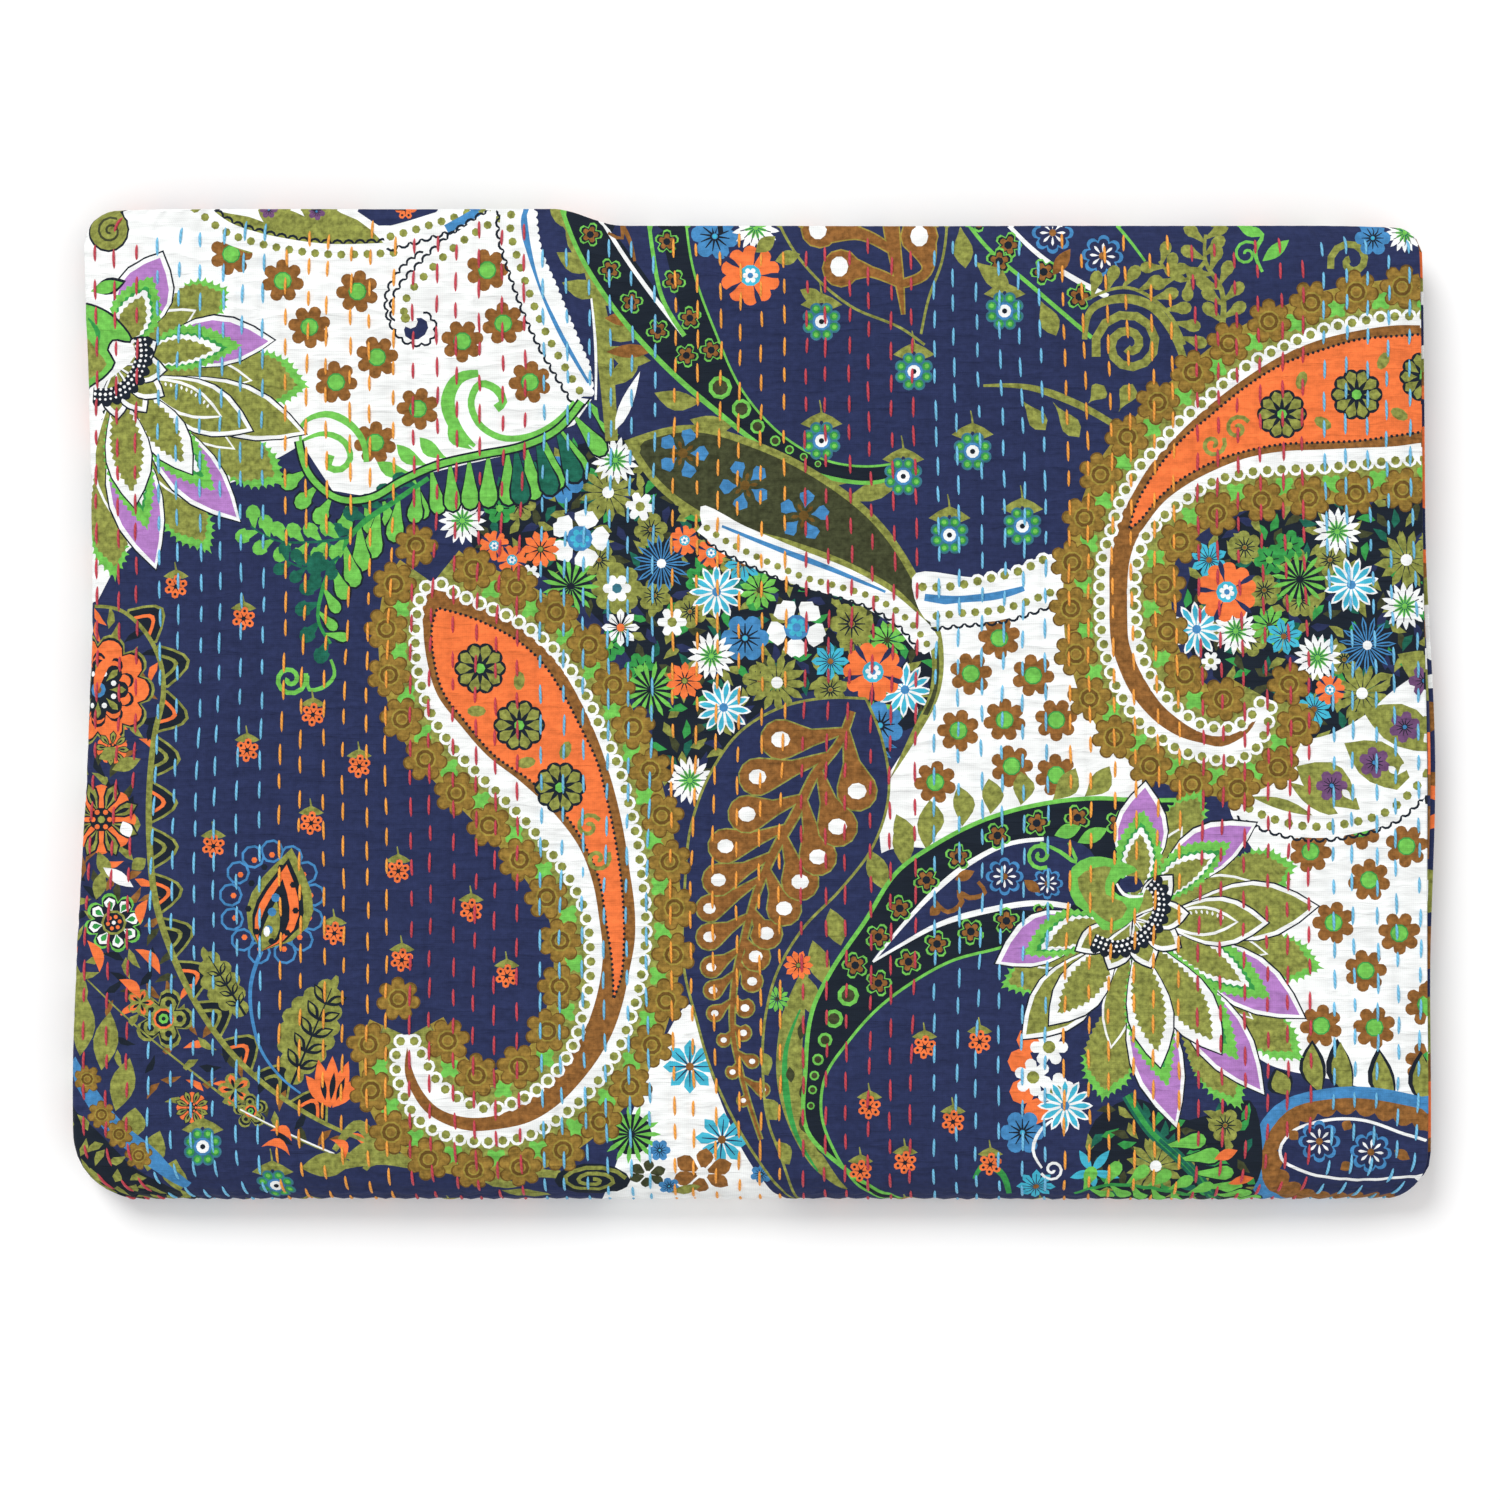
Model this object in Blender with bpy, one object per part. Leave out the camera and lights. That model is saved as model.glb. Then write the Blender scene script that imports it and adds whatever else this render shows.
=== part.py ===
"""A kantha quilt, folded to a flat packet.

The quilt is one sheet of printed cotton layers, held by rows of running stitch. It is folded in half
across its width, with the fold on the left and the hems on the right, and the doubled cloth is then
folded in quarters along its length, so that the outermost layer wraps round the whole front edge.

Lengths are in metres. +Z is up, +X is right and -Y is the front. The origin is on the surface that the
packet lies on, under the middle of its outline.
"""

import math
from collections import namedtuple

import bmesh
import bpy
from mathutils import Vector

NAME = "quilt"

# The packet as it lies, before its edges and its top are made uneven
PACKET_WIDTH = 0.762
PACKET_DEPTH = 0.557

# The cloth
SHEET = 0.0032  # one layer of the quilt: two cottons with old cloth between them
GAP = 0.0020  # between one layer and the next
HEM_ROUND = 0.0008  # how far the middle of a hem stands past its two corners

# Quilting: rows of running stitch along the length of the cloth
ROWS = 62
ROW_PITCH = PACKET_WIDTH / ROWS
ROW_DEPTH = 0.0010  # how far the stitches pull the cloth down
ROW_WANDER = 0.0012  # how far a row strays from its line

# What follows from those
HALF_WIDTH = PACKET_WIDTH / 2
HALF_DEPTH = PACKET_DEPTH / 2
HALF_PASS = SHEET + GAP / 2  # half the thickness of the doubled cloth
PASS_STEP = 2 * HALF_PASS + GAP  # from one doubled layer to the next
LEVELS = [HALF_PASS + PASS_STEP * level for level in range(4)]
STACK = LEVELS[-1] + HALF_PASS  # height of the packet before it is made uneven
MIDDLE = STACK / 2
WRAP_RADIUS = (LEVELS[3] - LEVELS[0]) / 2  # the outermost turn, at the front
TURN_RADIUS = PASS_STEP / 2  # the turns inside the packet
FRONT_TURN = -HALF_DEPTH + WRAP_RADIUS + HALF_PASS
BACK_TURN = HALF_DEPTH - TURN_RADIUS - HALF_PASS
FOLD_X = -HALF_WIDTH + HALF_PASS

# Where the two ends of the cloth stop, at the back
TOP_HEM_Y = HALF_DEPTH - 0.001
INNER_HEM_Y = HALF_DEPTH - 0.006

# Stations along the depth of each flat pass, closer together where the packet rounds down
DEPTHS = [-0.225, -0.190, -0.145, -0.095, -0.045, 0.005, 0.055, 0.105, 0.150, 0.195, 0.235]
PLAIN_DEPTHS = [-0.225, -0.190, -0.120, -0.045, 0.030, 0.105, 0.180, 0.235]
# Columns across the width of every face that shows no quilting
COLUMNS = [0.360, 0.325, 0.240, 0.120, 0.0, -0.120, -0.240, -0.325, -0.360]
WRAP_STEPS = 8
TURN_STEPS = 5
FOLD_STEPS = 4
BEND_STEPS = 3

# How the packet settles: its top rises in the middle and rounds down to each edge
CROWN = 0.105
Edge = namedtuple("Edge", "drop reach")
FRONT_EDGE = Edge(drop=0.26, reach=0.075)
BACK_EDGE = Edge(drop=0.17, reach=0.050)
FOLD_EDGE = Edge(drop=0.17, reach=0.050)
HEM_EDGE = Edge(drop=0.19, reach=0.060)
# Slow swells in the height of the packet
Swell = namedtuple("Swell", "height across along phase")
SWELLS = [
    Swell(height=0.013, across=1.6, along=0.9, phase=0.4),
    Swell(height=0.009, across=3.1, along=-1.7, phase=2.1),
    Swell(height=0.006, across=5.3, along=2.9, phase=4.0),
]

# The outline seen from above. A corner's radius is how far it is cut in along both of its sides
Corner = namedtuple("Corner", "side end radius")
CORNERS = [
    Corner(side=-1, end=1, radius=0.019),
    Corner(side=1, end=1, radius=0.014),
    Corner(side=-1, end=-1, radius=0.040),
    Corner(side=1, end=-1, radius=0.027),
]
CORNER_FALL = 5  # how fast a corner's cut fades towards the middle of the packet
BACK_STEP = 0.0080  # how much farther the back edge stands out on the left
BACK_STEP_X = -0.092
BACK_STEP_SPAN = 0.040
FOLD_DIP = 0.0050  # how far the folded side is drawn in behind its middle
FOLD_DIP_Y = 0.110
FOLD_DIP_SPAN = 0.120
UNDER_HEM = 0.0045  # how far the lower layer's hem shows past the upper one
UNDER_HEM_Y = -0.030
UNDER_HEM_SPAN = 0.140
# The passes in the order of the path: the level each lies at, the way its outer face looks, and how far
# it has slipped sideways
Pass = namedtuple("Pass", "level out_z slip")
PASSES = [
    Pass(level=3, out_z=1.0, slip=0.0),
    Pass(level=0, out_z=-1.0, slip=0.0015),
    Pass(level=1, out_z=1.0, slip=-0.0020),
    Pass(level=2, out_z=-1.0, slip=0.0030),
]

COTTON = (0.032, 0.041, 0.110, 1.0)
COTTON_ROUGHNESS = 0.9

# A station of the path: its place in Y and Z, the way its outer face looks, how strongly its outer face
# shows the quilting (None where that face is plain), and how many passes it is along the path
Station = namedtuple("Station", "y z out_y out_z quilting passes")
# A point of the section in the mesh, and the share of its outline's length at which it lies
Mark = namedtuple("Mark", "vertex share")


def ease(t):
    """A smooth step from 0 to 1 as t goes from 0 to 1."""
    t = min(max(t, 0.0), 1.0)
    return t * t * (3.0 - 2.0 * t)


def bump(distance, span):
    """A smooth hill that is 1 at its middle and 0 one span away."""
    return ease(1.0 - abs(distance) / span)


def slip_along(passes):
    """How far the cloth has slipped sideways after so many passes, smooth through the turns."""
    first = min(int(passes), len(PASSES) - 2)
    slip = PASSES[first].slip
    return slip + (PASSES[first + 1].slip - slip) * ease(passes - first)


def flat_pass(index, depths, heading, quilting=None):
    """The stations of one flat pass, in the order in which the path runs."""
    turn = PASSES[index]
    places = sorted(depths, reverse=heading < 0)
    return [Station(y, LEVELS[turn.level], 0.0, turn.out_z, quilting, float(index)) for y in places]


def wrap():
    """The outermost turn round the front, where the quilting fades as it reaches the underside."""
    stations = []
    for step in range(WRAP_STEPS + 1):
        share = step / WRAP_STEPS
        out_y = -math.sin(math.pi * share)
        out_z = math.cos(math.pi * share)
        y = FRONT_TURN + WRAP_RADIUS * out_y
        z = MIDDLE + WRAP_RADIUS * out_z
        stations.append(Station(y, z, out_y, out_z, 1.0 - ease(2.0 * share - 1.0), share))
    return stations


def back_turn():
    """The fold at the back, low in the packet."""
    stations = []
    for step in range(TURN_STEPS + 1):
        share = step / TURN_STEPS
        out_y = math.sin(math.pi * share)
        out_z = -math.cos(math.pi * share)
        y = BACK_TURN + TURN_RADIUS * out_y
        z = (LEVELS[0] + LEVELS[1]) / 2 + TURN_RADIUS * out_z
        stations.append(Station(y, z, out_y, out_z, None, 1.0 + share))
    return stations


def inner_turn():
    """The turn inside the wrap, whose outer face looks to the middle of its bend."""
    stations = []
    for step in range(TURN_STEPS + 1):
        share = step / TURN_STEPS
        out_y = math.sin(math.pi * share)
        out_z = math.cos(math.pi * share)
        y = FRONT_TURN - TURN_RADIUS * out_y
        z = MIDDLE - TURN_RADIUS * out_z
        stations.append(Station(y, z, out_y, out_z, None, 2.0 + share))
    return stations


def path():
    """The whole path of the doubled cloth, from its end at the top back to its end inside."""
    top = flat_pass(0, [TOP_HEM_Y] + DEPTHS, heading=-1, quilting=1.0)
    bottom = flat_pass(1, PLAIN_DEPTHS, heading=1)
    lower = flat_pass(2, PLAIN_DEPTHS, heading=-1)
    upper = flat_pass(3, PLAIN_DEPTHS + [INNER_HEM_Y], heading=1)
    return top + wrap() + bottom + back_turn() + lower + inner_turn() + upper


def stray(x, y):
    """How far a row has strayed sideways at a place: rows that lie side by side stray much alike."""
    return ROW_WANDER * (math.sin(11.0 * y + 7.0 * x) + 0.6 * math.sin(29.0 * y - 19.0 * x + 1.0))


def quilted_columns(y):
    """Places across the width, from the hems to the fold, with how low each lies: 1 in a row, 0 between."""
    columns = []
    for half in range(1, 2 * ROWS):
        x = HALF_WIDTH - half * ROW_PITCH / 2
        in_row = half % 2
        columns.append((x + stray(x, y), in_row))
    return [(x, low) for x, low in columns if x > FOLD_X + ROW_PITCH / 4]


def outer_outline(station):
    """The face side of the doubled cloth, upper layer, fold and lower layer, as (x, height) points."""
    hem = HALF_WIDTH - HEM_ROUND
    outline = [(HALF_WIDTH, HALF_PASS - SHEET / 2), (hem, HALF_PASS)]
    if station.quilting is None:
        outline += [(x, HALF_PASS) for x in COLUMNS]
    else:
        depth = ROW_DEPTH * station.quilting
        outline += [(x, HALF_PASS - depth * low) for x, low in quilted_columns(station.y)]
    for step in range(FOLD_STEPS + 1):
        angle = math.pi * step / FOLD_STEPS
        outline.append((FOLD_X - HALF_PASS * math.sin(angle), HALF_PASS * math.cos(angle)))
    outline += [(x, -HALF_PASS) for x in reversed(COLUMNS)]
    outline += [(hem, -HALF_PASS), (HALF_WIDTH, -HALF_PASS + SHEET / 2)]
    return outline


def inner_outline():
    """The back of the cloth, which faces itself inside the fold, from the same two points."""
    inside = HALF_PASS - SHEET
    hem = HALF_WIDTH - HEM_ROUND
    outline = [(HALF_WIDTH, HALF_PASS - SHEET / 2), (hem, inside)]
    outline += [(x, inside) for x in COLUMNS]
    for step in range(BEND_STEPS + 1):
        angle = math.pi * step / BEND_STEPS
        outline.append((FOLD_X - inside * math.sin(angle), inside * math.cos(angle)))
    outline += [(x, -inside) for x in reversed(COLUMNS)]
    outline += [(hem, -inside), (HALF_WIDTH, -HALF_PASS + SHEET / 2)]
    return outline


def height_share(x, y):
    """How high the packet stands at a place, as a share of its plain height."""
    share = 1.0 + CROWN * (1.0 - (x / HALF_WIDTH) ** 2) * (1.0 - (y / HALF_DEPTH) ** 2)
    for swell in SWELLS:
        turn = math.pi * (swell.across * x / HALF_WIDTH + swell.along * y / HALF_DEPTH)
        share += swell.height * math.sin(turn + swell.phase)
    for edge, inwards in (
        (FRONT_EDGE, y + HALF_DEPTH),
        (BACK_EDGE, HALF_DEPTH - y),
        (FOLD_EDGE, x + HALF_WIDTH),
        (HEM_EDGE, HALF_WIDTH - x),
    ):
        near = min(max(1.0 - inwards / edge.reach, 0.0), 1.0)
        share *= 1.0 - edge.drop * near * near
    return share


def corner_cut(x, y):
    """How far the rounded corners pull a place in towards the middle, along X."""
    cut = 0.0
    for corner in CORNERS:
        into = (corner.end * y - HALF_DEPTH + corner.radius) / corner.radius
        if corner.side * x > 0 and into > 0:
            into = min(into, 0.98)
            depth = corner.radius * (1.0 - math.sqrt(1.0 - into * into))
            cut += depth * (abs(x) / HALF_WIDTH) ** CORNER_FALL
    return cut


def settle(x, y, z, under):
    """Moves a point of the plain packet to where the cloth lies. Under is 1 on the lower layer."""
    height = z * height_share(x, y)
    side = x / HALF_WIDTH
    out_x = x - math.copysign(corner_cut(x, y), x)
    out_x += FOLD_DIP * bump(y - FOLD_DIP_Y, FOLD_DIP_SPAN) * max(-side, 0.0) ** 3
    out_x += UNDER_HEM * under * bump(y - UNDER_HEM_Y, UNDER_HEM_SPAN) * max(side, 0.0) ** 3
    left = 1.0 - ease((x - BACK_STEP_X) / BACK_STEP_SPAN + 0.5)
    out_y = y + BACK_STEP * (left - 0.5) * max(y / HALF_DEPTH, 0.0) ** 2
    return Vector((out_x, out_y, height))


def shares_along(outline):
    """The share of an outline's length at which each of its points lies."""
    lengths = [0.0]
    for start, end in zip(outline, outline[1:]):
        lengths.append(lengths[-1] + math.dist(start, end))
    return [length / lengths[-1] for length in lengths]


def add_outline(mesh, station, outline):
    """Adds an outline's points to the mesh at a station of the path."""
    marks = []
    for (x, height), share in zip(outline, shares_along(outline)):
        y = station.y + station.out_y * height
        z = station.z + station.out_z * height
        under = 0.5 - 0.5 * height / HALF_PASS
        vertex = mesh.verts.new(settle(x + slip_along(station.passes), y, z, under))
        marks.append(Mark(vertex, share))
    return marks


def add_section(mesh, station):
    """Adds a station's outer and inner outlines, which meet in the middle of each hem."""
    outer = add_outline(mesh, station, outer_outline(station))
    inner = add_outline(mesh, station, inner_outline())
    for spare, kept in ((0, outer[0]), (-1, outer[-1])):
        mesh.verts.remove(inner[spare].vertex)
        inner[spare] = kept
    return outer, inner


def lace(mesh, first, second):
    """Joins two rows of marks with triangles, taking the next mark along whichever row is behind."""
    a = b = 0
    while a < len(first) - 1 or b < len(second) - 1:
        second_done = b == len(second) - 1
        if second_done or (a < len(first) - 1 and first[a + 1].share <= second[b + 1].share):
            corners = (first[a].vertex, first[a + 1].vertex, second[b].vertex)
            a += 1
        else:
            corners = (first[a].vertex, second[b + 1].vertex, second[b].vertex)
            b += 1
        if len(set(corners)) == 3:
            mesh.faces.new(corners)


def build_mesh():
    """The folded cloth as one closed surface: a section swept along the path, closed at both ends."""
    mesh = bmesh.new()
    sections = [add_section(mesh, station) for station in path()]
    for (outer, inner), (next_outer, next_inner) in zip(sections, sections[1:]):
        lace(mesh, outer, next_outer)
        lace(mesh, next_inner, inner)
    lace(mesh, sections[0][1], sections[0][0])
    lace(mesh, sections[-1][0], sections[-1][1])
    bmesh.ops.recalc_face_normals(mesh, faces=mesh.faces)
    centre(mesh)
    return mesh


def centre(mesh):
    """Puts the middle of the outline over the origin and the underside on the surface."""
    lowest = Vector([min(v.co[axis] for v in mesh.verts) for axis in range(3)])
    highest = Vector([max(v.co[axis] for v in mesh.verts) for axis in range(3)])
    middle = (lowest + highest) / 2
    for vertex in mesh.verts:
        vertex.co -= Vector((middle.x, middle.y, lowest.z))


def cotton():
    """The printed cotton, in the navy of its ground."""
    material = bpy.data.materials.new("printed_cotton")
    material.use_nodes = True
    shader = material.node_tree.nodes["Principled BSDF"]
    shader.inputs["Base Color"].default_value = COTTON
    shader.inputs["Roughness"].default_value = COTTON_ROUGHNESS
    shader.inputs["Metallic"].default_value = 0.0
    return material


def build():
    """Makes the quilt in a collection of its own."""
    for item in list(bpy.data.objects):
        bpy.data.objects.remove(item)
    collection = bpy.data.collections.new("kantha_quilt")
    bpy.context.scene.collection.children.link(collection)
    data = bpy.data.meshes.new(NAME)
    mesh = build_mesh()
    mesh.to_mesh(data)
    mesh.free()
    data.materials.append(cotton())
    data.shade_smooth()
    data.set_sharp_from_angle(angle=math.radians(50))
    collection.objects.link(bpy.data.objects.new(NAME, data))


build()
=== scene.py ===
"""The looks of a kantha quilt, folded to a flat packet.

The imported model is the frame. The quilt here replaces its solid: the same fold with every row of
quilting, its puckers and its printed pattern, and the running stitch in three colours of thread.

Lengths are in millimetres up to the point where a mesh is made. The cloth is measured by two lengths
along its printed face: u runs across it, from the hem at the right over the top to the fold at the left
and on into the lower layer, and v runs along it, from the hem at the back over the front edge and on
through the packet. On the packet's top u and v are simply X and Y.
"""

import logging
import math
from dataclasses import dataclass, field
from enum import Enum
from typing import Callable, Iterable, NamedTuple, Sequence

import bpy
import numpy as np
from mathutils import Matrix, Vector
from mathutils.geometry import delaunay_2d_cdt


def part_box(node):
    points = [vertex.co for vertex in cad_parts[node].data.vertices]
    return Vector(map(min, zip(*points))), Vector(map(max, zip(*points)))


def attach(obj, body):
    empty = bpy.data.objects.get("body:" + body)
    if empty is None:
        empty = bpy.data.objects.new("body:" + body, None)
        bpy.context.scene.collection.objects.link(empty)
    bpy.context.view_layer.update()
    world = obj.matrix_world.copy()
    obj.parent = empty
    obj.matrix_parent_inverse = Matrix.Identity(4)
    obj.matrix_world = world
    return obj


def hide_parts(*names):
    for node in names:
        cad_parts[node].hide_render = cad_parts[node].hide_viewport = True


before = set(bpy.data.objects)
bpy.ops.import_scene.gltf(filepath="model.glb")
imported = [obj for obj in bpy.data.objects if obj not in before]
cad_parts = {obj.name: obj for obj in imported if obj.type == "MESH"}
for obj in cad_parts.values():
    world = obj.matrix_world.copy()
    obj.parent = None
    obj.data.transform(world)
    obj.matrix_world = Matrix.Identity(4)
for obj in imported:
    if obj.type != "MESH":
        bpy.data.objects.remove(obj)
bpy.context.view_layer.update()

LOG = logging.getLogger("quilt")
MM = 0.001
PER_METRE = 1000.0
TAU = 2.0 * math.pi

NOISE_MIX = (127.1, 311.7, 74.7)  # turn a square's two numbers and a seed into an angle
NOISE_SPREAD = 43758.5453  # so large that the fraction of the angle's sine looks random

Point = tuple[float, float]
Places = Sequence[Point]


def linear(hex_colour: str) -> tuple[float, float, float, float]:
    """Turns an sRGB hex colour into a linear one.

    Args:
        hex_colour: six hex digits, with or without a leading #.

    Returns:
        Red, green, blue and an alpha of 1.
    """
    digits = hex_colour.lstrip("#")
    channels = []
    for start in (0, 2, 4):
        value = int(digits[start : start + 2], 16) / 255.0
        channels.append(value / 12.92 if value <= 0.04045 else ((value + 0.055) / 1.055) ** 2.4)
    return (*channels, 1.0)


def ease(t: np.ndarray) -> np.ndarray:
    """A smooth step from 0 to 1 as t goes from 0 to 1."""
    t = np.clip(t, 0.0, 1.0)
    return t * t * (3.0 - 2.0 * t)


def bump(distance: np.ndarray, span: float) -> np.ndarray:
    """A smooth hill that is 1 at its middle and 0 one span away."""
    return ease(1.0 - np.abs(distance) / span)


def noise(x: np.ndarray, y: np.ndarray, seed: int) -> np.ndarray:
    """Smooth random values from -1 to 1, with one hill or hollow to each unit square.

    Args:
        x: places across, in units.
        y: places along, in units.
        seed: chooses the pattern.

    Returns:
        The value at each place.
    """
    cell_x, cell_y = np.floor(x), np.floor(y)
    near_x, near_y = ease(x - cell_x), ease(y - cell_y)

    def corner(right: int, up: int) -> np.ndarray:
        """The random value at one corner of each place's square.

        Args:
            right: 1 for a corner on the right, else 0.
            up: 1 for a corner at the back, else 0.

        Returns:
            A value from -1 to 1 for each place.
        """
        by_x, by_y, by_seed = NOISE_MIX
        mixed = np.sin((cell_x + right) * by_x + (cell_y + up) * by_y + seed * by_seed) * NOISE_SPREAD
        return 2.0 * (mixed - np.floor(mixed)) - 1.0

    low = corner(0, 0) * (1.0 - near_x) + corner(1, 0) * near_x
    high = corner(0, 1) * (1.0 - near_x) + corner(1, 1) * near_x
    return low * (1.0 - near_y) + high * near_y


# --------------------------------------------------------------------------------------------------
# The folded cloth
# --------------------------------------------------------------------------------------------------


class Edge(NamedTuple):
    """How the packet rounds down towards one of its edges."""

    drop: float
    reach: float


class Swell(NamedTuple):
    """A slow swell in the height of the packet."""

    height: float
    across: float
    along: float
    phase: float


class Corner(NamedTuple):
    """A rounded corner of the outline: its side and end, and how far it is cut in."""

    side: int
    end: int
    radius: float


@dataclass(frozen=True)
class FoldedCloth:
    """The fold of the quilt, as its solid has it, with the relief of the quilting added."""

    width: float = 762.0
    depth: float = 557.0
    sheet: float = 3.2
    gap: float = 2.0
    hem_round: float = 0.8
    rows: int = 62
    row_depth: float = 1.15
    row_wander: float = 1.2
    row_drift: float = 0.85
    crown: float = 0.105
    front: Edge = Edge(0.26, 75.0)
    back: Edge = Edge(0.17, 50.0)
    folded: Edge = Edge(0.17, 50.0)
    hemmed: Edge = Edge(0.19, 60.0)
    swells: tuple[Swell, ...] = (
        Swell(0.013, 1.6, 0.9, 0.4),
        Swell(0.009, 3.1, -1.7, 2.1),
        Swell(0.006, 5.3, 2.9, 4.0),
    )
    corners: tuple[Corner, ...] = (
        Corner(-1, 1, 19.0),
        Corner(1, 1, 14.0),
        Corner(-1, -1, 40.0),
        Corner(1, -1, 27.0),
    )
    corner_fall: int = 5
    back_step: float = 9.6
    back_step_x: float = -92.0
    back_step_span: float = 40.0
    fold_dip: float = 9.0
    fold_dip_y: float = 62.0
    fold_dip_span: float = 290.0
    under_hem: float = 4.5
    under_hem_y: float = -30.0
    under_hem_span: float = 140.0
    slips: tuple[float, ...] = (0.0, 1.5, -2.0, 3.0)
    back_hem: float = 277.5
    inner_hem: float = 272.5

    # Relief that only the render has
    pucker: float = 0.7  # height of the puckers that run from row to row
    pucker_size: Point = (26.0, 13.0)
    billow: float = 0.9  # slow unevenness of the cloth
    billow_size: Point = (60.0, 38.0)
    under_share: float = 0.45  # how much of the relief the underside has, pressed flat
    pucker_slant: float = 0.21
    waver: Point = (33.0, 0.9)  # spacing of the bends in the puckers, and how far they go
    seeds: tuple[int, int, int] = (5, 11, 7)  # of the bends, the puckers and the billows
    trough_shape: float = 1.3
    relief_start: float = 12.0  # the relief sets in over this length at the folded side
    samples: tuple[int, int] = (400, 800)  # across and along, to find the packet's reach
    sight_rounds: int = 6
    step: float = 0.5  # between the places that a normal is measured from

    @property
    def half_width(self) -> float:
        """From the middle of the packet to a hem."""
        return self.width / 2

    @property
    def pitch(self) -> float:
        """From one row of stitches to the next."""
        return self.width / self.rows

    @property
    def half_pass(self) -> float:
        """Half the thickness of the doubled cloth."""
        return self.sheet + self.gap / 2

    @property
    def turn(self) -> float:
        """Radius of the turns inside the packet, at the middle of the doubled cloth."""
        return self.half_pass + self.gap / 2

    @property
    def wrap(self) -> float:
        """Radius of the outermost turn, at the middle of the doubled cloth."""
        return 3 * self.turn

    @property
    def hem_u(self) -> float:
        """Where the printed face ends at the hem of the upper layer."""
        return self.half_width - self.hem_round

    @property
    def fold_u(self) -> float:
        """Where the upper layer starts to turn over at the left."""
        return self.half_pass - self.half_width

    @property
    def under_u(self) -> float:
        """Where that turn ends and the lower layer starts."""
        return self.fold_u - math.pi * self.half_pass

    @property
    def far_u(self) -> float:
        """Where the printed face ends at the hem of the lower layer."""
        return self.under_u - (self.hem_u - self.fold_u)

    @property
    def front_turn(self) -> float:
        """Where the cloth starts to turn down at the front."""
        return self.wrap + self.half_pass - self.depth / 2

    @property
    def run(self) -> float:
        """Length of a flat pass from turn to turn."""
        return self.depth / 2 - self.turn - self.half_pass - self.front_turn

    @property
    def breaks(self) -> tuple[float, ...]:
        """The places along v where a flat pass meets a turn.

        Returns:
            Six places, from the front edge on.
        """
        legs = (
            math.pi * (self.wrap + self.half_pass),
            self.run,
            math.pi * (self.turn + self.half_pass),
            self.run,
            math.pi * (self.turn - self.half_pass),
        )
        places = [self.front_turn]
        for leg in legs:
            places.append(places[-1] - leg)
        return tuple(places)

    @property
    def inner_end(self) -> float:
        """Where the cloth ends inside the packet."""
        return self.breaks[-1] - (self.inner_hem - self.front_turn)

    def stray(self, x: np.ndarray, y: np.ndarray) -> np.ndarray:
        """How far a row has strayed sideways at a place: rows side by side stray much alike.

        Args:
            x: places across, in millimetres from the middle.
            y: places along, in millimetres from the middle.

        Returns:
            Millimetres to the right, one for each place.
        """
        # Radians for each millimetre, as in the solid
        slow = np.sin(0.011 * y + 0.007 * x) + 0.6 * np.sin(0.029 * y - 0.019 * x + 1.0)
        own = np.sin(0.31 * x + 0.008 * y + 2.0 * np.sin(0.045 * x))
        return self.row_wander * slow + self.row_drift * own

    def turns(self, v: np.ndarray) -> tuple[np.ndarray, np.ndarray, np.ndarray]:
        """How far each of the three turns has gone at a place along the cloth, in radians.

        Args:
            v: places along the cloth.

        Returns:
            The outermost turn, the one at the back and the inner one, each from 0 to pi.
        """
        places = self.breaks
        wrapped = np.clip((places[0] - v) / (self.wrap + self.half_pass), 0.0, math.pi)
        at_back = np.clip((places[2] - v) / (self.turn + self.half_pass), 0.0, math.pi)
        inside = np.clip((places[4] - v) / (self.turn - self.half_pass), 0.0, math.pi)
        return wrapped, at_back, inside

    def height_share(self, x: np.ndarray, y: np.ndarray) -> np.ndarray:
        """How high the packet stands at a place, as a share of its plain height.

        Args:
            x: places across, in millimetres from the middle.
            y: places along, in millimetres from the middle.

        Returns:
            The share at each place.
        """
        side, end = x / self.half_width, y / (self.depth / 2)
        share = 1.0 + self.crown * (1.0 - side**2) * (1.0 - end**2)
        for swell in self.swells:
            share += swell.height * np.sin(math.pi * (swell.across * side + swell.along * end) + swell.phase)
        inwards = (
            (self.front, y + self.depth / 2),
            (self.back, self.depth / 2 - y),
            (self.folded, x + self.half_width),
            (self.hemmed, self.half_width - x),
        )
        for edge, distance in inwards:
            near = np.clip(1.0 - distance / edge.reach, 0.0, 1.0)
            share *= 1.0 - edge.drop * near**2
        return share

    def corner_cut(self, x: np.ndarray, y: np.ndarray) -> np.ndarray:
        """How far the rounded corners pull a place in towards the middle, along X.

        Args:
            x: places across, in millimetres from the middle.
            y: places along, in millimetres from the middle.

        Returns:
            Millimetres for each place.
        """
        cut = np.zeros_like(x)
        for corner in self.corners:
            into = (corner.end * y - self.depth / 2 + corner.radius) / corner.radius
            into = np.where(corner.side * x > 0, np.clip(into, 0.0, 0.98), 0.0)
            cut += corner.radius * (1.0 - np.sqrt(1.0 - into**2))
        return cut * (np.abs(x) / self.half_width) ** self.corner_fall

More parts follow.
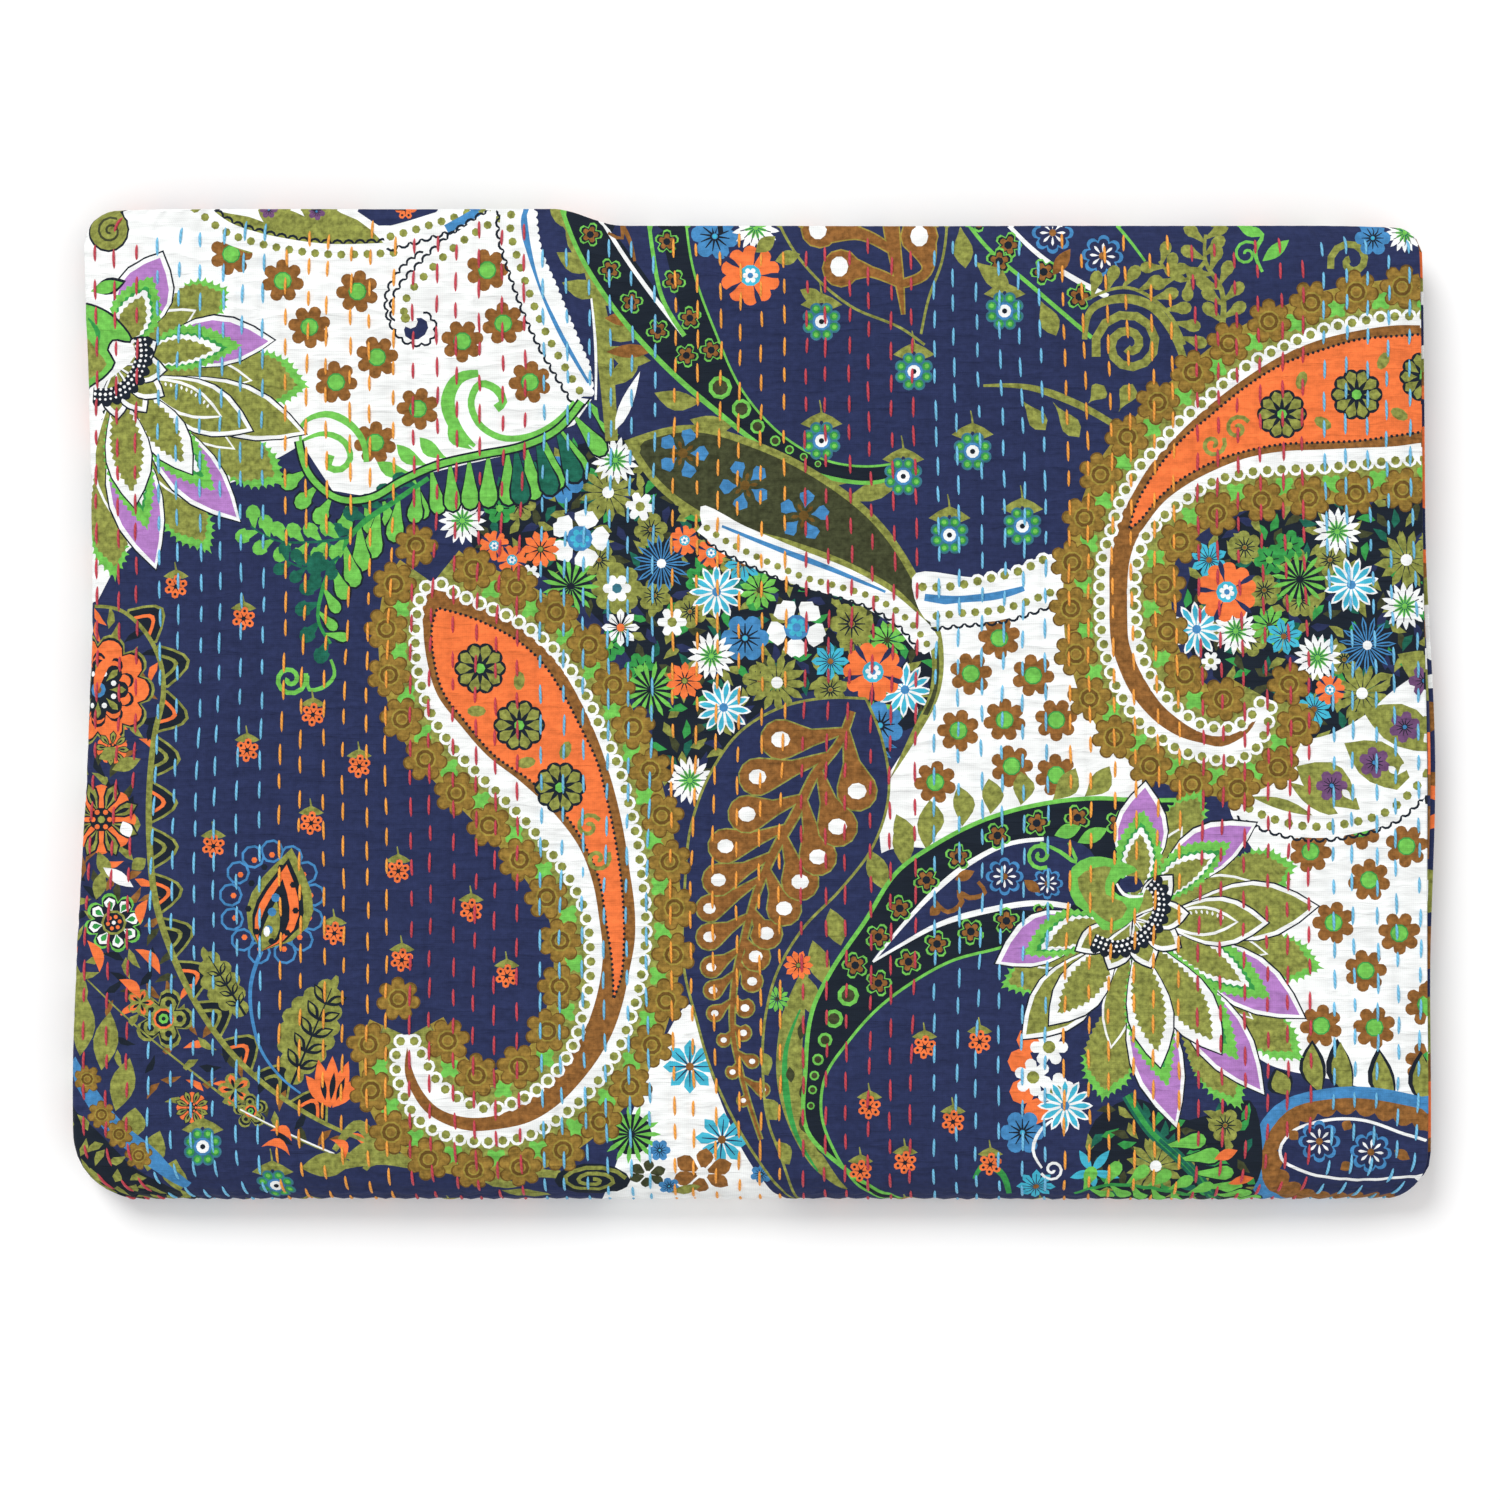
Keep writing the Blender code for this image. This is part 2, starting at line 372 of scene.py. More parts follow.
    def settle(self, x: np.ndarray, y: np.ndarray, z: np.ndarray, under: np.ndarray) -> np.ndarray:
        """Moves points of the plain packet to where the cloth lies.

        Args:
            x: places across, in millimetres from the middle.
            y: places along, in millimetres from the middle.
            z: heights.
            under: 1 on the lower layer, 0 on the upper one.

        Returns:
            One X, Y, Z row for each point.
        """
        height = z * self.height_share(x, y)
        side = x / self.half_width
        out_x = x - np.sign(x) * self.corner_cut(x, y)
        dip = bump(y - self.fold_dip_y, self.fold_dip_span)
        out_x = out_x + self.fold_dip * dip * np.maximum(-side, 0.0) ** 3
        peep = bump(y - self.under_hem_y, self.under_hem_span)
        out_x = out_x + self.under_hem * under * peep * np.maximum(side, 0.0) ** 3
        left = 1.0 - ease((x - self.back_step_x) / self.back_step_span + 0.5)
        out_y = y + self.back_step * (left - 0.5) * np.maximum(y / (self.depth / 2), 0.0) ** 2
        return np.stack((out_x, out_y, height), axis=-1)

    def slip(self, passes: np.ndarray) -> np.ndarray:
        """How far the cloth has slipped sideways after so many passes, smooth through the turns.

        Args:
            passes: how many turns the cloth has made at each point.

        Returns:
            Millimetres to the right.
        """
        total = np.full_like(passes, self.slips[0])
        for index, (before, after) in enumerate(zip(self.slips, self.slips[1:])):
            total += (after - before) * ease(passes - index)
        return total

    def place(self, u: np.ndarray, v: np.ndarray, inset: np.ndarray) -> np.ndarray:
        """Where points of the cloth lie in the packet, in millimetres.

        Args:
            u: places across the cloth.
            v: places along it.
            inset: how deep each point lies under the plain printed face.

        Returns:
            One X, Y, Z row for each point.
        """
        wrapped, at_back, inside = self.turns(v)
        places = self.breaks
        y = np.maximum(v, self.front_turn) - self.wrap * np.sin(wrapped)
        y = y + np.clip(places[1] - v, 0.0, self.run) + self.turn * np.sin(at_back)
        y = y - np.clip(places[3] - v, 0.0, self.run) - self.turn * np.sin(inside)
        y = y + np.maximum(places[5] - v, 0.0)
        z = self.half_pass + self.wrap * (1.0 + np.cos(wrapped))
        z = z + self.turn * (2.0 - np.cos(at_back) - np.cos(inside))
        leaning = wrapped + at_back - inside

        radius = self.half_pass - inset
        bent = np.clip((self.fold_u - u) / self.half_pass, 0.0, math.pi)
        x = np.maximum(u, self.fold_u) + np.maximum(self.under_u - u, 0.0) - radius * np.sin(bent)
        height = radius * np.cos(bent)
        y = y - np.sin(leaning) * height
        z = z + np.cos(leaning) * height
        x = x + self.slip((wrapped + at_back + inside) / math.pi)
        return self.settle(x, y, z, 0.5 - 0.5 * height / self.half_pass)

    def shift(self) -> np.ndarray:
        """How the plain packet is moved so that it lies where its solid does, in millimetres.

        Returns:
            Its way along X, Y and Z.
        """
        across = np.linspace(self.far_u, self.hem_u, self.samples[0])
        u, v = np.meshgrid(across, np.linspace(self.inner_end, self.back_hem, self.samples[1]))
        places = self.place(u.ravel(), v.ravel(), self.relief(u.ravel(), v.ravel()))
        low, high = (PER_METRE * np.array(corner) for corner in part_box("quilt"))
        moved = (low + high) / 2 - (places.max(0) + places.min(0)) / 2
        moved[2] = low[2] - places[:, 2].min()
        return moved

    def seen_at(self, eye: np.ndarray, ways: np.ndarray) -> np.ndarray:
        """What part of the printed face an eye sees along each of its ways of looking.

        Args:
            eye: the eye's place in millimetres.
            ways: directions, one row for each, which all point down at the packet.

        Returns:
            The u and v of each place.
        """
        shift = self.shift()
        heights, offsets = np.zeros((len(ways), 1)), np.zeros((len(ways), 2))
        low, high = (self.fold_u, self.front_turn), (self.hem_u, self.back_hem)
        for _ in range(self.sight_rounds):
            flat = eye[:2] + ways[:, :2] * (heights - eye[2]) / ways[:, 2:] - offsets
            inside = np.clip(flat, low, high)
            spots = self.place(*inside.T, self.relief(*inside.T)) + shift
            heights, offsets = spots[:, 2:], spots[:, :2] - inside
        return flat

    def row_phase(self, u: np.ndarray, v: np.ndarray) -> np.ndarray:
        """Rows counted from the right hem: a whole number and a half on a row's line."""
        return (self.half_width - u + self.stray(u, v)) / self.pitch

    def quilting(self, v: np.ndarray) -> np.ndarray:
        """How strongly the face shows its quilting: fully on top, less on the underside.

        Args:
            v: places along the cloth.

        Returns:
            A share from 0 to 1 for each place.
        """
        places = self.breaks
        pressed = ease(2.0 * (places[0] - v) / (places[0] - places[1]) - 1.0)
        hidden = ease((places[2] - v) / (places[2] - places[3]))
        return (1.0 - (1.0 - self.under_share) * pressed) * (1.0 - hidden)

    def relief(self, u: np.ndarray, v: np.ndarray) -> np.ndarray:
        """How deep the printed face lies under its plain place: rows, puckers and slow billows.

        Args:
            u: places across the cloth.
            v: places along it.

        Returns:
            Millimetres for each place.
        """
        phase = self.row_phase(u, v)
        away = 2.0 * np.abs(phase - np.floor(phase) - 0.5)
        trough = self.row_depth * (0.5 + 0.5 * np.cos(math.pi * away)) ** self.trough_shape
        (across, along), (spacing, reach) = self.pucker_size, self.waver
        bends = reach * noise(u / spacing, v / spacing, self.seeds[0])
        fine = noise(u / across + self.pucker_slant * v / along, v / along + bends, self.seeds[1])
        coarse = noise(u / self.billow_size[0], v / self.billow_size[1], self.seeds[2])
        pucker = self.pucker * (0.5 + 0.5 * fine) * (0.35 + 0.65 * away)
        billow = self.billow * (0.5 + 0.5 * coarse)
        shown = self.quilting(v) * ease((u - self.under_u) / self.relief_start)
        return shown * (trough + pucker + billow)

    def normals(self, u: np.ndarray, v: np.ndarray) -> np.ndarray:
        """The way the printed face looks at each place, with its relief.

        Args:
            u: places across the cloth.
            v: places along it.

        Returns:
            One row for each place, one unit long.
        """
        step = self.step

        def at(du: float, dv: float) -> np.ndarray:
            """The face's place a step away."""
            return self.place(u + du, v + dv, self.relief(u + du, v + dv))

        normal = np.cross(at(step, 0.0) - at(-step, 0.0), at(0.0, step) - at(0.0, -step))
        return normal / np.maximum(np.linalg.norm(normal, axis=-1, keepdims=True), 1e-12)


# --------------------------------------------------------------------------------------------------
# Drawing tools for the print
# --------------------------------------------------------------------------------------------------


class Ink(Enum):
    """A printed colour: its hex value, and how strongly the brush's wash mottles it."""

    NAVY = ("2A3256", 0.3)
    DARK = ("1B232E", 0.0)
    WHITE = ("F3F5F4", 0.0)
    OLIVE = ("888D45", 0.95)
    GOLD = ("9A883C", 0.6)
    SHADE = ("40442C", 0.8)
    BROWN = ("8A5D2F", 0.8)
    RUSSET = ("8D7032", 0.9)
    UMBER = ("6B5024", 0.6)
    LIME = ("70BF52", 0.45)
    GREEN = ("38964A", 0.5)
    FOREST = ("1F6350", 0.6)
    TEAL = ("3B7485", 0.5)
    ORANGE = ("F07840", 0.25)
    PURPLE = ("B07CC0", 0.25)
    PLUM = ("6F4C74", 0.4)
    BLUE = ("4585BA", 0.4)
    TURQUOISE = ("45B4CF", 0.2)


INKS = list(Ink)


def heading(angle: float) -> np.ndarray:
    """The way at an angle, one unit long."""
    return np.array((math.cos(angle), math.sin(angle)))


def left_of(ways: np.ndarray) -> np.ndarray:
    """The ways a quarter turn to the left."""
    return ways[:, ::-1] * (-1.0, 1.0)


def ring(
    centre: Point, radius: float, sides: int = 9, squash: float = 1.0, turn: float = 0.0
) -> np.ndarray:
    """A disc's outline, or an oval one whose second half-axis is squash times the first.

    Args:
        centre: its middle.
        radius: its radius, the first half-axis of an oval.
        sides: its number of corners.
        squash: the second half-axis as a share of the first.
        turn: how far it is turned, in radians.

    Returns:
        The outline's points.
    """
    angle = np.arange(sides) * TAU / sides
    x, y = radius * np.cos(angle), radius * squash * np.sin(angle)
    cos, sin = math.cos(turn), math.sin(turn)
    return np.column_stack((x * cos - y * sin, x * sin + y * cos)) + centre


def blossom(
    centre: Point, radius: float, petals: int, notch: float = 0.25, turn: float = 0.0, detail: int = 5
) -> np.ndarray:
    """A flower's outline with round petals, cut in by a share of its radius between them.

    Args:
        centre: its middle.
        radius: its radius.
        petals: their number.
        notch: how deep the cuts are, as a share of the radius.
        turn: how far it is turned, in radians.
        detail: points for each petal.

    Returns:
        The outline's points.
    """
    angle = np.arange(petals * detail) * TAU / (petals * detail)
    roundness = 0.6
    lobe = np.abs(np.cos(petals * angle / 2)) ** roundness
    reach = radius * (1.0 - notch + notch * lobe)
    return np.column_stack((reach * np.cos(angle + turn), reach * np.sin(angle + turn))) + centre


def star(
    centre: Point, radius: float, petals: int, core: float = 0.45, turn: float = 0.0
) -> np.ndarray:
    """A flower's outline with pointed petals that part at a share of its radius.

    Args:
        centre: its middle.
        radius: its radius.
        petals: their number.
        core: where the petals part, as a share of the radius.
        turn: how far it is turned, in radians.

    Returns:
        The outline's points.
    """
    step, shoulder, shoulder_reach = TAU / petals, 0.225, 0.86
    corners = ((-0.5, core), (-shoulder, shoulder_reach), (0.0, 1.0), (shoulder, shoulder_reach))
    outline = []
    for petal in range(petals):
        for share, reach in corners:
            angle = turn + petal * step + share * step
            outline.append((radius * reach * math.cos(angle), radius * reach * math.sin(angle)))
    return np.array(outline) + centre


def leaf(
    base: Point, tip: Point, width: float, belly: float = 0.45, bend: float = 0.0, steps: int = 6
) -> np.ndarray:
    """A leaf's outline.

    Args:
        base: where it grows from.
        tip: its point.
        width: how wide it is.
        belly: the share of its length at which it is widest.
        bend: how far its middle stands aside to the left, as a share of its length.
        steps: the number of steps along each side.

    Returns:
        The outline's points.
    """
    base, tip = np.asarray(base, float), np.asarray(tip, float)
    along = tip - base
    aside = np.array((-along[1], along[0]))
    share = np.linspace(0.0, 1.0, steps + 1)
    half = 0.5 * width * np.sin(math.pi * share ** (math.log(0.5) / math.log(belly)))
    spine = base + share[:, None] * along + (4.0 * bend * share * (1.0 - share))[:, None] * aside
    reach = (half / np.linalg.norm(along))[:, None] * aside
    return np.vstack((spine + reach, (spine - reach)[-2:0:-1]))


def club(base: Point, tip: Point, width: float) -> np.ndarray:
    """A leaf's outline that swells from its base to a round end.

    Args:
        base: where it grows from.
        tip: its round end.
        width: how wide it is there.

    Returns:
        The outline's points.
    """
    cap_turn, cap_points = 1.9, 7
    base, tip = np.asarray(base, float), np.asarray(tip, float)
    way = (tip - base) / np.linalg.norm(tip - base)
    aside = np.array((-way[1], way[0]))
    angle = np.linspace(-cap_turn, cap_turn, cap_points)[:, None]
    cap = tip + 0.5 * width * (1.25 * (np.cos(angle) - 1.0) * way + np.sin(angle) * aside)
    neck = base + 0.45 * (tip - base)
    half = 0.5 * width * aside
    return np.vstack((base - 0.15 * half, neck - 0.62 * half, cap, neck + 0.62 * half, base + 0.15 * half))


@dataclass(frozen=True)
class Curve:
    """A line on the cloth, as points close together."""

    points: np.ndarray

    @classmethod
    def through(cls, places: Places, step: float = 3.5, closed: bool = False) -> "Curve":
        """A smooth curve through the places, with a point about every step of its length.

        Args:
            places: the places.
            step: length from point to point.
            closed: whether it runs back to its first place.

        Returns:
            The curve.
        """
        knots = np.asarray(places, float)
        if closed:
            knots = np.vstack((knots, knots[:1]))
        gaps = np.linalg.norm(np.diff(knots, axis=0), axis=1)
        slopes = np.diff(knots, axis=0) / gaps[:, None]
        weights = gaps[:-1] / (gaps[:-1] + gaps[1:])
        middle = slopes[:-1] * (1.0 - weights)[:, None] + slopes[1:] * weights[:, None]
        if closed:
            share = gaps[-1] / (gaps[-1] + gaps[0])
            ends = (slopes[-1] * (1.0 - share) + slopes[0] * share,) * 2
        elif len(knots) > 2:
            ends = (1.5 * slopes[0] - 0.5 * middle[0], 1.5 * slopes[-1] - 0.5 * middle[-1])
        else:
            ends = (slopes[0], slopes[-1])
        tangents = np.vstack((ends[0], middle, ends[1]))
        pieces = []
        for index, gap in enumerate(gaps):
            t = np.linspace(0.0, 1.0, max(int(gap / step + 0.5), 2) + 1)[:-1, None]
            start, end = knots[index], knots[index + 1]
            out, back = tangents[index] * gap, tangents[index + 1] * gap
            pieces.append(
                (2 * t**3 - 3 * t**2 + 1) * start
                + (t**3 - 2 * t**2 + t) * out
                + (3 * t**2 - 2 * t**3) * end
                + (t**3 - t**2) * back
            )
        return cls(np.vstack((*pieces, knots[-1:])))

    @property
    def travelled(self) -> np.ndarray:
        """The length from the start to each point."""
        gaps = np.linalg.norm(np.diff(self.points, axis=0), axis=1)
        return np.concatenate(([0.0], np.cumsum(gaps)))

    @property
    def length(self) -> float:
        """The whole length."""
        return float(self.travelled[-1])

    @property
    def headings(self) -> np.ndarray:
        """The way the line runs at each point, one unit long."""
        way = np.gradient(self.points, axis=0)
        return way / np.maximum(np.linalg.norm(way, axis=1, keepdims=True), 1e-9)

    def at(self, distances: np.ndarray) -> np.ndarray:
        """The places at the given distances from the start."""
        travelled = self.travelled
        return np.column_stack([np.interp(distances, travelled, self.points[:, axis]) for axis in (0, 1)])

    def heading_at(self, distances: np.ndarray) -> np.ndarray:
        """The way the line runs at the given distances."""
        travelled, headings = self.travelled, self.headings
        return np.column_stack([np.interp(distances, travelled, headings[:, axis]) for axis in (0, 1)])

    def spaced(self, pitch: float) -> np.ndarray:
        """Distances that share the line out evenly, about a pitch apart and half a pitch from its ends."""
        count = max(int(self.length / pitch + 0.5), 1)
        return (np.arange(count) + 0.5) * self.length / count

    def aside(self, offset: float | np.ndarray) -> "Curve":
        """The line moved to the left of its heading."""
        return Curve(self.points + left_of(self.headings) * np.reshape(offset, (-1, 1)))

    def part(self, start: float, end: float) -> "Curve":
        """The stretch between two shares of the length.

        Args:
            start: the share at which it starts.
            end: the share at which it ends.

        Returns:
            The stretch.
        """
        travelled = self.travelled / self.length
        inside = self.points[(travelled > start) & (travelled < end)]
        ends = self.at(np.array((start, end)) * self.length)
        return Curve(np.vstack((ends[:1], inside, ends[1:])))


def ribbon(curve: Curve, widths: float | Sequence[float]) -> np.ndarray:
    """The outline of a band along a curve, whose width is given at even shares of its length.

    Args:
        curve: the line along its middle.
        widths: one width, or several from start to end.

    Returns:
        The outline's points.
    """
    shares = curve.travelled / curve.length
    given = np.atleast_1d(np.asarray(widths, float))
    half = 0.5 * np.interp(shares, np.linspace(0.0, 1.0, len(given)), given)
    return np.vstack((curve.aside(half).points, curve.aside(-half).points[::-1]))


def between(first: Curve, second: Curve) -> np.ndarray:
    """The outline of the area between two lines that run the same way."""
    return np.vstack((first.points, second.points[::-1]))


def spiral(centre: Point, radius: float, turns: float, start: float, hand: int = 1) -> Curve:
    """A spiral that winds inwards from a start angle in degrees, to the left where hand is 1.

    Args:
        centre: its middle.
        radius: its radius at the start.
        turns: how often it winds round.
        start: the start angle in degrees.
        hand: 1 to the left, -1 to the right.

    Returns:
        The line.
    """
    points_a_turn, wound_in = 12, 0.88
    share = np.linspace(0.0, 1.0, int(points_a_turn * turns) + 1)
    angle = math.radians(start) + hand * TAU * turns * share
    reach = radius * (1.0 - wound_in * share)
    return Curve(np.column_stack((reach * np.cos(angle), reach * np.sin(angle))) + centre)


def scalloped(curve: Curve, pitch: float, height: float) -> Curve:
    """The line with round scallops that bulge to its left.

    Args:
        curve: the line.
        pitch: length of a scallop.
        height: how far it bulges, to the right where it is below 0.

    Returns:
        The new line.
    """
    detail, roundness = 4, 0.7
    count = max(int(curve.length / pitch + 0.5), 1)
    share = np.linspace(0.0, 1.0, count * detail + 1)
    distances = share * curve.length
    bulge = height * np.abs(np.sin(math.pi * count * share)) ** roundness
    return Curve(curve.at(distances) + left_of(curve.heading_at(distances)) * bulge[:, None])


@dataclass
class Canvas:
    """An area of the printed face, with its shapes in the order in which they are painted.

    A turned canvas shows the same drawing turned half round about the middle between the two.
    """

    low: Point
    high: Point
    ground: Ink = Ink.NAVY
    turn_about: Point | None = None
    smallest: float = 0.0  # shapes that are less wide than this are left out
    near: float = 15.0  # shapes this far outside the area are still kept
    shapes: list[tuple[np.ndarray, Ink]] = field(default_factory=list)

    def fill(self, outline: np.ndarray, ink: Ink) -> None:
        """Paints a closed outline.

        Args:
            outline: its points.
            ink: its colour.
        """
        if self.turn_about is not None:
            outline = 2.0 * np.asarray(self.turn_about) - outline
        low, high = outline.min(0) - self.near, outline.max(0) + self.near
        seen = (high > self.low).all() and (low < self.high).all()
        if seen and (outline.max(0) - outline.min(0)).max() > self.smallest:
            self.shapes.append((outline, ink))

    def move(self, where: Callable[[np.ndarray], np.ndarray]) -> None:
        """Moves the points of every outline to where a function puts them.

        Args:
            where: gives the new places of an array of places.
        """
        outlines = [outline for outline, _ in self.shapes]
        ends = np.cumsum([len(outline) for outline in outlines])[:-1]
        moved = np.split(where(np.vstack(outlines)), ends)
        self.shapes = [(outline, ink) for outline, (_, ink) in zip(moved, self.shapes)]

    def line(self, curve: Curve, widths: float | Sequence[float], ink: Ink) -> None:
        """Paints a band along a curve."""
        self.fill(ribbon(curve, widths), ink)

    def dots(self, centres: Iterable[Point], radius: float, ink: Ink, sides: int = 8) -> None:
        """Paints a disc at each place."""
        for centre in centres:
            self.fill(ring(centre, radius, sides), ink)

    def beads(self, curve: Curve, radius: float = 4.2) -> None:
        """Paints a chain of white rings with olive cores along a curve.

        Args:
            curve: the line through their middles.
            radius: radius of a bead.
        """
        pitch, core = 1.93 * radius, 0.62 * radius
        places = curve.at(curve.spaced(pitch))
        self.dots(places, radius, Ink.WHITE, 9)
        self.dots(places, core, Ink.OLIVE, 7)

    def spokes(
        self, centre: Point, inner: float, outer: float, count: int, width: float, ink: Ink, turn: float = 0.0
    ) -> None:
        """Paints thin lines that run out from a middle.

        Args:
            centre: the middle.
            inner: where they start.
            outer: where they end.
            count: their number.
            width: their width at the start.
            ink: their colour.
            turn: how far they are turned, in radians.
        """
        for spoke in range(count):
            way = heading(turn + spoke * TAU / count)
            side = np.array((-way[1], way[0])) * width / 2
            middle = np.asarray(centre, float)
            start, end = middle + inner * way, middle + outer * way
            self.fill(np.array((start - side, end - 0.4 * side, end + 0.4 * side, start + side)), ink)

    def bounded(self) -> np.ndarray:
        """The area's own outline."""
        (left, down), (right, up) = self.low, self.high
        return np.array(((left, down), (right, down), (right, up), (left, up)), float)

    def inks_at(self, places: np.ndarray) -> np.ndarray:
        """The number of the ink at each place: the last shape painted over it.

        Args:
            places: one u, v row for each place.

        Returns:
            Numbers in INKS.
        """
        order = np.argsort(places[:, 0], kind="stable")
        across = places[order, 0]
        found = np.full(len(places), INKS.index(self.ground))
        for outline, ink in self.shapes:
            (left, down), (right, up) = outline.min(0), outline.max(0)
            first, last = np.searchsorted(across, (left, right))
            near = order[first:last]
            near = near[(places[near, 1] > down) & (places[near, 1] < up)]
            if len(near):
                found[near[winds_round(outline, places[near])]] = INKS.index(ink)
        return found


def winds_round(outline: np.ndarray, places: np.ndarray) -> np.ndarray:
    """Whether a closed outline winds round each place, also where it crosses itself.

    Args:
        outline: the outline's points.
        places: the places.

    Returns:
        A truth value for each place.
    """
    start = outline[:, None, :]
    end = np.roll(outline, -1, axis=0)[:, None, :]
    side = (end[..., 0] - start[..., 0]) * (places[:, 1] - start[..., 1])
    side = side - (places[:, 0] - start[..., 0]) * (end[..., 1] - start[..., 1])
    upward = (start[..., 1] <= places[:, 1]) & (end[..., 1] > places[:, 1]) & (side > 0)
    downward = (start[..., 1] > places[:, 1]) & (end[..., 1] <= places[:, 1]) & (side < 0)
    return upward.sum(0) != downward.sum(0)


# --------------------------------------------------------------------------------------------------
# The motifs of the print
# --------------------------------------------------------------------------------------------------


class Form(Enum):
    """How one layer of a flower is drawn."""

    LOBES = "round petals in one outline"
    STAR = "pointed petals in one outline"
    PETALS = "separate petals"
    SPOKES = "thin lines"
    BEADS = "a ring of discs"
    DISC = "a disc"


class Layer(NamedTuple):
    """One layer of a flower. Reach, size and start are shares of its radius, turn one of a petal's step."""

    form: Form
    ink: Ink
    reach: float
    count: int = 0
    size: float = 0.3
    start: float = 0.0
    turn: float = 0.0


class Bloom(Enum):
    """A kind of flower, as its layers from the back to the front."""

    ROUND = (
        Layer(Form.LOBES, Ink.UMBER, 1.04, 7, 0.3),
        Layer(Form.LOBES, Ink.RUSSET, 0.96, 7, 0.3),
        Layer(Form.DISC, Ink.GOLD, 0.5),
        Layer(Form.DISC, Ink.UMBER, 0.42),
        Layer(Form.DISC, Ink.GOLD, 0.27),
        Layer(Form.DISC, Ink.RUSSET, 0.21),
    )
    BROWN = (
        Layer(Form.LOBES, Ink.BROWN, 1.0, 7, 0.32),
        Layer(Form.DISC, Ink.GREEN, 0.43),
        Layer(Form.DISC, Ink.LIME, 0.37),
    )
    ROSETTE = (
        Layer(Form.LOBES, Ink.DARK, 1.0, 10, 0.12),
        Layer(Form.PETALS, Ink.OLIVE, 0.94, 10, 0.44, 0.26),
        Layer(Form.DISC, Ink.DARK, 0.28),
        Layer(Form.DISC, Ink.LIME, 0.2),
    )
    SPRIG = (
        Layer(Form.LOBES, Ink.ORANGE, 1.0, 6, 0.38),
        Layer(Form.BEADS, Ink.DARK, 0.64, 6, 0.13),
        Layer(Form.SPOKES, Ink.DARK, 0.5, 6, 0.1, 0.1, 0.5),
        Layer(Form.DISC, Ink.DARK, 0.2),
    )
    BEADED = (
        Layer(Form.LOBES, Ink.TEAL, 1.0, 8, 0.22),
        Layer(Form.BEADS, Ink.GREEN, 0.68, 8, 0.22),
        Layer(Form.BEADS, Ink.LIME, 0.7, 8, 0.12),
        Layer(Form.DISC, Ink.BLUE, 0.45),
        Layer(Form.DISC, Ink.WHITE, 0.33),
        Layer(Form.DISC, Ink.DARK, 0.14),
    )
    WHITE_GREEN = (
        Layer(Form.STAR, Ink.WHITE, 1.0, 16, 0.66),
        Layer(Form.SPOKES, Ink.DARK, 0.66, 12, 0.09),
        Layer(Form.STAR, Ink.LIME, 0.5, 12, 0.5),
        Layer(Form.SPOKES, Ink.FOREST, 0.5, 12, 0.06),
        Layer(Form.DISC, Ink.LIME, 0.12),
    )
    HEARTS = (
        Layer(Form.LOBES, Ink.ORANGE, 1.0, 10, 0.2, 0.0, 0.5),
        Layer(Form.PETALS, Ink.NAVY, 1.1, 5, 0.2, 0.3, 0.0),
        Layer(Form.DISC, Ink.TURQUOISE, 0.36),
        Layer(Form.LOBES, Ink.WHITE, 0.26, 6, 0.4),
        Layer(Form.DISC, Ink.BLUE, 0.1),
    )
    ORANGE_DAISY = (
        Layer(Form.DISC, Ink.DARK, 0.62),
        Layer(Form.PETALS, Ink.ORANGE, 1.0, 10, 0.42, 0.1),
        Layer(Form.DISC, Ink.SHADE, 0.2),
        Layer(Form.DISC, Ink.OLIVE, 0.14),
    )
    NOTCHED = (
        Layer(Form.PETALS, Ink.WHITE, 0.98, 5, 0.66, 0.2, -0.1),
        Layer(Form.PETALS, Ink.WHITE, 0.98, 5, 0.66, 0.2, 0.1),
        Layer(Form.DISC, Ink.BLUE, 0.42),
        Layer(Form.LOBES, Ink.TURQUOISE, 0.32, 6, 0.4),
        Layer(Form.DISC, Ink.BLUE, 0.15),
    )
    OLIVE_DAISY = (
        Layer(Form.PETALS, Ink.OLIVE, 1.0, 13, 0.28),
        Layer(Form.DISC, Ink.WHITE, 0.2),
    )
    GREEN_SPOKED = (
        Layer(Form.DISC, Ink.DARK, 0.7),
        Layer(Form.PETALS, Ink.LIME, 1.0, 15, 0.16, 0.1),
        Layer(Form.DISC, Ink.DARK, 0.12),
    )
    BLUE_SPOKED = (
        Layer(Form.DISC, Ink.DARK, 0.75),
        Layer(Form.PETALS, Ink.BLUE, 1.0, 15, 0.18),
        Layer(Form.PETALS, Ink.DARK, 0.9, 15, 0.07, 0.2),
        Layer(Form.DISC, Ink.WHITE, 0.17),
    )
    TURQUOISE_STAR = (
        Layer(Form.STAR, Ink.WHITE, 1.0, 12, 0.6),
        Layer(Form.PETALS, Ink.TURQUOISE, 0.9, 12, 0.2, 0.1),
        Layer(Form.DISC, Ink.BLUE, 0.17),
    )
    TURQUOISE = (
        Layer(Form.PETALS, Ink.TURQUOISE, 1.0, 8, 0.46),
        Layer(Form.SPOKES, Ink.NAVY, 0.75, 8, 0.07),
        Layer(Form.DISC, Ink.BROWN, 0.16),
    )
    BLUE_LOBED = (
        Layer(Form.LOBES, Ink.BLUE, 1.0, 6, 0.28),
        Layer(Form.SPOKES, Ink.DARK, 0.62, 12, 0.1, 0.12),
        Layer(Form.DISC, Ink.TURQUOISE, 0.1),
    )
    OLIVE_LOBED = (
        Layer(Form.LOBES, Ink.OLIVE, 1.0, 6, 0.25),
        Layer(Form.SPOKES, Ink.DARK, 0.62, 12, 0.1, 0.14),
        Layer(Form.DISC, Ink.BROWN, 0.11),
    )
    OLIVE_WHITE = (
        Layer(Form.LOBES, Ink.OLIVE, 1.0, 8, 0.2),
        Layer(Form.LOBES, Ink.WHITE, 0.55, 6, 0.35),
        Layer(Form.DISC, Ink.TEAL, 0.2),
    )
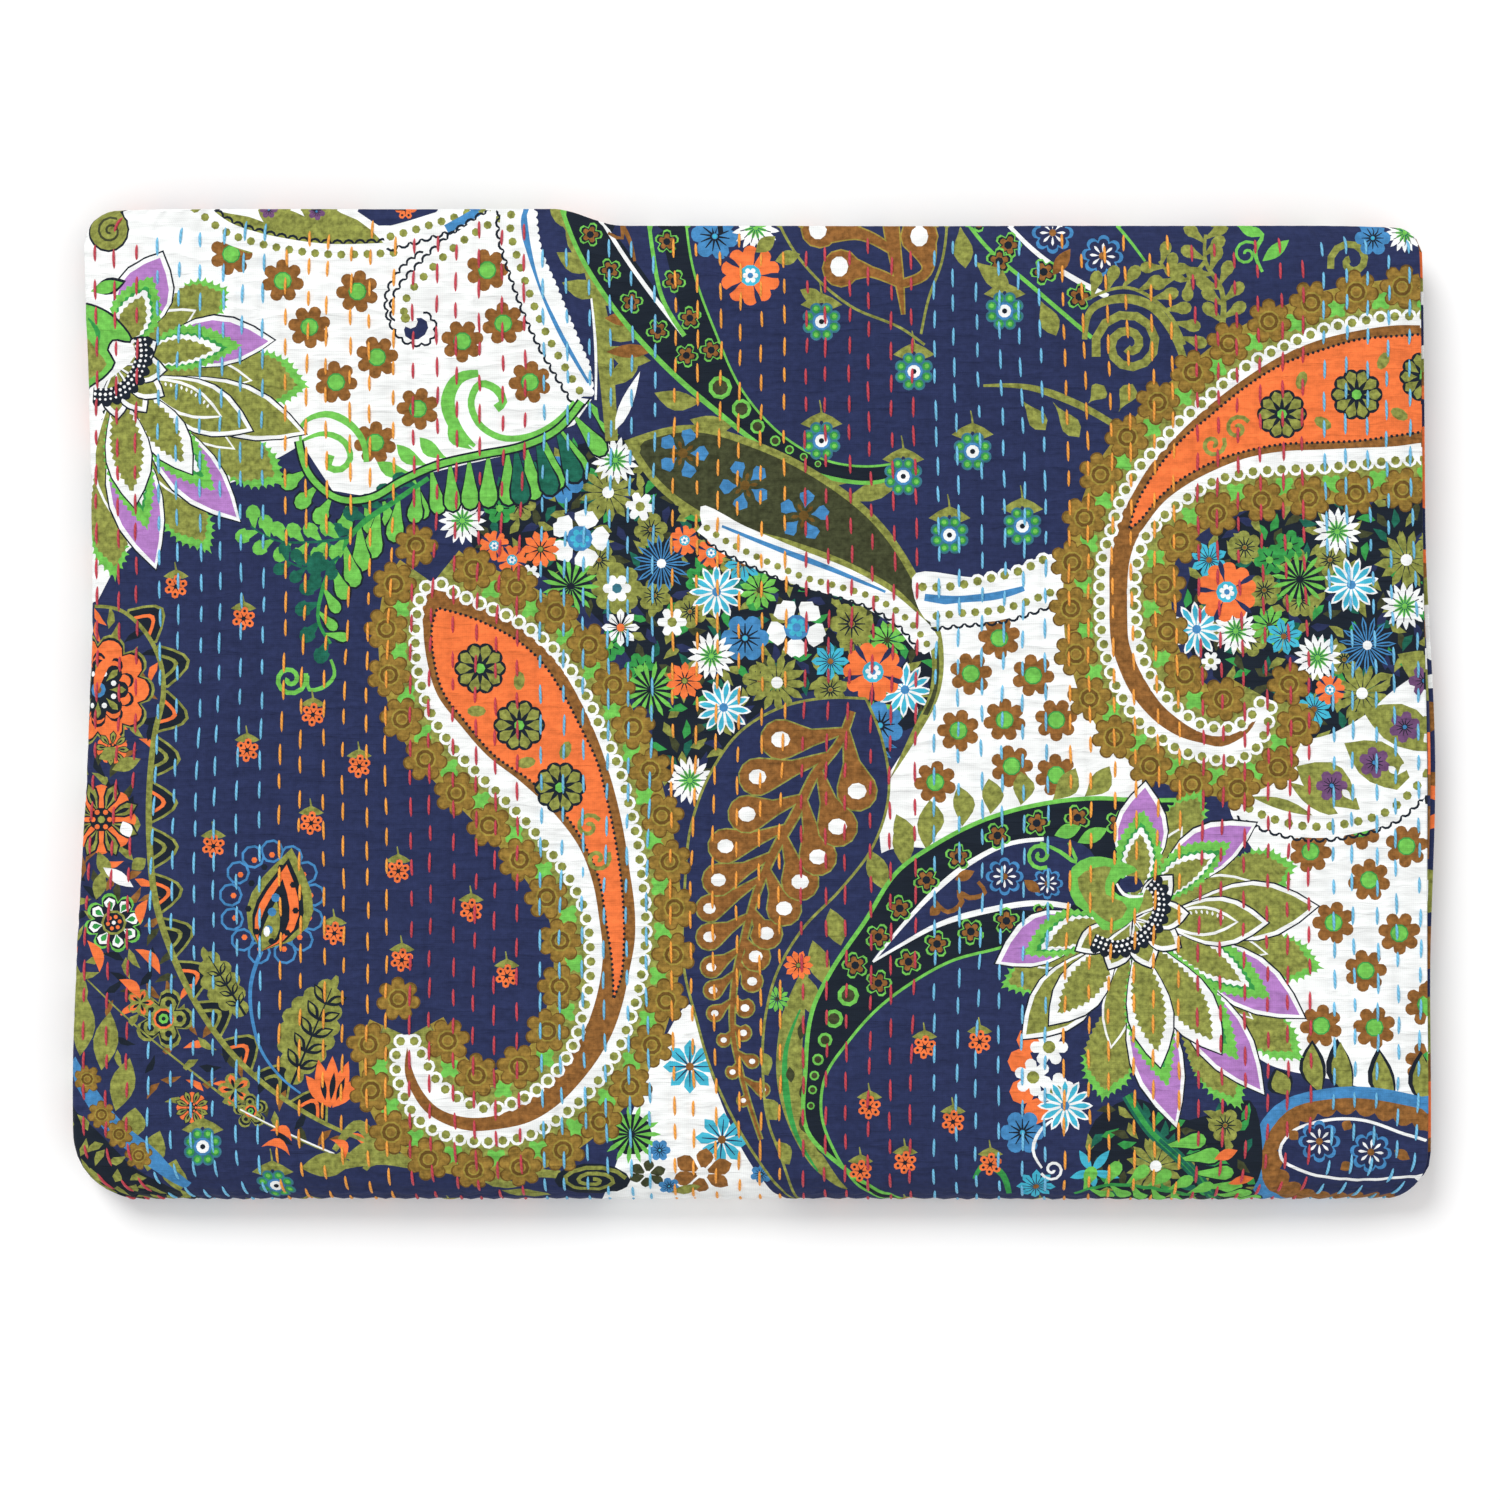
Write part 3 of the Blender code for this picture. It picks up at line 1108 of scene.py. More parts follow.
    WHITE_SMALL = (
        Layer(Form.LOBES, Ink.WHITE, 1.0, 6, 0.42),
        Layer(Form.DISC, Ink.OLIVE, 0.34),
    )
    WHITE_ORANGE = (
        Layer(Form.PETALS, Ink.WHITE, 1.0, 8, 0.42, 0.1),
        Layer(Form.SPOKES, Ink.DARK, 0.7, 8, 0.06),
        Layer(Form.DISC, Ink.ORANGE, 0.22),
    )
    GREEN_DAISY = (
        Layer(Form.PETALS, Ink.LIME, 1.0, 11, 0.34, 0.1),
        Layer(Form.DISC, Ink.SHADE, 0.16),
    )
    GREEN_LOBED = (
        Layer(Form.LOBES, Ink.GREEN, 1.0, 6, 0.3),
        Layer(Form.SPOKES, Ink.DARK, 0.6, 6, 0.12),
        Layer(Form.DISC, Ink.LIME, 0.24),
    )
    PURPLE = (
        Layer(Form.LOBES, Ink.PLUM, 1.0, 6, 0.32),
        Layer(Form.SPOKES, Ink.DARK, 0.55, 12, 0.1),
        Layer(Form.DISC, Ink.BLUE, 0.14),
    )
    OUTLINED = (
        Layer(Form.LOBES, Ink.LIME, 1.0, 5, 0.4),
        Layer(Form.LOBES, Ink.DARK, 0.84, 5, 0.42),
        Layer(Form.LOBES, Ink.BROWN, 0.66, 5, 0.45),
        Layer(Form.DISC, Ink.DARK, 0.3),
    )
    BLUE_RIMMED = (
        Layer(Form.LOBES, Ink.BLUE, 1.0, 8, 0.26),
        Layer(Form.LOBES, Ink.NAVY, 0.82, 8, 0.24),
        Layer(Form.PETALS, Ink.WHITE, 0.62, 8, 0.14, 0.16),
        Layer(Form.DISC, Ink.BROWN, 0.18),
    )
    MANDALA = (
        Layer(Form.LOBES, Ink.OLIVE, 1.0, 10, 0.2),
        Layer(Form.LOBES, Ink.DARK, 0.95, 10, 0.2),
        Layer(Form.LOBES, Ink.ORANGE, 0.9, 10, 0.2),
        Layer(Form.LOBES, Ink.DARK, 0.66, 10, 0.3, 0.0, 0.5),
        Layer(Form.LOBES, Ink.ORANGE, 0.6, 10, 0.3, 0.0, 0.5),
        Layer(Form.LOBES, Ink.DARK, 0.54, 8, 0.25),
        Layer(Form.PETALS, Ink.OLIVE, 0.5, 8, 0.12, 0.2),
        Layer(Form.BEADS, Ink.WHITE, 0.3, 8, 0.05, 0.0, 0.5),
        Layer(Form.DISC, Ink.BLUE, 0.14),
        Layer(Form.DISC, Ink.BROWN, 0.07),
    )
    STARRED = (
        Layer(Form.LOBES, Ink.ORANGE, 0.92, 8, 0.3),
        Layer(Form.PETALS, Ink.DARK, 1.06, 8, 0.44, 0.1, 0.5),
        Layer(Form.PETALS, Ink.OLIVE, 1.0, 8, 0.32, 0.2, 0.5),
        Layer(Form.PETALS, Ink.DARK, 0.8, 8, 0.12, 0.3, 0.5),
        Layer(Form.DISC, Ink.DARK, 0.32),
        Layer(Form.BEADS, Ink.ORANGE, 0.22, 6, 0.07),
        Layer(Form.DISC, Ink.OLIVE, 0.1),
    )
    WHITE_RIMMED = (
        Layer(Form.LOBES, Ink.LIME, 1.0, 8, 0.3),
        Layer(Form.LOBES, Ink.DARK, 0.9, 8, 0.3),
        Layer(Form.PETALS, Ink.WHITE, 0.85, 8, 0.4, 0.35),
        Layer(Form.PETALS, Ink.GREEN, 0.74, 8, 0.2, 0.4),
        Layer(Form.DISC, Ink.OLIVE, 0.42),
        Layer(Form.DISC, Ink.DARK, 0.34),
        Layer(Form.BEADS, Ink.ORANGE, 0.2, 6, 0.07),
        Layer(Form.DISC, Ink.WHITE, 0.07),
    )
    KNOTTED = (
        Layer(Form.LOBES, Ink.OLIVE, 1.0, 5, 0.45),
        Layer(Form.LOBES, Ink.DARK, 0.88, 5, 0.45),
        Layer(Form.LOBES, Ink.OLIVE, 0.74, 5, 0.45),
        Layer(Form.BEADS, Ink.DARK, 0.52, 5, 0.12),
        Layer(Form.DISC, Ink.ORANGE, 0.34),
        Layer(Form.DISC, Ink.DARK, 0.27),
        Layer(Form.DISC, Ink.LIME, 0.17),
        Layer(Form.DISC, Ink.DARK, 0.07),
    )
    BLUE_PETALS = (
        Layer(Form.PETALS, Ink.UMBER, 0.5, 5, 0.16, 0.1, 0.5),
        Layer(Form.PETALS, Ink.BLUE, 1.0, 5, 0.62, 0.28),
        Layer(Form.DISC, Ink.UMBER, 0.2),
    )
    TULIP = (
        Layer(Form.LOBES, Ink.OLIVE, 1.0, 5, 0.32),
        Layer(Form.PETALS, Ink.ORANGE, 0.94, 5, 0.42, 0.1),
        Layer(Form.PETALS, Ink.DARK, 0.68, 5, 0.2, 0.0),
        Layer(Form.DISC, Ink.OLIVE, 0.14),
    )


class Placed(NamedTuple):
    """A flower on the cloth."""

    bloom: Bloom
    x: float
    y: float
    radius: float
    turn: float = 0.0


LARGE_DISC = 3.0  # a disc of a larger radius gets more sides
LARGE_BLOOM = 9.0  # a flower of a larger radius gets more points
THINNEST = 0.45  # width of the thinnest line that is drawn


def draw_bloom(canvas: Canvas, flower: Placed) -> None:
    """Paints one flower, layer by layer.

    Args:
        canvas: what it is painted on.
        flower: the flower, with its place and size.
    """
    centre = (flower.x, flower.y)
    for layer in flower.bloom.value:
        reach = layer.reach * flower.radius
        size = layer.size * flower.radius
        turn = flower.turn + (layer.turn * TAU / layer.count if layer.count else 0.0)
        if layer.form is Form.DISC:
            canvas.fill(ring(centre, reach, 10 if reach > LARGE_DISC else 7), layer.ink)
        elif layer.form is Form.LOBES:
            detail = 6 if flower.radius > LARGE_BLOOM else 4
            canvas.fill(blossom(centre, reach, layer.count, layer.size, turn, detail), layer.ink)
        elif layer.form is Form.STAR:
            canvas.fill(star(centre, reach, layer.count, layer.size, turn), layer.ink)
        elif layer.form is Form.SPOKES:
            inner = layer.start * flower.radius
            canvas.spokes(centre, inner, reach, layer.count, max(size, THINNEST), layer.ink, turn)
        elif layer.form is Form.BEADS:
            angle = turn + np.arange(layer.count) * TAU / layer.count
            around = np.column_stack((np.cos(angle), np.sin(angle))) * reach + centre
            canvas.dots(around, size, layer.ink, 7)
        else:
            for petal in range(layer.count):
                way = heading(turn + petal * TAU / layer.count)
                start = np.asarray(centre) + layer.start * flower.radius * way
                end = np.asarray(centre) + reach * way
                canvas.fill(leaf(start, end, size, belly=0.66, steps=4), layer.ink)


def scatter(canvas: Canvas, bloom: Bloom, radius: float, places: Iterable[Point]) -> None:
    """Paints flowers of one kind, each turned a step further than the one before."""
    for index, (x, y) in enumerate(places):
        draw_bloom(canvas, Placed(bloom, x, y, radius, 0.7 * index))


def hanging_bloom(canvas: Canvas, bloom: Bloom, radius: float, place: Point) -> None:
    """Paints a flower that hangs from a short stem with two leaves.

    Args:
        canvas: what it is painted on.
        bloom: its kind.
        radius: its radius.
        place: its middle.
    """
    x, y = place
    top = y + 1.45 * radius
    for aside, bend in ((-1.05, 0.2), (1.05, -0.2)):
        tip = (x + aside * radius, y + 0.85 * radius)
        canvas.fill(leaf((x, top), tip, 0.6 * radius, 0.5, bend, 4), Ink.OLIVE)
    stem = Curve.through(((x, y + radius), (x, top), (x - 0.1 * radius, top + 0.6 * radius)))
    canvas.line(stem, (1.6, 0.6), Ink.OLIVE)
    draw_bloom(canvas, Placed(bloom, x, y, radius, 0.4))


class PetalKind(Enum):
    """The kinds of petal of the large lotus flowers."""

    TIPPED = "purple tip, green brushwork and an olive heart"
    TOOTHED = "olive with a green edge of small teeth"
    PLAIN = "olive in a white line"
    VEINED = "olive with white lines inside"
    HEARTED = "white with a brushed olive heart"


class Petal(NamedTuple):
    """A petal of a lotus: its point, its width, and how far it bends to the left."""

    kind: PetalKind
    x: float
    y: float
    width: float
    bend: float = 0.0


@dataclass(frozen=True)
class Lotus:
    """A large flower seen from the side, with its petals from the back to the front."""

    heart: Point
    petals: tuple[Petal, ...]
    outline: float = 2.1  # width of the white line round a petal
    shadow: float = 0.8  # width of the dark line outside that
    tooth: float = 4.4
    root: float = 0.12  # where a petal starts, as a share of the way from the heart

    def draw(self, canvas: Canvas) -> None:
        """Paints all the petals.

        Args:
            canvas: what it is painted on.
        """
        for petal in self.petals:
            if petal.kind is PetalKind.TOOTHED:
                self.toothed(canvas, petal)
                continue
            canvas.fill(self.blade(petal, 1.0, 1.0, self.outline + self.shadow), Ink.DARK)
            canvas.fill(self.blade(petal, 1.0, 1.0, self.outline), Ink.WHITE)
            if petal.kind is PetalKind.HEARTED:
                canvas.fill(self.brushed(self.blade(petal, 0.92, 0.8), 1.3), Ink.OLIVE)
            elif petal.kind is PetalKind.TIPPED:
                self.tipped(canvas, petal)
            else:
                canvas.fill(self.blade(petal, 1.0, 1.0), Ink.OLIVE)
            if petal.kind is PetalKind.VEINED:
                self.veined(canvas, petal)

    def blade(
        self, petal: Petal, reach: float, width: float, grow: float = 0.0, belly: float = 0.6
    ) -> np.ndarray:
        """A leaf form inside a petal.

        Args:
            petal: the petal.
            reach: how far it goes, as a share of the petal's length.
            width: its width as a share of the petal's.
            grow: millimetres added all round.
            belly: the share of its length at which it is widest.

        Returns:
            The outline's points.
        """
        heart, tip = np.array(self.heart), np.array((petal.x, petal.y))
        along = tip - heart
        unit = along / np.linalg.norm(along)
        start = heart + self.root * along - grow * unit
        end = heart + (self.root + (1.0 - self.root) * reach) * along + 1.6 * grow * unit
        return leaf(start, end, width * petal.width + 2 * grow, belly, petal.bend, 8)

    def closed(self, outline: np.ndarray) -> Curve:
        """An outline as a line that ends where it starts."""
        return Curve(np.vstack((outline, outline[:1])))

    def brushed(self, outline: np.ndarray, amount: float) -> np.ndarray:
        """The outline with a ragged edge, as a dry brush leaves it.

        Args:
            outline: the plain outline.
            amount: how far the strokes stand out.

        Returns:
            The outline's points.
        """
        curve, stroke = self.closed(outline), 1.9
        distances = np.linspace(0.0, curve.length, max(int(curve.length / stroke), 8))[:-1]
        ragged = amount * np.where(np.arange(len(distances)) % 2, 1.0, -0.3)
        return curve.at(distances) + left_of(curve.heading_at(distances)) * ragged[:, None]

    def tipped(self, canvas: Canvas, petal: Petal) -> None:
        """Paints a petal's purple tip, its green brushwork and the ragged white line round its heart.

        Args:
            canvas: what it is painted on.
            petal: the petal.
        """
        canvas.fill(self.blade(petal, 1.0, 1.0), Ink.PURPLE)
        for reach, width, belly, ragged, ink in (
            (0.8, 0.98, 0.52, 1.3, Ink.LIME),
            (0.7, 0.72, 0.54, 0.9, Ink.GREEN),
            (0.66, 0.66, 0.56, 0.9, Ink.WHITE),
            (0.6, 0.52, 0.56, 0.8, Ink.OLIVE),
        ):
            canvas.fill(self.brushed(self.blade(petal, reach, width, belly=belly), ragged), ink)

    def toothed(self, canvas: Canvas, petal: Petal) -> None:
        """Paints a petal with small round teeth along its edge.

        Args:
            canvas: what it is painted on.
            petal: the petal.
        """
        plain = self.closed(self.blade(petal, 0.96, 0.9, belly=0.76))
        for height, ink in ((-3.8, Ink.DARK), (-2.6, Ink.LIME)):
            canvas.fill(scalloped(plain, self.tooth, height).points, ink)
        canvas.fill(self.brushed(self.blade(petal, 0.88, 0.76, belly=0.76), 1.1), Ink.OLIVE)
        canvas.fill(self.blade(petal, 0.62, 0.42, 1.2), Ink.WHITE)
        canvas.fill(self.blade(petal, 0.62, 0.42), Ink.OLIVE)

    def veined(self, canvas: Canvas, petal: Petal) -> None:
        """Paints a white leaf line and short white strokes inside a petal.

        Args:
            canvas: what it is painted on.
            petal: the petal.
        """
        inner = self.blade(petal, 0.78, 0.66)
        canvas.line(self.closed(inner), 1.6, Ink.WHITE)
        edge = Curve(inner[1:8]).aside(-1.9)
        places = edge.spaced(3.2)
        for place, way in zip(edge.at(places), edge.heading_at(places)):
            across = np.array((way[1], -way[0]))
            tip = place + 1.8 * across + 0.8 * way
            canvas.fill(leaf(place - 0.6 * across, tip, 1.4, 0.5, steps=3), Ink.WHITE)


@dataclass(frozen=True)
class Garland:
    """Round flowers side by side along a chain of beads, on a gold ground with green and blue between."""

    chain: Curve
    side: int  # 1 where the flowers stand to the left of the chain's heading
    radius: float = 12.4
    stand_off: float = 16.6
    pitch: float = 26.2

    def draw(self, canvas: Canvas) -> None:
        """Paints the ground first and then the flowers.

        Args:
            canvas: what it is painted on.
        """
        middle = self.chain.aside(self.side * self.stand_off)
        near = self.chain.aside(self.side * 0.3 * self.stand_off)
        canvas.line(near, 0.85 * self.stand_off, Ink.OLIVE)
        canvas.line(middle, 0.7 * self.radius, Ink.GOLD)
        places = middle.spaced(self.pitch)
        gaps = places[:-1] + np.diff(places) / 2
        left = left_of(middle.heading_at(gaps))
        for x, y in middle.at(gaps) - left * self.side * 0.55 * self.radius:
            canvas.fill(star((x, y), 0.52 * self.radius, 4, 0.55, 0.8), Ink.LIME)
        for index, (x, y) in enumerate(middle.at(places)):
            draw_bloom(canvas, Placed(Bloom.ROUND, x, y, self.radius, 0.4 * index))


@dataclass(frozen=True)
class BandedPaisley:
    """A long orange paisley in brown and white bands, between two chains of beads."""

    right_chain: tuple[Point, ...]
    left_chain: tuple[Point, ...]
    brown: tuple[tuple[Point, ...], tuple[Point, ...]]  # the brown band's two edges
    orange: tuple[tuple[Point, ...], tuple[Point, ...]]
    rosettes: tuple[Placed, ...]

    def draw(self, canvas: Canvas) -> None:
        """Paints the garlands, the bands, the orange and what is on it.

        Args:
            canvas: what it is painted on.
        """
        right, left = Curve.through(self.right_chain), Curve.through(self.left_chain)
        Garland(right, -1).draw(canvas)
        Garland(left, 1).draw(canvas)
        canvas.fill(between(right, left), Ink.WHITE)
        for edges, ink in ((self.brown, Ink.BROWN), (self.orange, Ink.ORANGE)):
            canvas.fill(between(*map(Curve.through, edges)), ink)
        for edge in map(Curve.through, self.orange):
            canvas.dots(edge.at(edge.spaced(3.0)), 1.0, Ink.DARK, 5)
        canvas.beads(right)
        canvas.beads(left)
        for rosette in self.rosettes:
            draw_bloom(canvas, rosette)


@dataclass(frozen=True)
class FernPaisley:
    """A navy paisley with a brown fern inside, whose leaves end in white drops."""

    left: tuple[Point, ...]
    right: tuple[Point, ...]
    stem: tuple[Point, ...]
    drops: tuple[tuple[float, float, float], ...]  # x, y and radius of a leaf's round end

    def draw(self, canvas: Canvas) -> None:
        """Paints the ground, its olive line, the fern and the drops.

        Args:
            canvas: what it is painted on.
        """
        left, right = Curve.through(self.left), Curve.through(self.right)
        canvas.fill(between(left, right), Ink.NAVY)
        stem = Curve.through(self.stem)
        canvas.line(stem, (5.0, 6.6, 5.2, 4.2, 3.0), Ink.OLIVE)
        for x, y, radius in sorted(self.drops, key=lambda drop: drop[1]):
            for ink, grow in ((Ink.OLIVE, 0.8), (Ink.BROWN, 0.0)):
                canvas.fill(self.frond(stem, x, y, radius, grow), ink)
            canvas.fill(ring((x, y), 0.64 * radius, 9, 0.86), Ink.WHITE)
        canvas.line(stem, (3.5, 4.6, 3.2, 2.4, 1.4), Ink.BROWN)
        canvas.line(left, 1.5, Ink.OLIVE)
        canvas.line(right, 1.5, Ink.OLIVE)

    def frond(self, stem: Curve, x: float, y: float, radius: float, grow: float) -> np.ndarray:
        """A leaf that leaves the stem farther up and swells to a round end.

        Args:
            stem: the fern's stem.
            x: the round end's place across.
            y: its place along.
            radius: the size of that end.
            grow: millimetres added all round.

        Returns:
            The outline's points.
        """
        away = np.hypot(stem.points[:, 0] - x, stem.points[:, 1] - y)
        root_at = max(stem.travelled[int(np.argmin(away))] - float(away.min()), 0.0)
        root = stem.at(np.array((root_at,)))[0]
        end = np.array((x, y))
        way = (end - root) / max(float(np.linalg.norm(end - root)), 1e-6)
        aside = np.array((-way[1], way[0]))
        half_cap = 0.62 * math.pi
        around = math.atan2(way[1], way[0]) + np.linspace(-half_cap, half_cap, 9)
        cap = np.column_stack((np.cos(around), np.sin(around))) * (radius * 1.3 + grow) + end
        neck, sag = root + 0.5 * (end - root), np.array((0.0, -0.16 * radius))
        wide, thin = (0.5 * radius + grow) * aside, (0.16 * radius + grow) * aside
        return np.vstack((root - thin, neck - wide + sag, cap, neck + wide + sag, root + thin))


@dataclass(frozen=True)
class Vine:
    """A stem with leaves along one side or both."""

    places: tuple[Point, ...]
    stem: Ink = Ink.GREEN
    leaves: Ink = Ink.LIME
    width: tuple[float, ...] = (1.4, 2.4, 1.4)
    pitch: float = 9.0
    size: Point = (13.0, 5.5)  # length and width of a leaf
    sides: tuple[int, ...] = (1, -1)
    lean: float = 0.9  # how far a leaf turns away from the stem, in radians
    shadow: Ink | None = None
    grow: tuple[float, ...] = (1.0,)

    def draw(self, canvas: Canvas) -> None:
        """Paints the leaves and then the stem.

        Args:
            canvas: what it is painted on.
        """
        stem = Curve.through(self.places)
        length, width = self.size
        for side in self.sides:
            distances = stem.spaced(self.pitch) + (0.25 * self.pitch if side < 0 else 0.0)
            distances = distances[distances < stem.length]
            shares = np.interp(distances / stem.length, np.linspace(0, 1, len(self.grow)), self.grow)
            for root, way, share in zip(stem.at(distances), stem.heading_at(distances), shares):
                angle = math.atan2(way[1], way[0]) + side * self.lean
                tip = root + share * length * heading(angle)
                if self.shadow is not None:
                    canvas.fill(club(root, tip + 0.05 * (tip - root), share * width + 2.4), self.shadow)
                canvas.fill(club(root, tip, share * width), self.leaves)
        canvas.line(stem, self.width, self.stem)


# --------------------------------------------------------------------------------------------------
# Where the motifs lie on the cloth
# --------------------------------------------------------------------------------------------------

FAR = 420.0  # beyond every edge of the packet's top


@dataclass
class KanthaPrint:
    """The print of the packet's top: x and y from its middle, on a navy ground."""

    canvas: Canvas

    def draw(self) -> None:
        """Paints the areas from the ones that lie at the back to the ones in front."""
        self.grounds()
        self.flower_fields()
        self.top_left()
        self.top_middle()
        self.garden()
        self.left_border()
        self.bottom()
        self.green_band()
        self.right_side()
        self.hanging()
        self.paisleys()
        self.lotuses()

    def area(self, places: Places, ink: Ink) -> None:
        """Paints an area with a smooth closed outline."""
        self.canvas.fill(Curve.through(places, 6.0, closed=True).points, ink)

    def path(self, places: Places, widths: float | Sequence[float], ink: Ink) -> None:
        """Paints a smooth line through the places."""
        self.canvas.line(Curve.through(places), widths, ink)

    def leaves(
        self,
        ink: Ink,
        width: float,
        ends: Sequence[tuple[float, float, float, float]],
        belly: float = 0.5,
        bend: float = 0.0,
    ) -> None:
        """Paints leaves that are given as the x and y of their base and tip."""
        for x, y, tip_x, tip_y in ends:
            self.canvas.fill(leaf((x, y), (tip_x, tip_y), width, belly, bend), ink)

    def vine(self, places: Places, *form: object, **more: object) -> None:
        """Paints a vine through the places, whose form is given as Vine takes it."""
        Vine(places, *form, **more).draw(self.canvas)

    def rings(self, core: float, discs: Sequence[tuple[float, float, float]]) -> None:
        """Paints green discs, given as x, y and radius, with dark cores of a share of their radius.

        Args:
            core: the cores' share.
            discs: the discs.
        """
        for x, y, radius in discs:
            self.canvas.fill(ring((x, y), radius), Ink.LIME)
            self.canvas.fill(ring((x, y), core * radius), Ink.SHADE)

    def bloom(self, bloom: Bloom, x: float, y: float, radius: float) -> None:
        """Paints one upright flower."""
        draw_bloom(self.canvas, Placed(bloom, x, y, radius))

    def strip(self, places: Places, side: int, radius: float = 3.9) -> None:
        """Paints a white line of beads with small dark scallops on one side.

        Args:
            places: the places that it runs through.
            side: 1 for scallops on its left, -1 on its right.
            radius: radius of a bead.
        """
        chain, pitch, height = Curve.through(places), 6.4, 2.2
        edge = scalloped(chain.aside(side * 1.5 * radius), pitch, side * height)
        self.canvas.line(edge, 1.4, Ink.DARK)
        self.canvas.line(chain, 3.0 * radius, Ink.WHITE)
        self.canvas.beads(chain, radius)

    def grounds(self) -> None:
        """Paints the white fields."""
        self.canvas.fill(
            np.array((
                (-FAR, FAR), (-75, 295), (-84, 182), (-101, 157), (-143, 139), (-182, 130), (-213, 116),
                (-237, 120), (-254, 146), (-289, 126), (-323, 115), (-357, 81), (-369, 58), (-FAR, 50.0),
            )),
            Ink.WHITE,
        )
        self.area((
            (89, 64), (133, 55), (172, 64), (195, 2), (223, -48), (172, -54), (116, -71), (78, -99),
            (71, -54), (99, 2),
        ), Ink.WHITE)
        self.area((
            (268, -54), (335, -48), (391, -20), (420, -110), (397, -223), (324, -211), (285, -200),
            (296, -110),
        ), Ink.WHITE)
        self.area((
            (-36, -169), (-27, -200), (-11, -242), (20, -301), (-87, -301), (-75, -251), (-56, -200),
        ), Ink.WHITE)

    def flower_fields(self) -> None:
        """Paints the small flowers that cover the middle and the right."""
        mixed = (Ink.OLIVE, Ink.FOREST, Ink.SHADE, Ink.GREEN, Ink.OLIVE, Ink.NAVY)
        self.thicket((
            (-154, 115), (-132, 132), (-87, 148), (-64, 148), (-30, 103), (20, 81), (65, 67), (96, 36),
            (102, 8), (85, -15), (71, -9), (63, 8), (37, 8), (9, -1), (-13, -20), (-36, -48), (-53, -43),
            (-58, 2), (-87, 47), (-120, 73), (-160, 92),
        ), Ink.DARK, mixed)
        self.thicket((
            (249, 81), (259, 95), (285, 112), (330, 115), (403, 120), (403, 2), (363, -20), (324, -31),
            (290, -43), (285, -9), (268, 8), (248, 25),
        ), Ink.DARK, mixed)
        for flower in FIELD_FLOWERS:
            draw_bloom(self.canvas, flower)
        scatter(self.canvas, Bloom.BROWN, 12.1, BROWN_FLOWERS)

    def hanging(self) -> None:
        """Paints the flowers that hang on the navy ground."""
        for place in HANGING_SPRIGS:
            hanging_bloom(self.canvas, Bloom.SPRIG, 6.75, place)
        for place in HANGING_BEADED:
            hanging_bloom(self.canvas, Bloom.BEADED, 11.2, place)

    def thicket(
        self, places: Places, ground: Ink, inks: Sequence[Ink], pitch: float = 8.6,
        size: Point = (11.0, 5.0),
    ) -> None:
        """Fills an area with small leaves that lie close together in every direction.

        Args:
            places: the area's outline.
            ground: the ink between the leaves.
            inks: the inks of the leaves, which take turns.
            pitch: the mean distance from leaf to leaf.
            size: length and width of a leaf.
        """
        turn, stride = 2.4, 5  # from leaf to leaf, in radians and in inks
        outline = Curve.through(places, 8.0, closed=True).points
        self.canvas.fill(outline, ground)
        low, high = outline.min(0), outline.max(0)
        across, along = np.meshgrid(np.arange(low[0], high[0], pitch), np.arange(low[1], high[1], pitch))
        spots = np.column_stack((across.ravel(), along.ravel()))
        spots = spots + 0.45 * pitch * np.column_stack((noise(*spots.T, 3), noise(*spots.T, 4)))
        for index, spot in enumerate(spots[winds_round(outline, spots)]):
            half = 0.5 * size[0] * heading(turn * index)
            ink = inks[index * stride % len(inks)]
            self.canvas.fill(leaf(spot - half, spot + half, size[1], 0.6, 0.1, 3), ink)

    def paisleys(self) -> None:
        """Paints the two orange paisleys."""
        ORANGE_MIDDLE.draw(self.canvas)
        ORANGE_RIGHT.draw(self.canvas)
        for x, y, turn in (
            (308, 182, 1.3), (320, 158, -0.5), (354, 193, 1.1), (363, 163, -0.5), (-132, 13, 1.5),
            (-156, -4, 0.0), (-128, -33, 0.2), (-106, -26, 1.2),
        ):
            self.canvas.fill(ring((x, y), 5.34, 9, 0.6, turn), Ink.OLIVE)
        for x, y, hand in ((272, 155, 1), (258, 146, -1), (-93, -69, 1), (-88, -87, -1)):
            self.canvas.line(spiral((x, y), 7.31, 1.3, 30.0, hand), 2.4, Ink.OLIVE)
        scatter(self.canvas, Bloom.ROUND, 12.2, ((-190, 89), (-200, -166), (301, 11)))

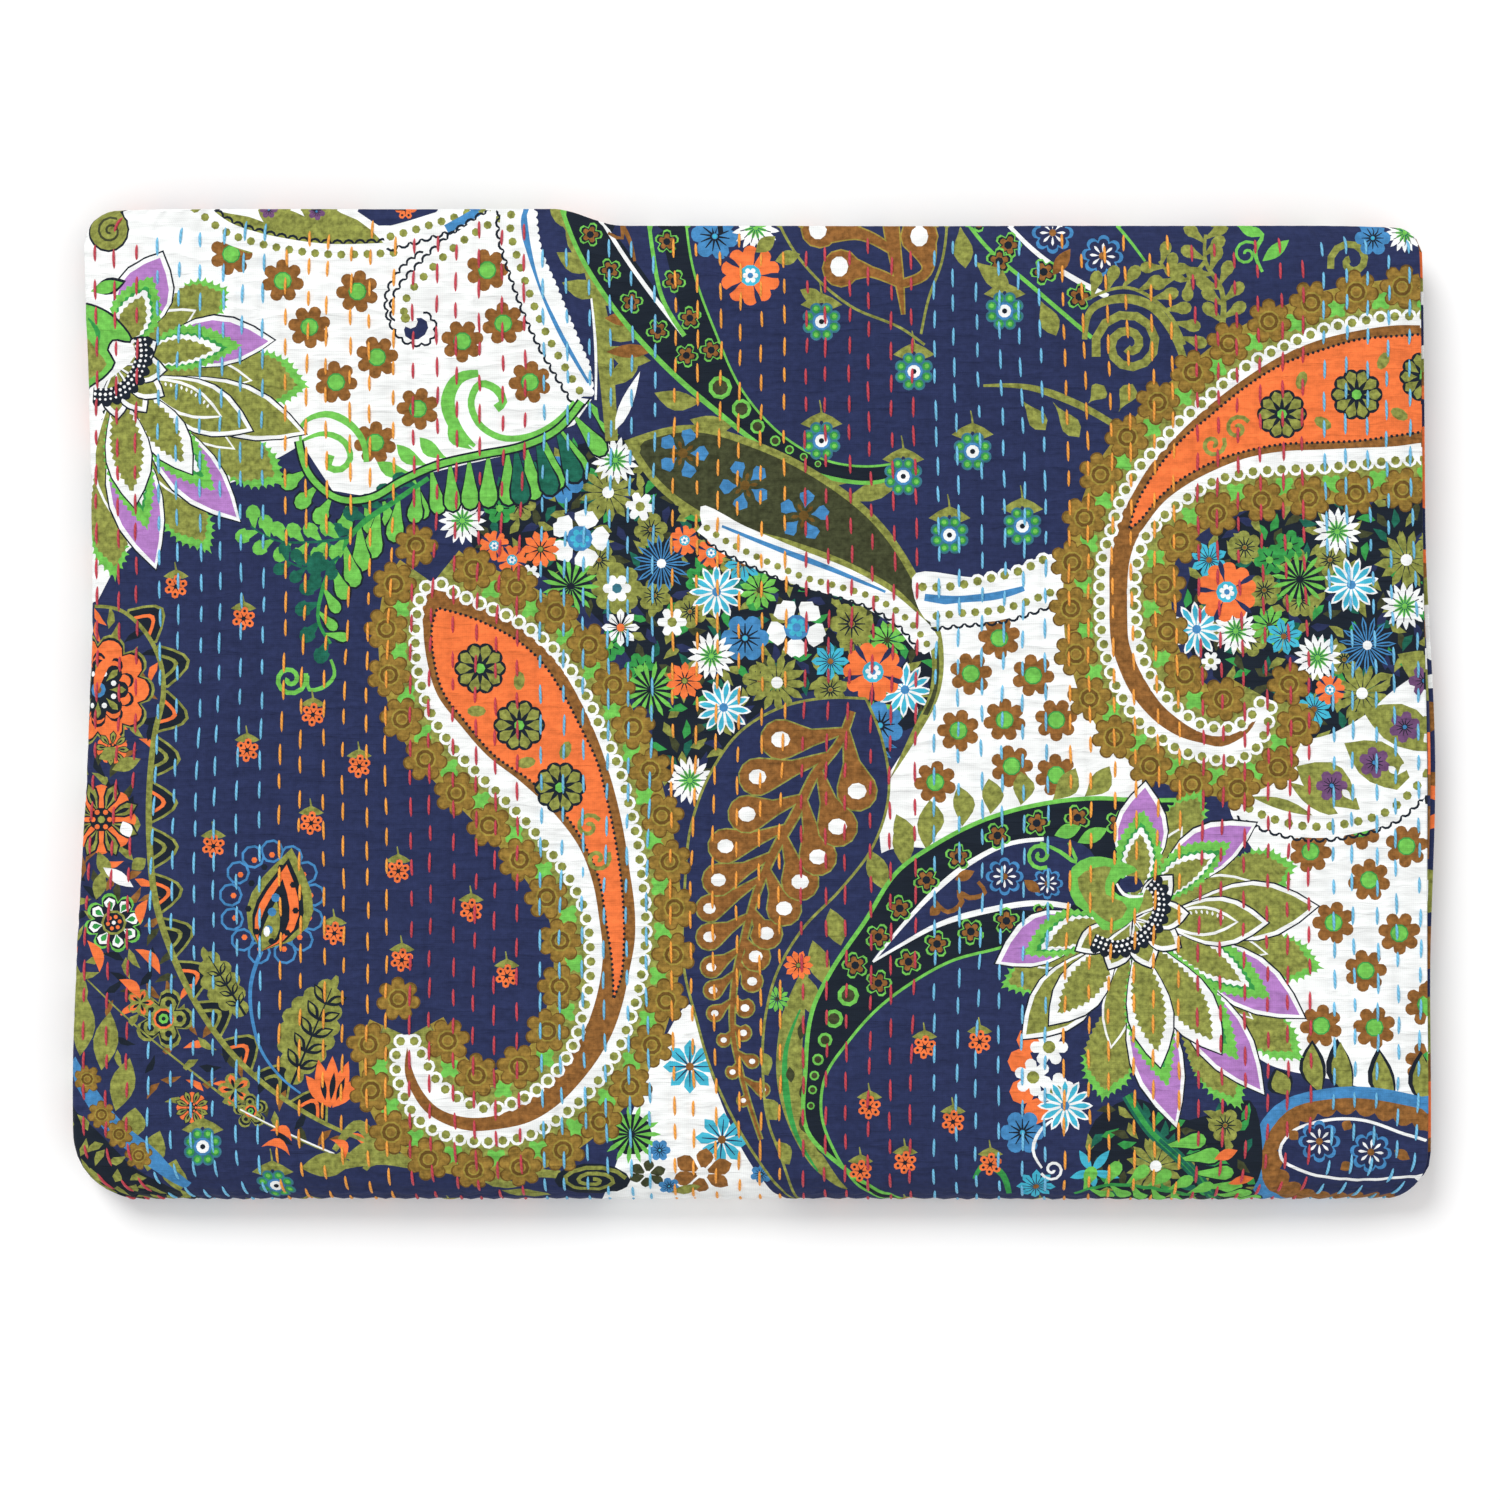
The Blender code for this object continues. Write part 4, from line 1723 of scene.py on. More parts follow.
    def lotuses(self) -> None:
        """Paints the two large flowers, each with its hood and its dotted crescent."""
        LOTUS_LEFT.draw(self.canvas)
        self.crescent(((-372, 175), (-361, 175), (-350, 183), (-345, 196), (-346, 206)), 1)
        self.canvas.fill(leaf((-372, 232), (-353, 238), 9.56, 0.5), Ink.DARK)
        self.canvas.fill(leaf((-373, 232), (-355, 237), 7.31, 0.5), Ink.LIME)
        self.area(((-370, 198), (-361, 206), (-349, 202), (-348, 196), (-357, 187), (-368, 180)), Ink.WHITE)
        hood = Curve.through((
            (-390, 225), (-373, 224), (-361, 218), (-351, 204), (-361, 205), (-364, 199), (-360, 192),
            (-364, 186), (-375, 179), (-390, 179),
        ))
        for outset, ink in ((1.2, Ink.DARK), (0.0, Ink.LIME)):
            self.canvas.fill(hood.aside(outset).points, ink)
        self.area(((-390, 208), (-375, 205), (-369, 198), (-364, 191), (-372, 184), (-390, 182)), Ink.OLIVE)
        self.path(((-375, 217), (-369, 209), (-370, 200)), (1.0, 3.0, 1.0), Ink.GREEN)
        LOTUS_RIGHT.draw(self.canvas)
        self.crescent(((191, -132), (205, -136), (219, -129), (227, -117), (226, -105), (222, -101)), 1)
        self.area((
            (177, -102), (179, -92), (189, -86), (201, -87), (216, -94), (206, -98), (202, -105),
            (211, -109), (219, -106), (216, -117), (207, -126), (196, -127), (190, -119), (181, -113),
        ), Ink.LIME)
        self.area((
            (182, -98), (192, -92), (201, -92), (198, -99), (198, -107), (207, -111), (210, -115),
            (201, -123), (195, -120), (186, -110),
        ), Ink.OLIVE)
        self.area(((206, -99), (215, -97), (219, -102), (214, -106), (206, -104)), Ink.NAVY)
        self.path(((204, -101), (208, -107), (219, -108)), (1.2, 2.0, 1.2), Ink.WHITE)

    def crescent(self, places: Places, side: int) -> None:
        """Paints a navy crescent with a scalloped outer edge and rows of white dots.

        Args:
            places: the places that it runs through.
            side: 1 where its inner edge is on the left.
        """
        line = Curve.through(places)
        outer = scalloped(line.aside(-side * 5.2), 6.0, -side * 2.4)
        self.canvas.fill(between(line.aside(side * 3.0), outer), Ink.DARK)
        for offset, radius in ((2.4, 0.8), (-0.4, 1.0), (-3.2, 0.75)):
            row = line.aside(side * offset)
            self.canvas.dots(row.at(row.spaced(3.0)), radius, Ink.WHITE, 6)

    def top_left(self) -> None:
        """Paints the corner's shell, the bead strips and the scrolls of the white field."""
        canvas = self.canvas
        for radius, ink in ((11.8, Ink.DARK), (10.7, Ink.OLIVE)):
            canvas.fill(ring((-363, 267), radius, 16, 1.1), ink)
        canvas.line(spiral((-362, 266), 7.87, 1.6, 60.0), 1.3, Ink.SHADE)
        # Petals with purple flowers over the strip of beads
        canvas.fill(np.array((
            (-314, 289), (-303, 271), (-277, 259), (-238, 254), (-199, 259), (-160, 276), (-154, 289),
        )), Ink.WHITE)
        self.leaves(Ink.OLIVE, 20.2, (
            (-309, 281, -263, 259), (-285, 289, -234, 258), (-260, 287, -208, 259),
        ), belly=0.6, bend=-0.1)
        scatter(canvas, Bloom.PURPLE, 5.06, ((-273, 278), (-246, 277)))
        canvas.fill(np.array((
            (-226, 289), (-223, 277), (-211, 269), (-192, 269), (-173, 274), (-143, 280), (-143, 289),
        )), Ink.NAVY)
        self.bloom(Bloom.SPRIG, -196, 278, 5.62)
        self.strip((
            (-317, 281), (-309, 274), (-298, 266), (-282, 260), (-264, 256), (-241, 253), (-219, 253),
            (-199, 254),
        ), 1)
        self.strip(((-208, 262), (-193, 266), (-177, 271), (-160, 276), (-143, 279)), -1)
        canvas.line(Curve.through(((-173, 267), (-155, 277))), 5.06, Ink.BLUE)
        self.strip((
            (-132, 277), (-143, 273), (-152, 268), (-163, 261), (-173, 253), (-184, 242), (-193, 232),
            (-197, 224), (-196, 217),
        ), -1)
        tail = Curve.through((
            (-186, 254), (-199, 243), (-206, 229), (-204, 215), (-195, 204), (-183, 204), (-180, 213),
            (-186, 220),
        ))
        canvas.line(scalloped(tail, 6.0, -1.8), 1.3, Ink.DARK)
        canvas.fill(ring((-190, 211), 7.31, 10, 0.8, 0.6), Ink.NAVY)
        canvas.fill(ring((-193, 215), 3.94, 8), Ink.WHITE)
        canvas.fill(ring((-196, 217), 2.81, 8), Ink.OLIVE)
        # The strip with a blue line down the right of the white field
        canvas.fill(np.array((
            (-140, 283), (-109, 283), (-87, 171), (-97, 172), (-120, 210), (-136, 261),
        )), Ink.NAVY)
        strip = ((
            (-136, 279), (-137, 267), (-133, 251), (-128, 236), (-122, 220), (-115, 205), (-106, 189),
            (-96, 173),
        ))
        blue = ((-130, 278), (-127, 255), (-122, 235), (-111, 211), (-94, 180))
        toothed = Curve.through((
            (-123, 278), (-120, 255), (-112, 236), (-105, 219), (-98, 202), (-92, 187), (-91, 173),
        ))
        canvas.fill(between(Curve.through(strip), scalloped(toothed, 4.4, 1.3)), Ink.WHITE)
        self.path(blue, 3.94, Ink.BLUE)
        self.strip(strip, -1)
        # Scrolls
        self.path((
            (-255, 148), (-254, 157), (-241, 163), (-228, 158), (-220, 148), (-218, 136),
        ), (1.5, 4.4, 3.0), Ink.LIME)
        self.path((
            (-254, 148), (-241, 152), (-230, 147), (-227, 138), (-232, 132), (-239, 133), (-238, 140),
        ), (1.5, 3.6, 3.4, 4.6), Ink.LIME)
        self.leaves(Ink.LIME, 8.44, (
            (-192, 130, -212, 136), (-183, 134, -201, 146), (-172, 138, -188, 150), (-158, 143, -172, 157),
        ), belly=0.6, bend=0.1)
        self.path((
            (-157, 145), (-168, 156), (-172, 172), (-166, 183), (-155, 186),
        ), (2.0, 6.5, 8.0, 7.0, 4.0), Ink.LIME)
        self.path((
            (-101, 170), (-111, 159), (-125, 151), (-143, 150), (-155, 158), (-159, 171), (-154, 180),
            (-145, 177), (-141, 170), (-145, 166),
        ), (2.0, 3.5, 3.6, 4.0, 5.0), Ink.LIME)
        self.garland_vine()

    def garland_vine(self) -> None:
        """Paints the green vine under the white field and its branch."""
        stem = (
            (-256, 148), (-250, 129), (-232, 115), (-215, 116), (-199, 125), (-179, 134), (-154, 140),
            (-130, 145), (-111, 154), (-97, 170),
        )
        leafy = {"stem": Ink.DARK, "width": (1.0, 1.0), "shadow": Ink.DARK}
        self.vine(
            ((-199, 123), (-179, 132), (-154, 138), (-130, 143), (-111, 152), (-92, 172)), leaves=Ink.LIME,
            pitch=11.5, size=(28.1, 10.1), sides=(-1,), lean=1.75, grow=(0.8, 0.9, 1.0, 1.05, 1.0, 0.9),
            **leafy,
        )
        self.vine(
            ((-143, 141), (-126, 146), (-108, 156)), leaves=Ink.FOREST, pitch=12.0, size=(31.5, 10.7),
            sides=(-1,), lean=1.75, **leafy,
        )
        self.vine(
            ((-255, 138), (-246, 123), (-230, 112), (-206, 115)), leaves=Ink.LIME, pitch=10.5,
            size=(16.9, 9), sides=(-1,), lean=1.5, **leafy,
        )
        branch = ((-183, 127), (-202, 114), (-222, 100), (-235, 82), (-243, 63), (-245, 47), (-238, 34))
        self.vine(
            branch, leaves=Ink.LIME, pitch=14.0, size=(22.5, 9), sides=(1,), lean=0.85,
            grow=(0.9, 1.2, 1.1, 0.7, 0.6), **leafy,
        )
        self.vine(branch, Ink.GREEN, Ink.FOREST, (2.6, 3.2, 2.4, 1.6), 11.0, (14.6, 9), (-1,), 1.0)
        self.path(stem, 5.6, Ink.DARK)
        self.path(stem, 3.4, Ink.LIME)
        self.vine(
            ((-226, 94), (-250, 91), (-269, 92), (-283, 100)), Ink.FOREST, Ink.LIME, (1.6, 1.0), 10.5,
            (13.5, 8.44),
        )
        self.vine(((-233, 83), (-249, 76), (-264, 81)), Ink.FOREST, Ink.FOREST, (1.6, 1.0), 9.5, (11.2, 7.31))
        self.canvas.line(spiral((-261, 14), 9.56, 1.6, 20.0, -1), 2.6, Ink.LIME)
        self.path(((-251, 16), (-250, 8), (-243, 9), (-236, 16), (-238, 25)), (2.0, 2.4, 1.6), Ink.LIME)

    def top_middle(self) -> None:
        """Paints the bands, the fern with drops and the scroll along the back edge."""
        canvas = self.canvas
        # Olive leaves outside the band
        canvas.fill(np.array((
            (-118, 289), (-87, 244), (-30, 182), (3, 148), (-64, 143), (-87, 160), (-95, 210),
        )), Ink.NAVY)
        self.path((
            (-114, 283), (-96, 255), (-87, 222), (-83, 188), (-80, 148),
        ), (6.0, 7.0, 9.0, 7.0), Ink.OLIVE)
        self.path(((-92, 233), (-89, 199), (-89, 171)), (1.0, 1.6, 1.2), Ink.WHITE)
        canvas.fill(leaf((-78, 154), (-64, 187), 6.75, 0.4), Ink.WHITE)
        self.leaves(Ink.OLIVE, 11.2, (
            (-88, 245, -111, 254), (-87, 249, -106, 269), (-83, 233, -108, 237), (-64, 206, -89, 217),
            (-58, 193, -83, 201), (-64, 199, -84, 179), (-30, 170, -56, 175), (-11, 157, -36, 160),
            (20, 136, -11, 145), (60, 127, 26, 136), (85, 132, 51, 115), (-95, 271, -116, 280),
            (-73, 227, -89, 234),
        ), bend=0.08)
        self.leaves(Ink.BROWN, 7.87, ((-64, 216, -84, 217), (-56, 199, -83, 198), (-70, 227, -87, 233)))
        # The dark band with its green lines and the white point
        band = Curve.through((
            (-109, 281), (-99, 255), (-82, 227), (-53, 193), (-19, 163), (12, 140), (43, 127), (71, 125),
            (91, 133),
        ))
        inner = Curve.through((
            (-39, 281), (-34, 244), (-22, 210), (-5, 174), (20, 148), (44, 136), (71, 134), (89, 138),
        ))
        canvas.fill(between(band, inner), Ink.DARK)
        canvas.fill(np.array(((-92, 289), (-39, 210), (-58, 289))), Ink.NAVY)
        self.path(((-91, 281), (-71, 249), (-39, 207)), (2.0, 2.6), Ink.WHITE)
        self.path(((-60, 281), (-57, 255), (-51, 227), (-39, 207)), (2.0, 2.6), Ink.LIME)
        canvas.line(band, (2.4, 3.0, 2.0), Ink.LIME)
        canvas.line(inner, 1.3, Ink.LIME)
        scatter(canvas, Bloom.OUTLINED, 7.03, (
            (-92, 264), (-81, 244), (-69, 226), (-54, 210), (-49, 260), (-45, 238), (-36, 217), (-38, 196),
            (-24, 199),
        ))
        self.path(((-82, 265), (-74, 262), (-74, 269), (-70, 261), (-67, 249)), (1.6, 2.6, 1.6), Ink.BROWN)
        self.rings(0.66, (
            (-19, 178, 6.75), (-7, 166, 5.62), (2, 156, 4.22), (12, 148, 3.09), (20, 143, 2.59),
            (28, 139, 2.25), (36, 135, 1.91),
        ))
        # The dark olive leaf with blue flowers
        blade = Curve.through((
            (-73, 148), (-36, 157), (3, 147), (37, 130), (71, 103), (96, 64), (106, 36), (105, 8),
            (91, -20), (76, -43),
        ))
        under = Curve.through((
            (-73, 148), (-56, 123), (-25, 101), (20, 88), (54, 75), (82, 58), (98, 36), (99, 8), (88, -17),
            (76, -43),
        ))
        canvas.fill(between(blade, under), Ink.OLIVE)
        canvas.fill(between(
            Curve(blade.aside(-4.0).points[3:-12]), Curve(under.aside(4.0).points[3:-12]),
        ), Ink.SHADE)
        self.area((
            (-64, 145), (-30, 148), (9, 136), (48, 108), (85, 71), (48, 85), (9, 98), (-30, 110),
            (-53, 126),
        ), Ink.SHADE)
        scatter(canvas, Bloom.BLUE_PETALS, 14.6, ((-40, 141), (-5, 123), (28, 106)))
        self.bead_strips()
        # Drops on brown stems at the back edge
        stems = (
            (((84, 219), (82, 236), (79, 255), (75, 289)), (1.0, 5.0, 8.0, 9.0)),
            (((81, 237), (66, 243), (49, 245)), (4.0, 5.0, 17.0)),
            (((82, 236), (97, 243), (93, 262)), (4.0, 5.0, 19.0)),
            (((78, 255), (64, 263), (38, 267)), (4.0, 6.0, 17.0)),
            (((76, 275), (70, 281), (62, 289)), (4.0, 8.0, 12.0)),
        )
        for ink, grow in ((Ink.GOLD, 1.6), (Ink.BROWN, 0.0)):
            for places, widths in stems:
                self.path(places, [width + grow for width in widths], ink)
            for x, y in ((37, 267), (49, 245), (93, 263)):
                canvas.fill(ring((x, y), 10.1 + grow / 2, 12), ink)
        for x, y in ((36, 267), (48, 246), (93, 263)):
            canvas.fill(ring((x, y), 5.06, 10, 1.15), Ink.WHITE)
        self.path(((9, 281), (26, 250), (54, 224), (85, 210), (96, 202)), 1.5, Ink.OLIVE)
        self.path(((109, 281), (106, 250), (98, 227), (94, 208)), 1.5, Ink.OLIVE)
        self.leaves(Ink.OLIVE, 8.44, ((26, 233, 40, 226), (26, 253, 12, 249), (12, 263, 1, 254)))
        self.back_scrolls()

    def bead_strips(self) -> None:
        """Paints the white strips of beads and blue under the dark leaf."""
        canvas = self.canvas
        self.area((
            (-30, 111), (-5, 100), (26, 87), (60, 73), (85, 57), (103, 33), (96, 28), (79, 44), (54, 58),
            (26, 66), (-2, 77), (-26, 92),
        ), Ink.WHITE)
        self.path(((-18, 100), (9, 89), (43, 76), (74, 63)), (1.5, 3.4, 1.5), Ink.BLUE)
        self.strip((
            (-29, 101), (-18, 93), (-5, 86), (12, 78), (29, 71), (48, 66), (71, 58), (88, 46), (99, 31),
        ), -1, 3.3)
        self.area(((89, 71), (133, 71), (172, 83), (172, 55), (138, 52), (96, 48)), Ink.WHITE)
        canvas.beads(Curve.through(((91, 66), (110, 66), (130, 70), (150, 75), (166, 83))), 4.2)
        self.path(((96, 60), (119, 58), (152, 65)), (4.0, 6.5, 3.0), Ink.BLUE)
        self.strip(((99, 49), (116, 51), (138, 53), (155, 58), (170, 64)), -1)

    def back_scrolls(self) -> None:
        """Paints the bands, the olive scroll and the sprays at the back edge, right of the middle."""
        canvas = self.canvas
        self.path(((113, 281), (130, 258), (155, 236), (190, 206)), (2.0, 2.4), Ink.LIME)
        canvas.fill(np.array(((133, 289), (195, 228), (200, 231), (172, 264), (155, 289))), Ink.NAVY)
        self.path(((133, 281), (161, 252), (199, 229)), (2.0, 3.4), Ink.WHITE)
        self.path(((193, 281), (211, 261), (220, 249)), (2.0, 1.4), Ink.LIME)
        scatter(canvas, Bloom.OUTLINED, 7.87, ((143, 258), (163, 243), (183, 229), (127, 273), (138, 249)))
        scatter(canvas, Bloom.BLUE_RIMMED, 11.8, ((168, 265), (196, 252)))
        canvas.fill(leaf((168, 241), (178, 256), 7.87, 0.5), Ink.BROWN)
        self.leaves(Ink.OLIVE, 11.2, (
            (116, 269, 119, 245), (161, 227, 170, 207), (124, 249, 144, 233),
        ), belly=0.6)
        canvas.line(spiral((211, 202), 19.7, 1.9, 200.0, -1), 5.0, Ink.OLIVE)
        self.path((
            (186, 205), (190, 222), (206, 228), (223, 224), (235, 210), (242, 193),
        ), (3.0, 5.5, 4.0), Ink.OLIVE)
        self.vine(
            ((186, 227), (211, 234), (231, 222), (242, 202)), Ink.OLIVE, Ink.OLIVE, (1.5, 2.5), 9.5,
            (15.2, 7.31), (1,),
        )
        self.vine(
            ((263, 210), (263, 233), (254, 249), (254, 264)), Ink.OLIVE, Ink.OLIVE, (3.6, 1.6), 9.5,
            (15.2, 7.31),
        )
        self.vine(((254, 249), (240, 238), (228, 249)), Ink.OLIVE, Ink.OLIVE, (2.4, 1.6), 9.0, (13.5, 6.75))
        self.path(((286, 243), (282, 255), (286, 264), (279, 269)), (1.6, 2.6, 1.6), Ink.LIME)
        canvas.line(spiral((277, 253), 7.87, 1.4, 30.0, 1), 1.6, Ink.LIME)
        self.leaves(Ink.LIME, 7.31, ((286, 249, 301, 261), (286, 263, 272, 270)))
        canvas.line(spiral((336, 249), 12.4, 1.2, 200.0, -1), 4.0, Ink.OLIVE)
        scatter(canvas, Bloom.WHITE_GREEN, 11.2, ((366, 265),))
        scatter(canvas, Bloom.BLUE_LOBED, 10.1, ((348, 262),))
        self.path(((129, 179), (155, 178), (181, 169), (206, 155)), (1.4, 4.4, 3.4), Ink.OLIVE)
        self.leaves(Ink.OLIVE, 10.7, (
            (150, 172, 164, 154), (168, 170, 183, 150), (188, 169, 197, 179), (205, 164, 213, 180),
        ), belly=0.7)

    def garden(self) -> None:
        """Paints what lies among the small flowers: olive leaves and the right border of petals."""
        canvas = self.canvas
        chain = ((275, -57), (293, -65), (313, -69), (335, -67), (357, -60), (372, -47), (386, -31))
        self.area((
            (285, -37), (301, -23), (324, -17), (344, -6), (360, 8), (386, 22), (397, -43), (363, -61),
            (324, -72), (279, -61), (273, -48),
        ), Ink.WHITE)
        self.leaves(Ink.OLIVE, 23.6, (
            (341, -60, 305, -35), (372, -51, 332, -22), (390, -29, 342, -3), (403, 0, 362, 28),
        ), belly=0.55, bend=-0.05)
        self.leaves(Ink.OLIVE, 9.56, ((317, -65, 280, -52), (330, -64, 301, -44)))
        scatter(canvas, Bloom.PURPLE, 9, ((325, -46), (349, -33), (366, -13), (377, 13)))
        self.strip(chain, -1, 4.2)
        self.leaves(Ink.WHITE, 3.94, (
            (336, -54, 331, -48), (336, -54, 342, -47), (362, -40, 357, -35), (362, -40, 368, -33),
            (381, -25, 377, -18),
        ), belly=0.6)

    def left_border(self) -> None:
        """Paints the border of mandalas, vines and scallops along the left."""
        canvas = self.canvas
        vine = (
            (-372, 55), (-357, 53), (-342, 40), (-334, 24), (-332, 7), (-337, -17), (-340, -48),
            (-340, -76), (-336, -113), (-327, -141), (-314, -168), (-295, -195), (-274, -215), (-245, -234),
            (-215, -247),
        )
        line = Curve.through(vine)
        outside = line.aside(1.0).part(0.05, 0.93)
        peaks = outside.spaced(25.0)
        for index, (place, way) in enumerate(zip(outside.at(peaks), outside.heading_at(peaks))):
            inks = (Ink.OLIVE, Ink.DARK, (Ink.ORANGE, Ink.OLIVE)[index % 2], Ink.DARK)
            for share, ink in zip((1.0, 0.88, 0.56, 0.4), inks):
                canvas.fill(leaf(
                    place - share * 12.5 * way, place + share * 12.5 * way, share * 31.0, 0.5, 0.0, 6,
                ), ink)
        inside = (Ink.OLIVE, Ink.ORANGE, Ink.SHADE, Ink.DARK, Ink.BROWN, Ink.DARK, Ink.OLIVE, Ink.BROWN)
        self.thicket((
            (-402, 58), *vine, (-233, -256), (-255, -251), (-289, -229), (-317, -207), (-351, -179),
            (-375, -155), (-402, -144),
        ), Ink.NAVY, inside, 10.5, (13.0, 4.6))
        self.thicket((
            (-390, -144), (-375, -156), (-351, -180), (-317, -208), (-289, -231), (-277, -237),
            (-323, -234), (-362, -200),
        ), Ink.NAVY, inside, 13.0, (12.0, 4.0))
        canvas.line(line, (1.8, 3.2, 3.8, 3.2, 2.0), Ink.OLIVE)
        for flower in BORDER_FLOWERS:
            draw_bloom(canvas, flower)
        self.leaves(Ink.OLIVE, 7.87, (
            (-370, -110, -366, -94), (-362, -99, -369, -83), (-350, -93, -342, -87), (-368, -31, -357, -25),
            (-345, -31, -361, -37),
        ))
        self.leaves(Ink.ORANGE, 6.19, (
            (-375, -133, -368, -151), (-348, -138, -334, -152), (-345, -124, -341, -110),
            (-357, -155, -345, -166), (-370, 2, -357, 30),
        ), bend=0.15)
        self.leaves(Ink.WHITE, 7.31, ((-366, -92, -349, -103), (-355, -66, -351, -75)))
        self.feathers()

    def feathers(self) -> None:
        """Paints the feather, the serrated leaves and the tulip beside the vine."""
        canvas = self.canvas
        centre = np.array((-271, -112))
        scallops = 13
        for step in range(scallops):
            angle = -0.4 * math.pi + step * 1.8 * math.pi / (scallops - 1)
            place = centre + (23.6 * math.cos(angle), 29.2 * math.sin(angle))
            canvas.fill(ring(place, 6.75, 9), Ink.BLUE)
            canvas.fill(ring(place, 5.34, 9), Ink.NAVY)
            canvas.fill(ring(centre + 0.93 * (place - centre), 1.69, 6), Ink.ORANGE)
        for width, reach, ink in (
            (37.1, 1.0, Ink.OLIVE), (28.1, 0.9, Ink.DARK), (23.6, 0.84, Ink.ORANGE), (15.7, 0.7, Ink.DARK),
            (9, 0.5, Ink.OLIVE),
        ):
            low, high = np.array(((-277, -139), (-260, -81)))
            canvas.fill(leaf(low, low + reach * (high - low), width, 0.42, -0.06), ink)
        canvas.dots(((-273, -127), (-271, -117), (-269, -109)), 2.53, Ink.BLUE)
        canvas.fill(ring((-274, -128), 1.91, 7, 1.6), Ink.WHITE)
        for step in range(9):
            angle = 0.5 + step * TAU / 9
            canvas.fill(ring(centre + (13.5 * math.cos(angle), 21.4 * math.sin(angle)), 1.91, 6), Ink.DARK)
        self.path((
            (-277, -139), (-283, -158), (-282, -178), (-277, -195), (-265, -211), (-255, -219),
        ), (2.4, 1.8, 1.2), Ink.BLUE)
        for base, tip, width, steps in (
            ((-260, -214), (-235, -154), 29.2, 5), ((-286, -175), (-309, -138), 16.9, 4),
        ):
            blade = leaf(base, tip, width, 0.5, 0.05, 8)
            canvas.fill(scalloped(Curve(np.vstack((blade, blade[:1]))), 9.0, 2.6).points, Ink.OLIVE)
            low, way = np.array(base), np.array(tip) - base
            side = np.array((-way[1], way[0])) / np.linalg.norm(way)
            canvas.line(Curve(np.vstack((low, low + 0.9 * way))), (1.6, 0.6), Ink.DARK)
            for step in range(steps):
                root = low + (0.15 + 0.15 * step) * way
                for hand in (1, -1):
                    end = root + 0.13 * way + hand * side * width * 0.34
                    canvas.fill(leaf(root, end, 0.2 * width, 0.5), Ink.DARK)
                    canvas.fill(leaf(
                        root + 0.25 * (end - root), end - 0.1 * (end - root), 0.1 * width, 0.5,
                    ), Ink.OLIVE)
        self.leaves(Ink.ORANGE, 8.44, (
            (-240, -227, -245, -200), (-238, -227, -237, -198), (-237, -227, -228, -201),
            (-238, -227, -252, -209), (-237, -227, -223, -211),
        ))
        self.leaves(Ink.DARK, 3.37, (
            (-241, -223, -243, -209), (-238, -223, -236, -207), (-235, -223, -230, -210),
        ))
        # The bottom-left corner
        self.leaves(Ink.OLIVE, 14.1, (
            (-379, -198, -376, -164), (-367, -206, -362, -173), (-359, -229, -351, -199),
            (-350, -245, -348, -227), (-342, -263, -334, -240), (-331, -277, -325, -256),
            (-381, -177, -382, -147), (-358, -261, -371, -251),
        ))
        self.thicket(
            ((-390, -223), (-376, -234), (-351, -259), (-323, -287), (-390, -287)), Ink.DARK,
            (Ink.OLIVE, Ink.ORANGE, Ink.GREEN, Ink.OLIVE, Ink.PURPLE), 9.5,
        )
        self.path((
            (-385, -200), (-373, -220), (-358, -240), (-340, -254), (-323, -273),
        ), (7.0, 11.0, 8.0), Ink.BLUE)
        scatter(canvas, Bloom.ROUND, 7.87, ((-375, -211), (-367, -231), (-357, -242), (-346, -254)))
        self.path((
            (-375, -155), (-351, -178), (-317, -206), (-283, -231), (-237, -253),
        ), (0.8, 1.2, 1.2), Ink.OLIVE)
        self.path(((-289, -228), (-261, -242), (-236, -253)), (0.8, 1.0), Ink.WHITE)
        self.path((
            (-238, -262), (-210, -256), (-182, -259), (-154, -262), (-109, -265),
        ), (3.0, 8.0, 6.0, 5.0), Ink.OLIVE)
        self.path(((-236, -251), (-222, -237), (-213, -251), (-219, -262)), (3.0, 7.0, 3.0), Ink.OLIVE)
        self.leaves(Ink.OLIVE, 14.6, ((-230, -255, -202, -251), (-255, -261, -226, -258)))
        self.leaves(Ink.ORANGE, 5.06, (
            (-272, -240, -260, -246), (-277, -249, -261, -254), (-238, -245, -230, -256),
        ), bend=0.3)

    def bottom(self) -> None:
        """Paints the fern paisley, the leaves beside it and the strips along the front."""
        canvas = self.canvas
        self.area((
            (3, -155), (29, -121), (54, -99), (76, -82), (99, -82), (71, -127), (40, -166), (33, -211),
            (43, -251), (65, -279), (26, -279), (6, -228), (2, -183),
        ), Ink.NAVY)
        self.path((
            (29, -150), (23, -172), (20, -195), (21, -217), (28, -240), (39, -259), (54, -274),
        ), (4.0, 13.0, 15.0, 14.0, 12.0, 6.0), Ink.OLIVE)
        self.path(((26, -172), (18, -195), (18, -217), (23, -240), (36, -263)), (1.0, 4.0, 1.0), Ink.GREEN)
        self.leaves(Ink.SHADE, 5.06, (
            (28, -178, 26, -189), (20, -204, 21, -213), (27, -214, 29, -224), (26, -232, 30, -242),
            (35, -245, 40, -254),
        ))
        self.leaves(Ink.OLIVE, 12.4, (
            (49, -136, 43, -115), (40, -158, 33, -133), (33, -175, 28, -152), (74, -105, 65, -82),
            (85, -92, 83, -64), (97, -82, 99, -54), (8, -209, 1, -195), (13, -234, 4, -222),
            (20, -259, 11, -246),
        ))
        self.bloom(Bloom.ORANGE_DAISY, 25, -147, 8.44)
        self.bloom(Bloom.GREEN_DAISY, 13, -166, 7.31)
        scatter(canvas, Bloom.TURQUOISE, 15.2, ((-36, -204), (-18, -245)))
        self.bloom(Bloom.GREEN_SPOKED, -69, -242, 16.9)
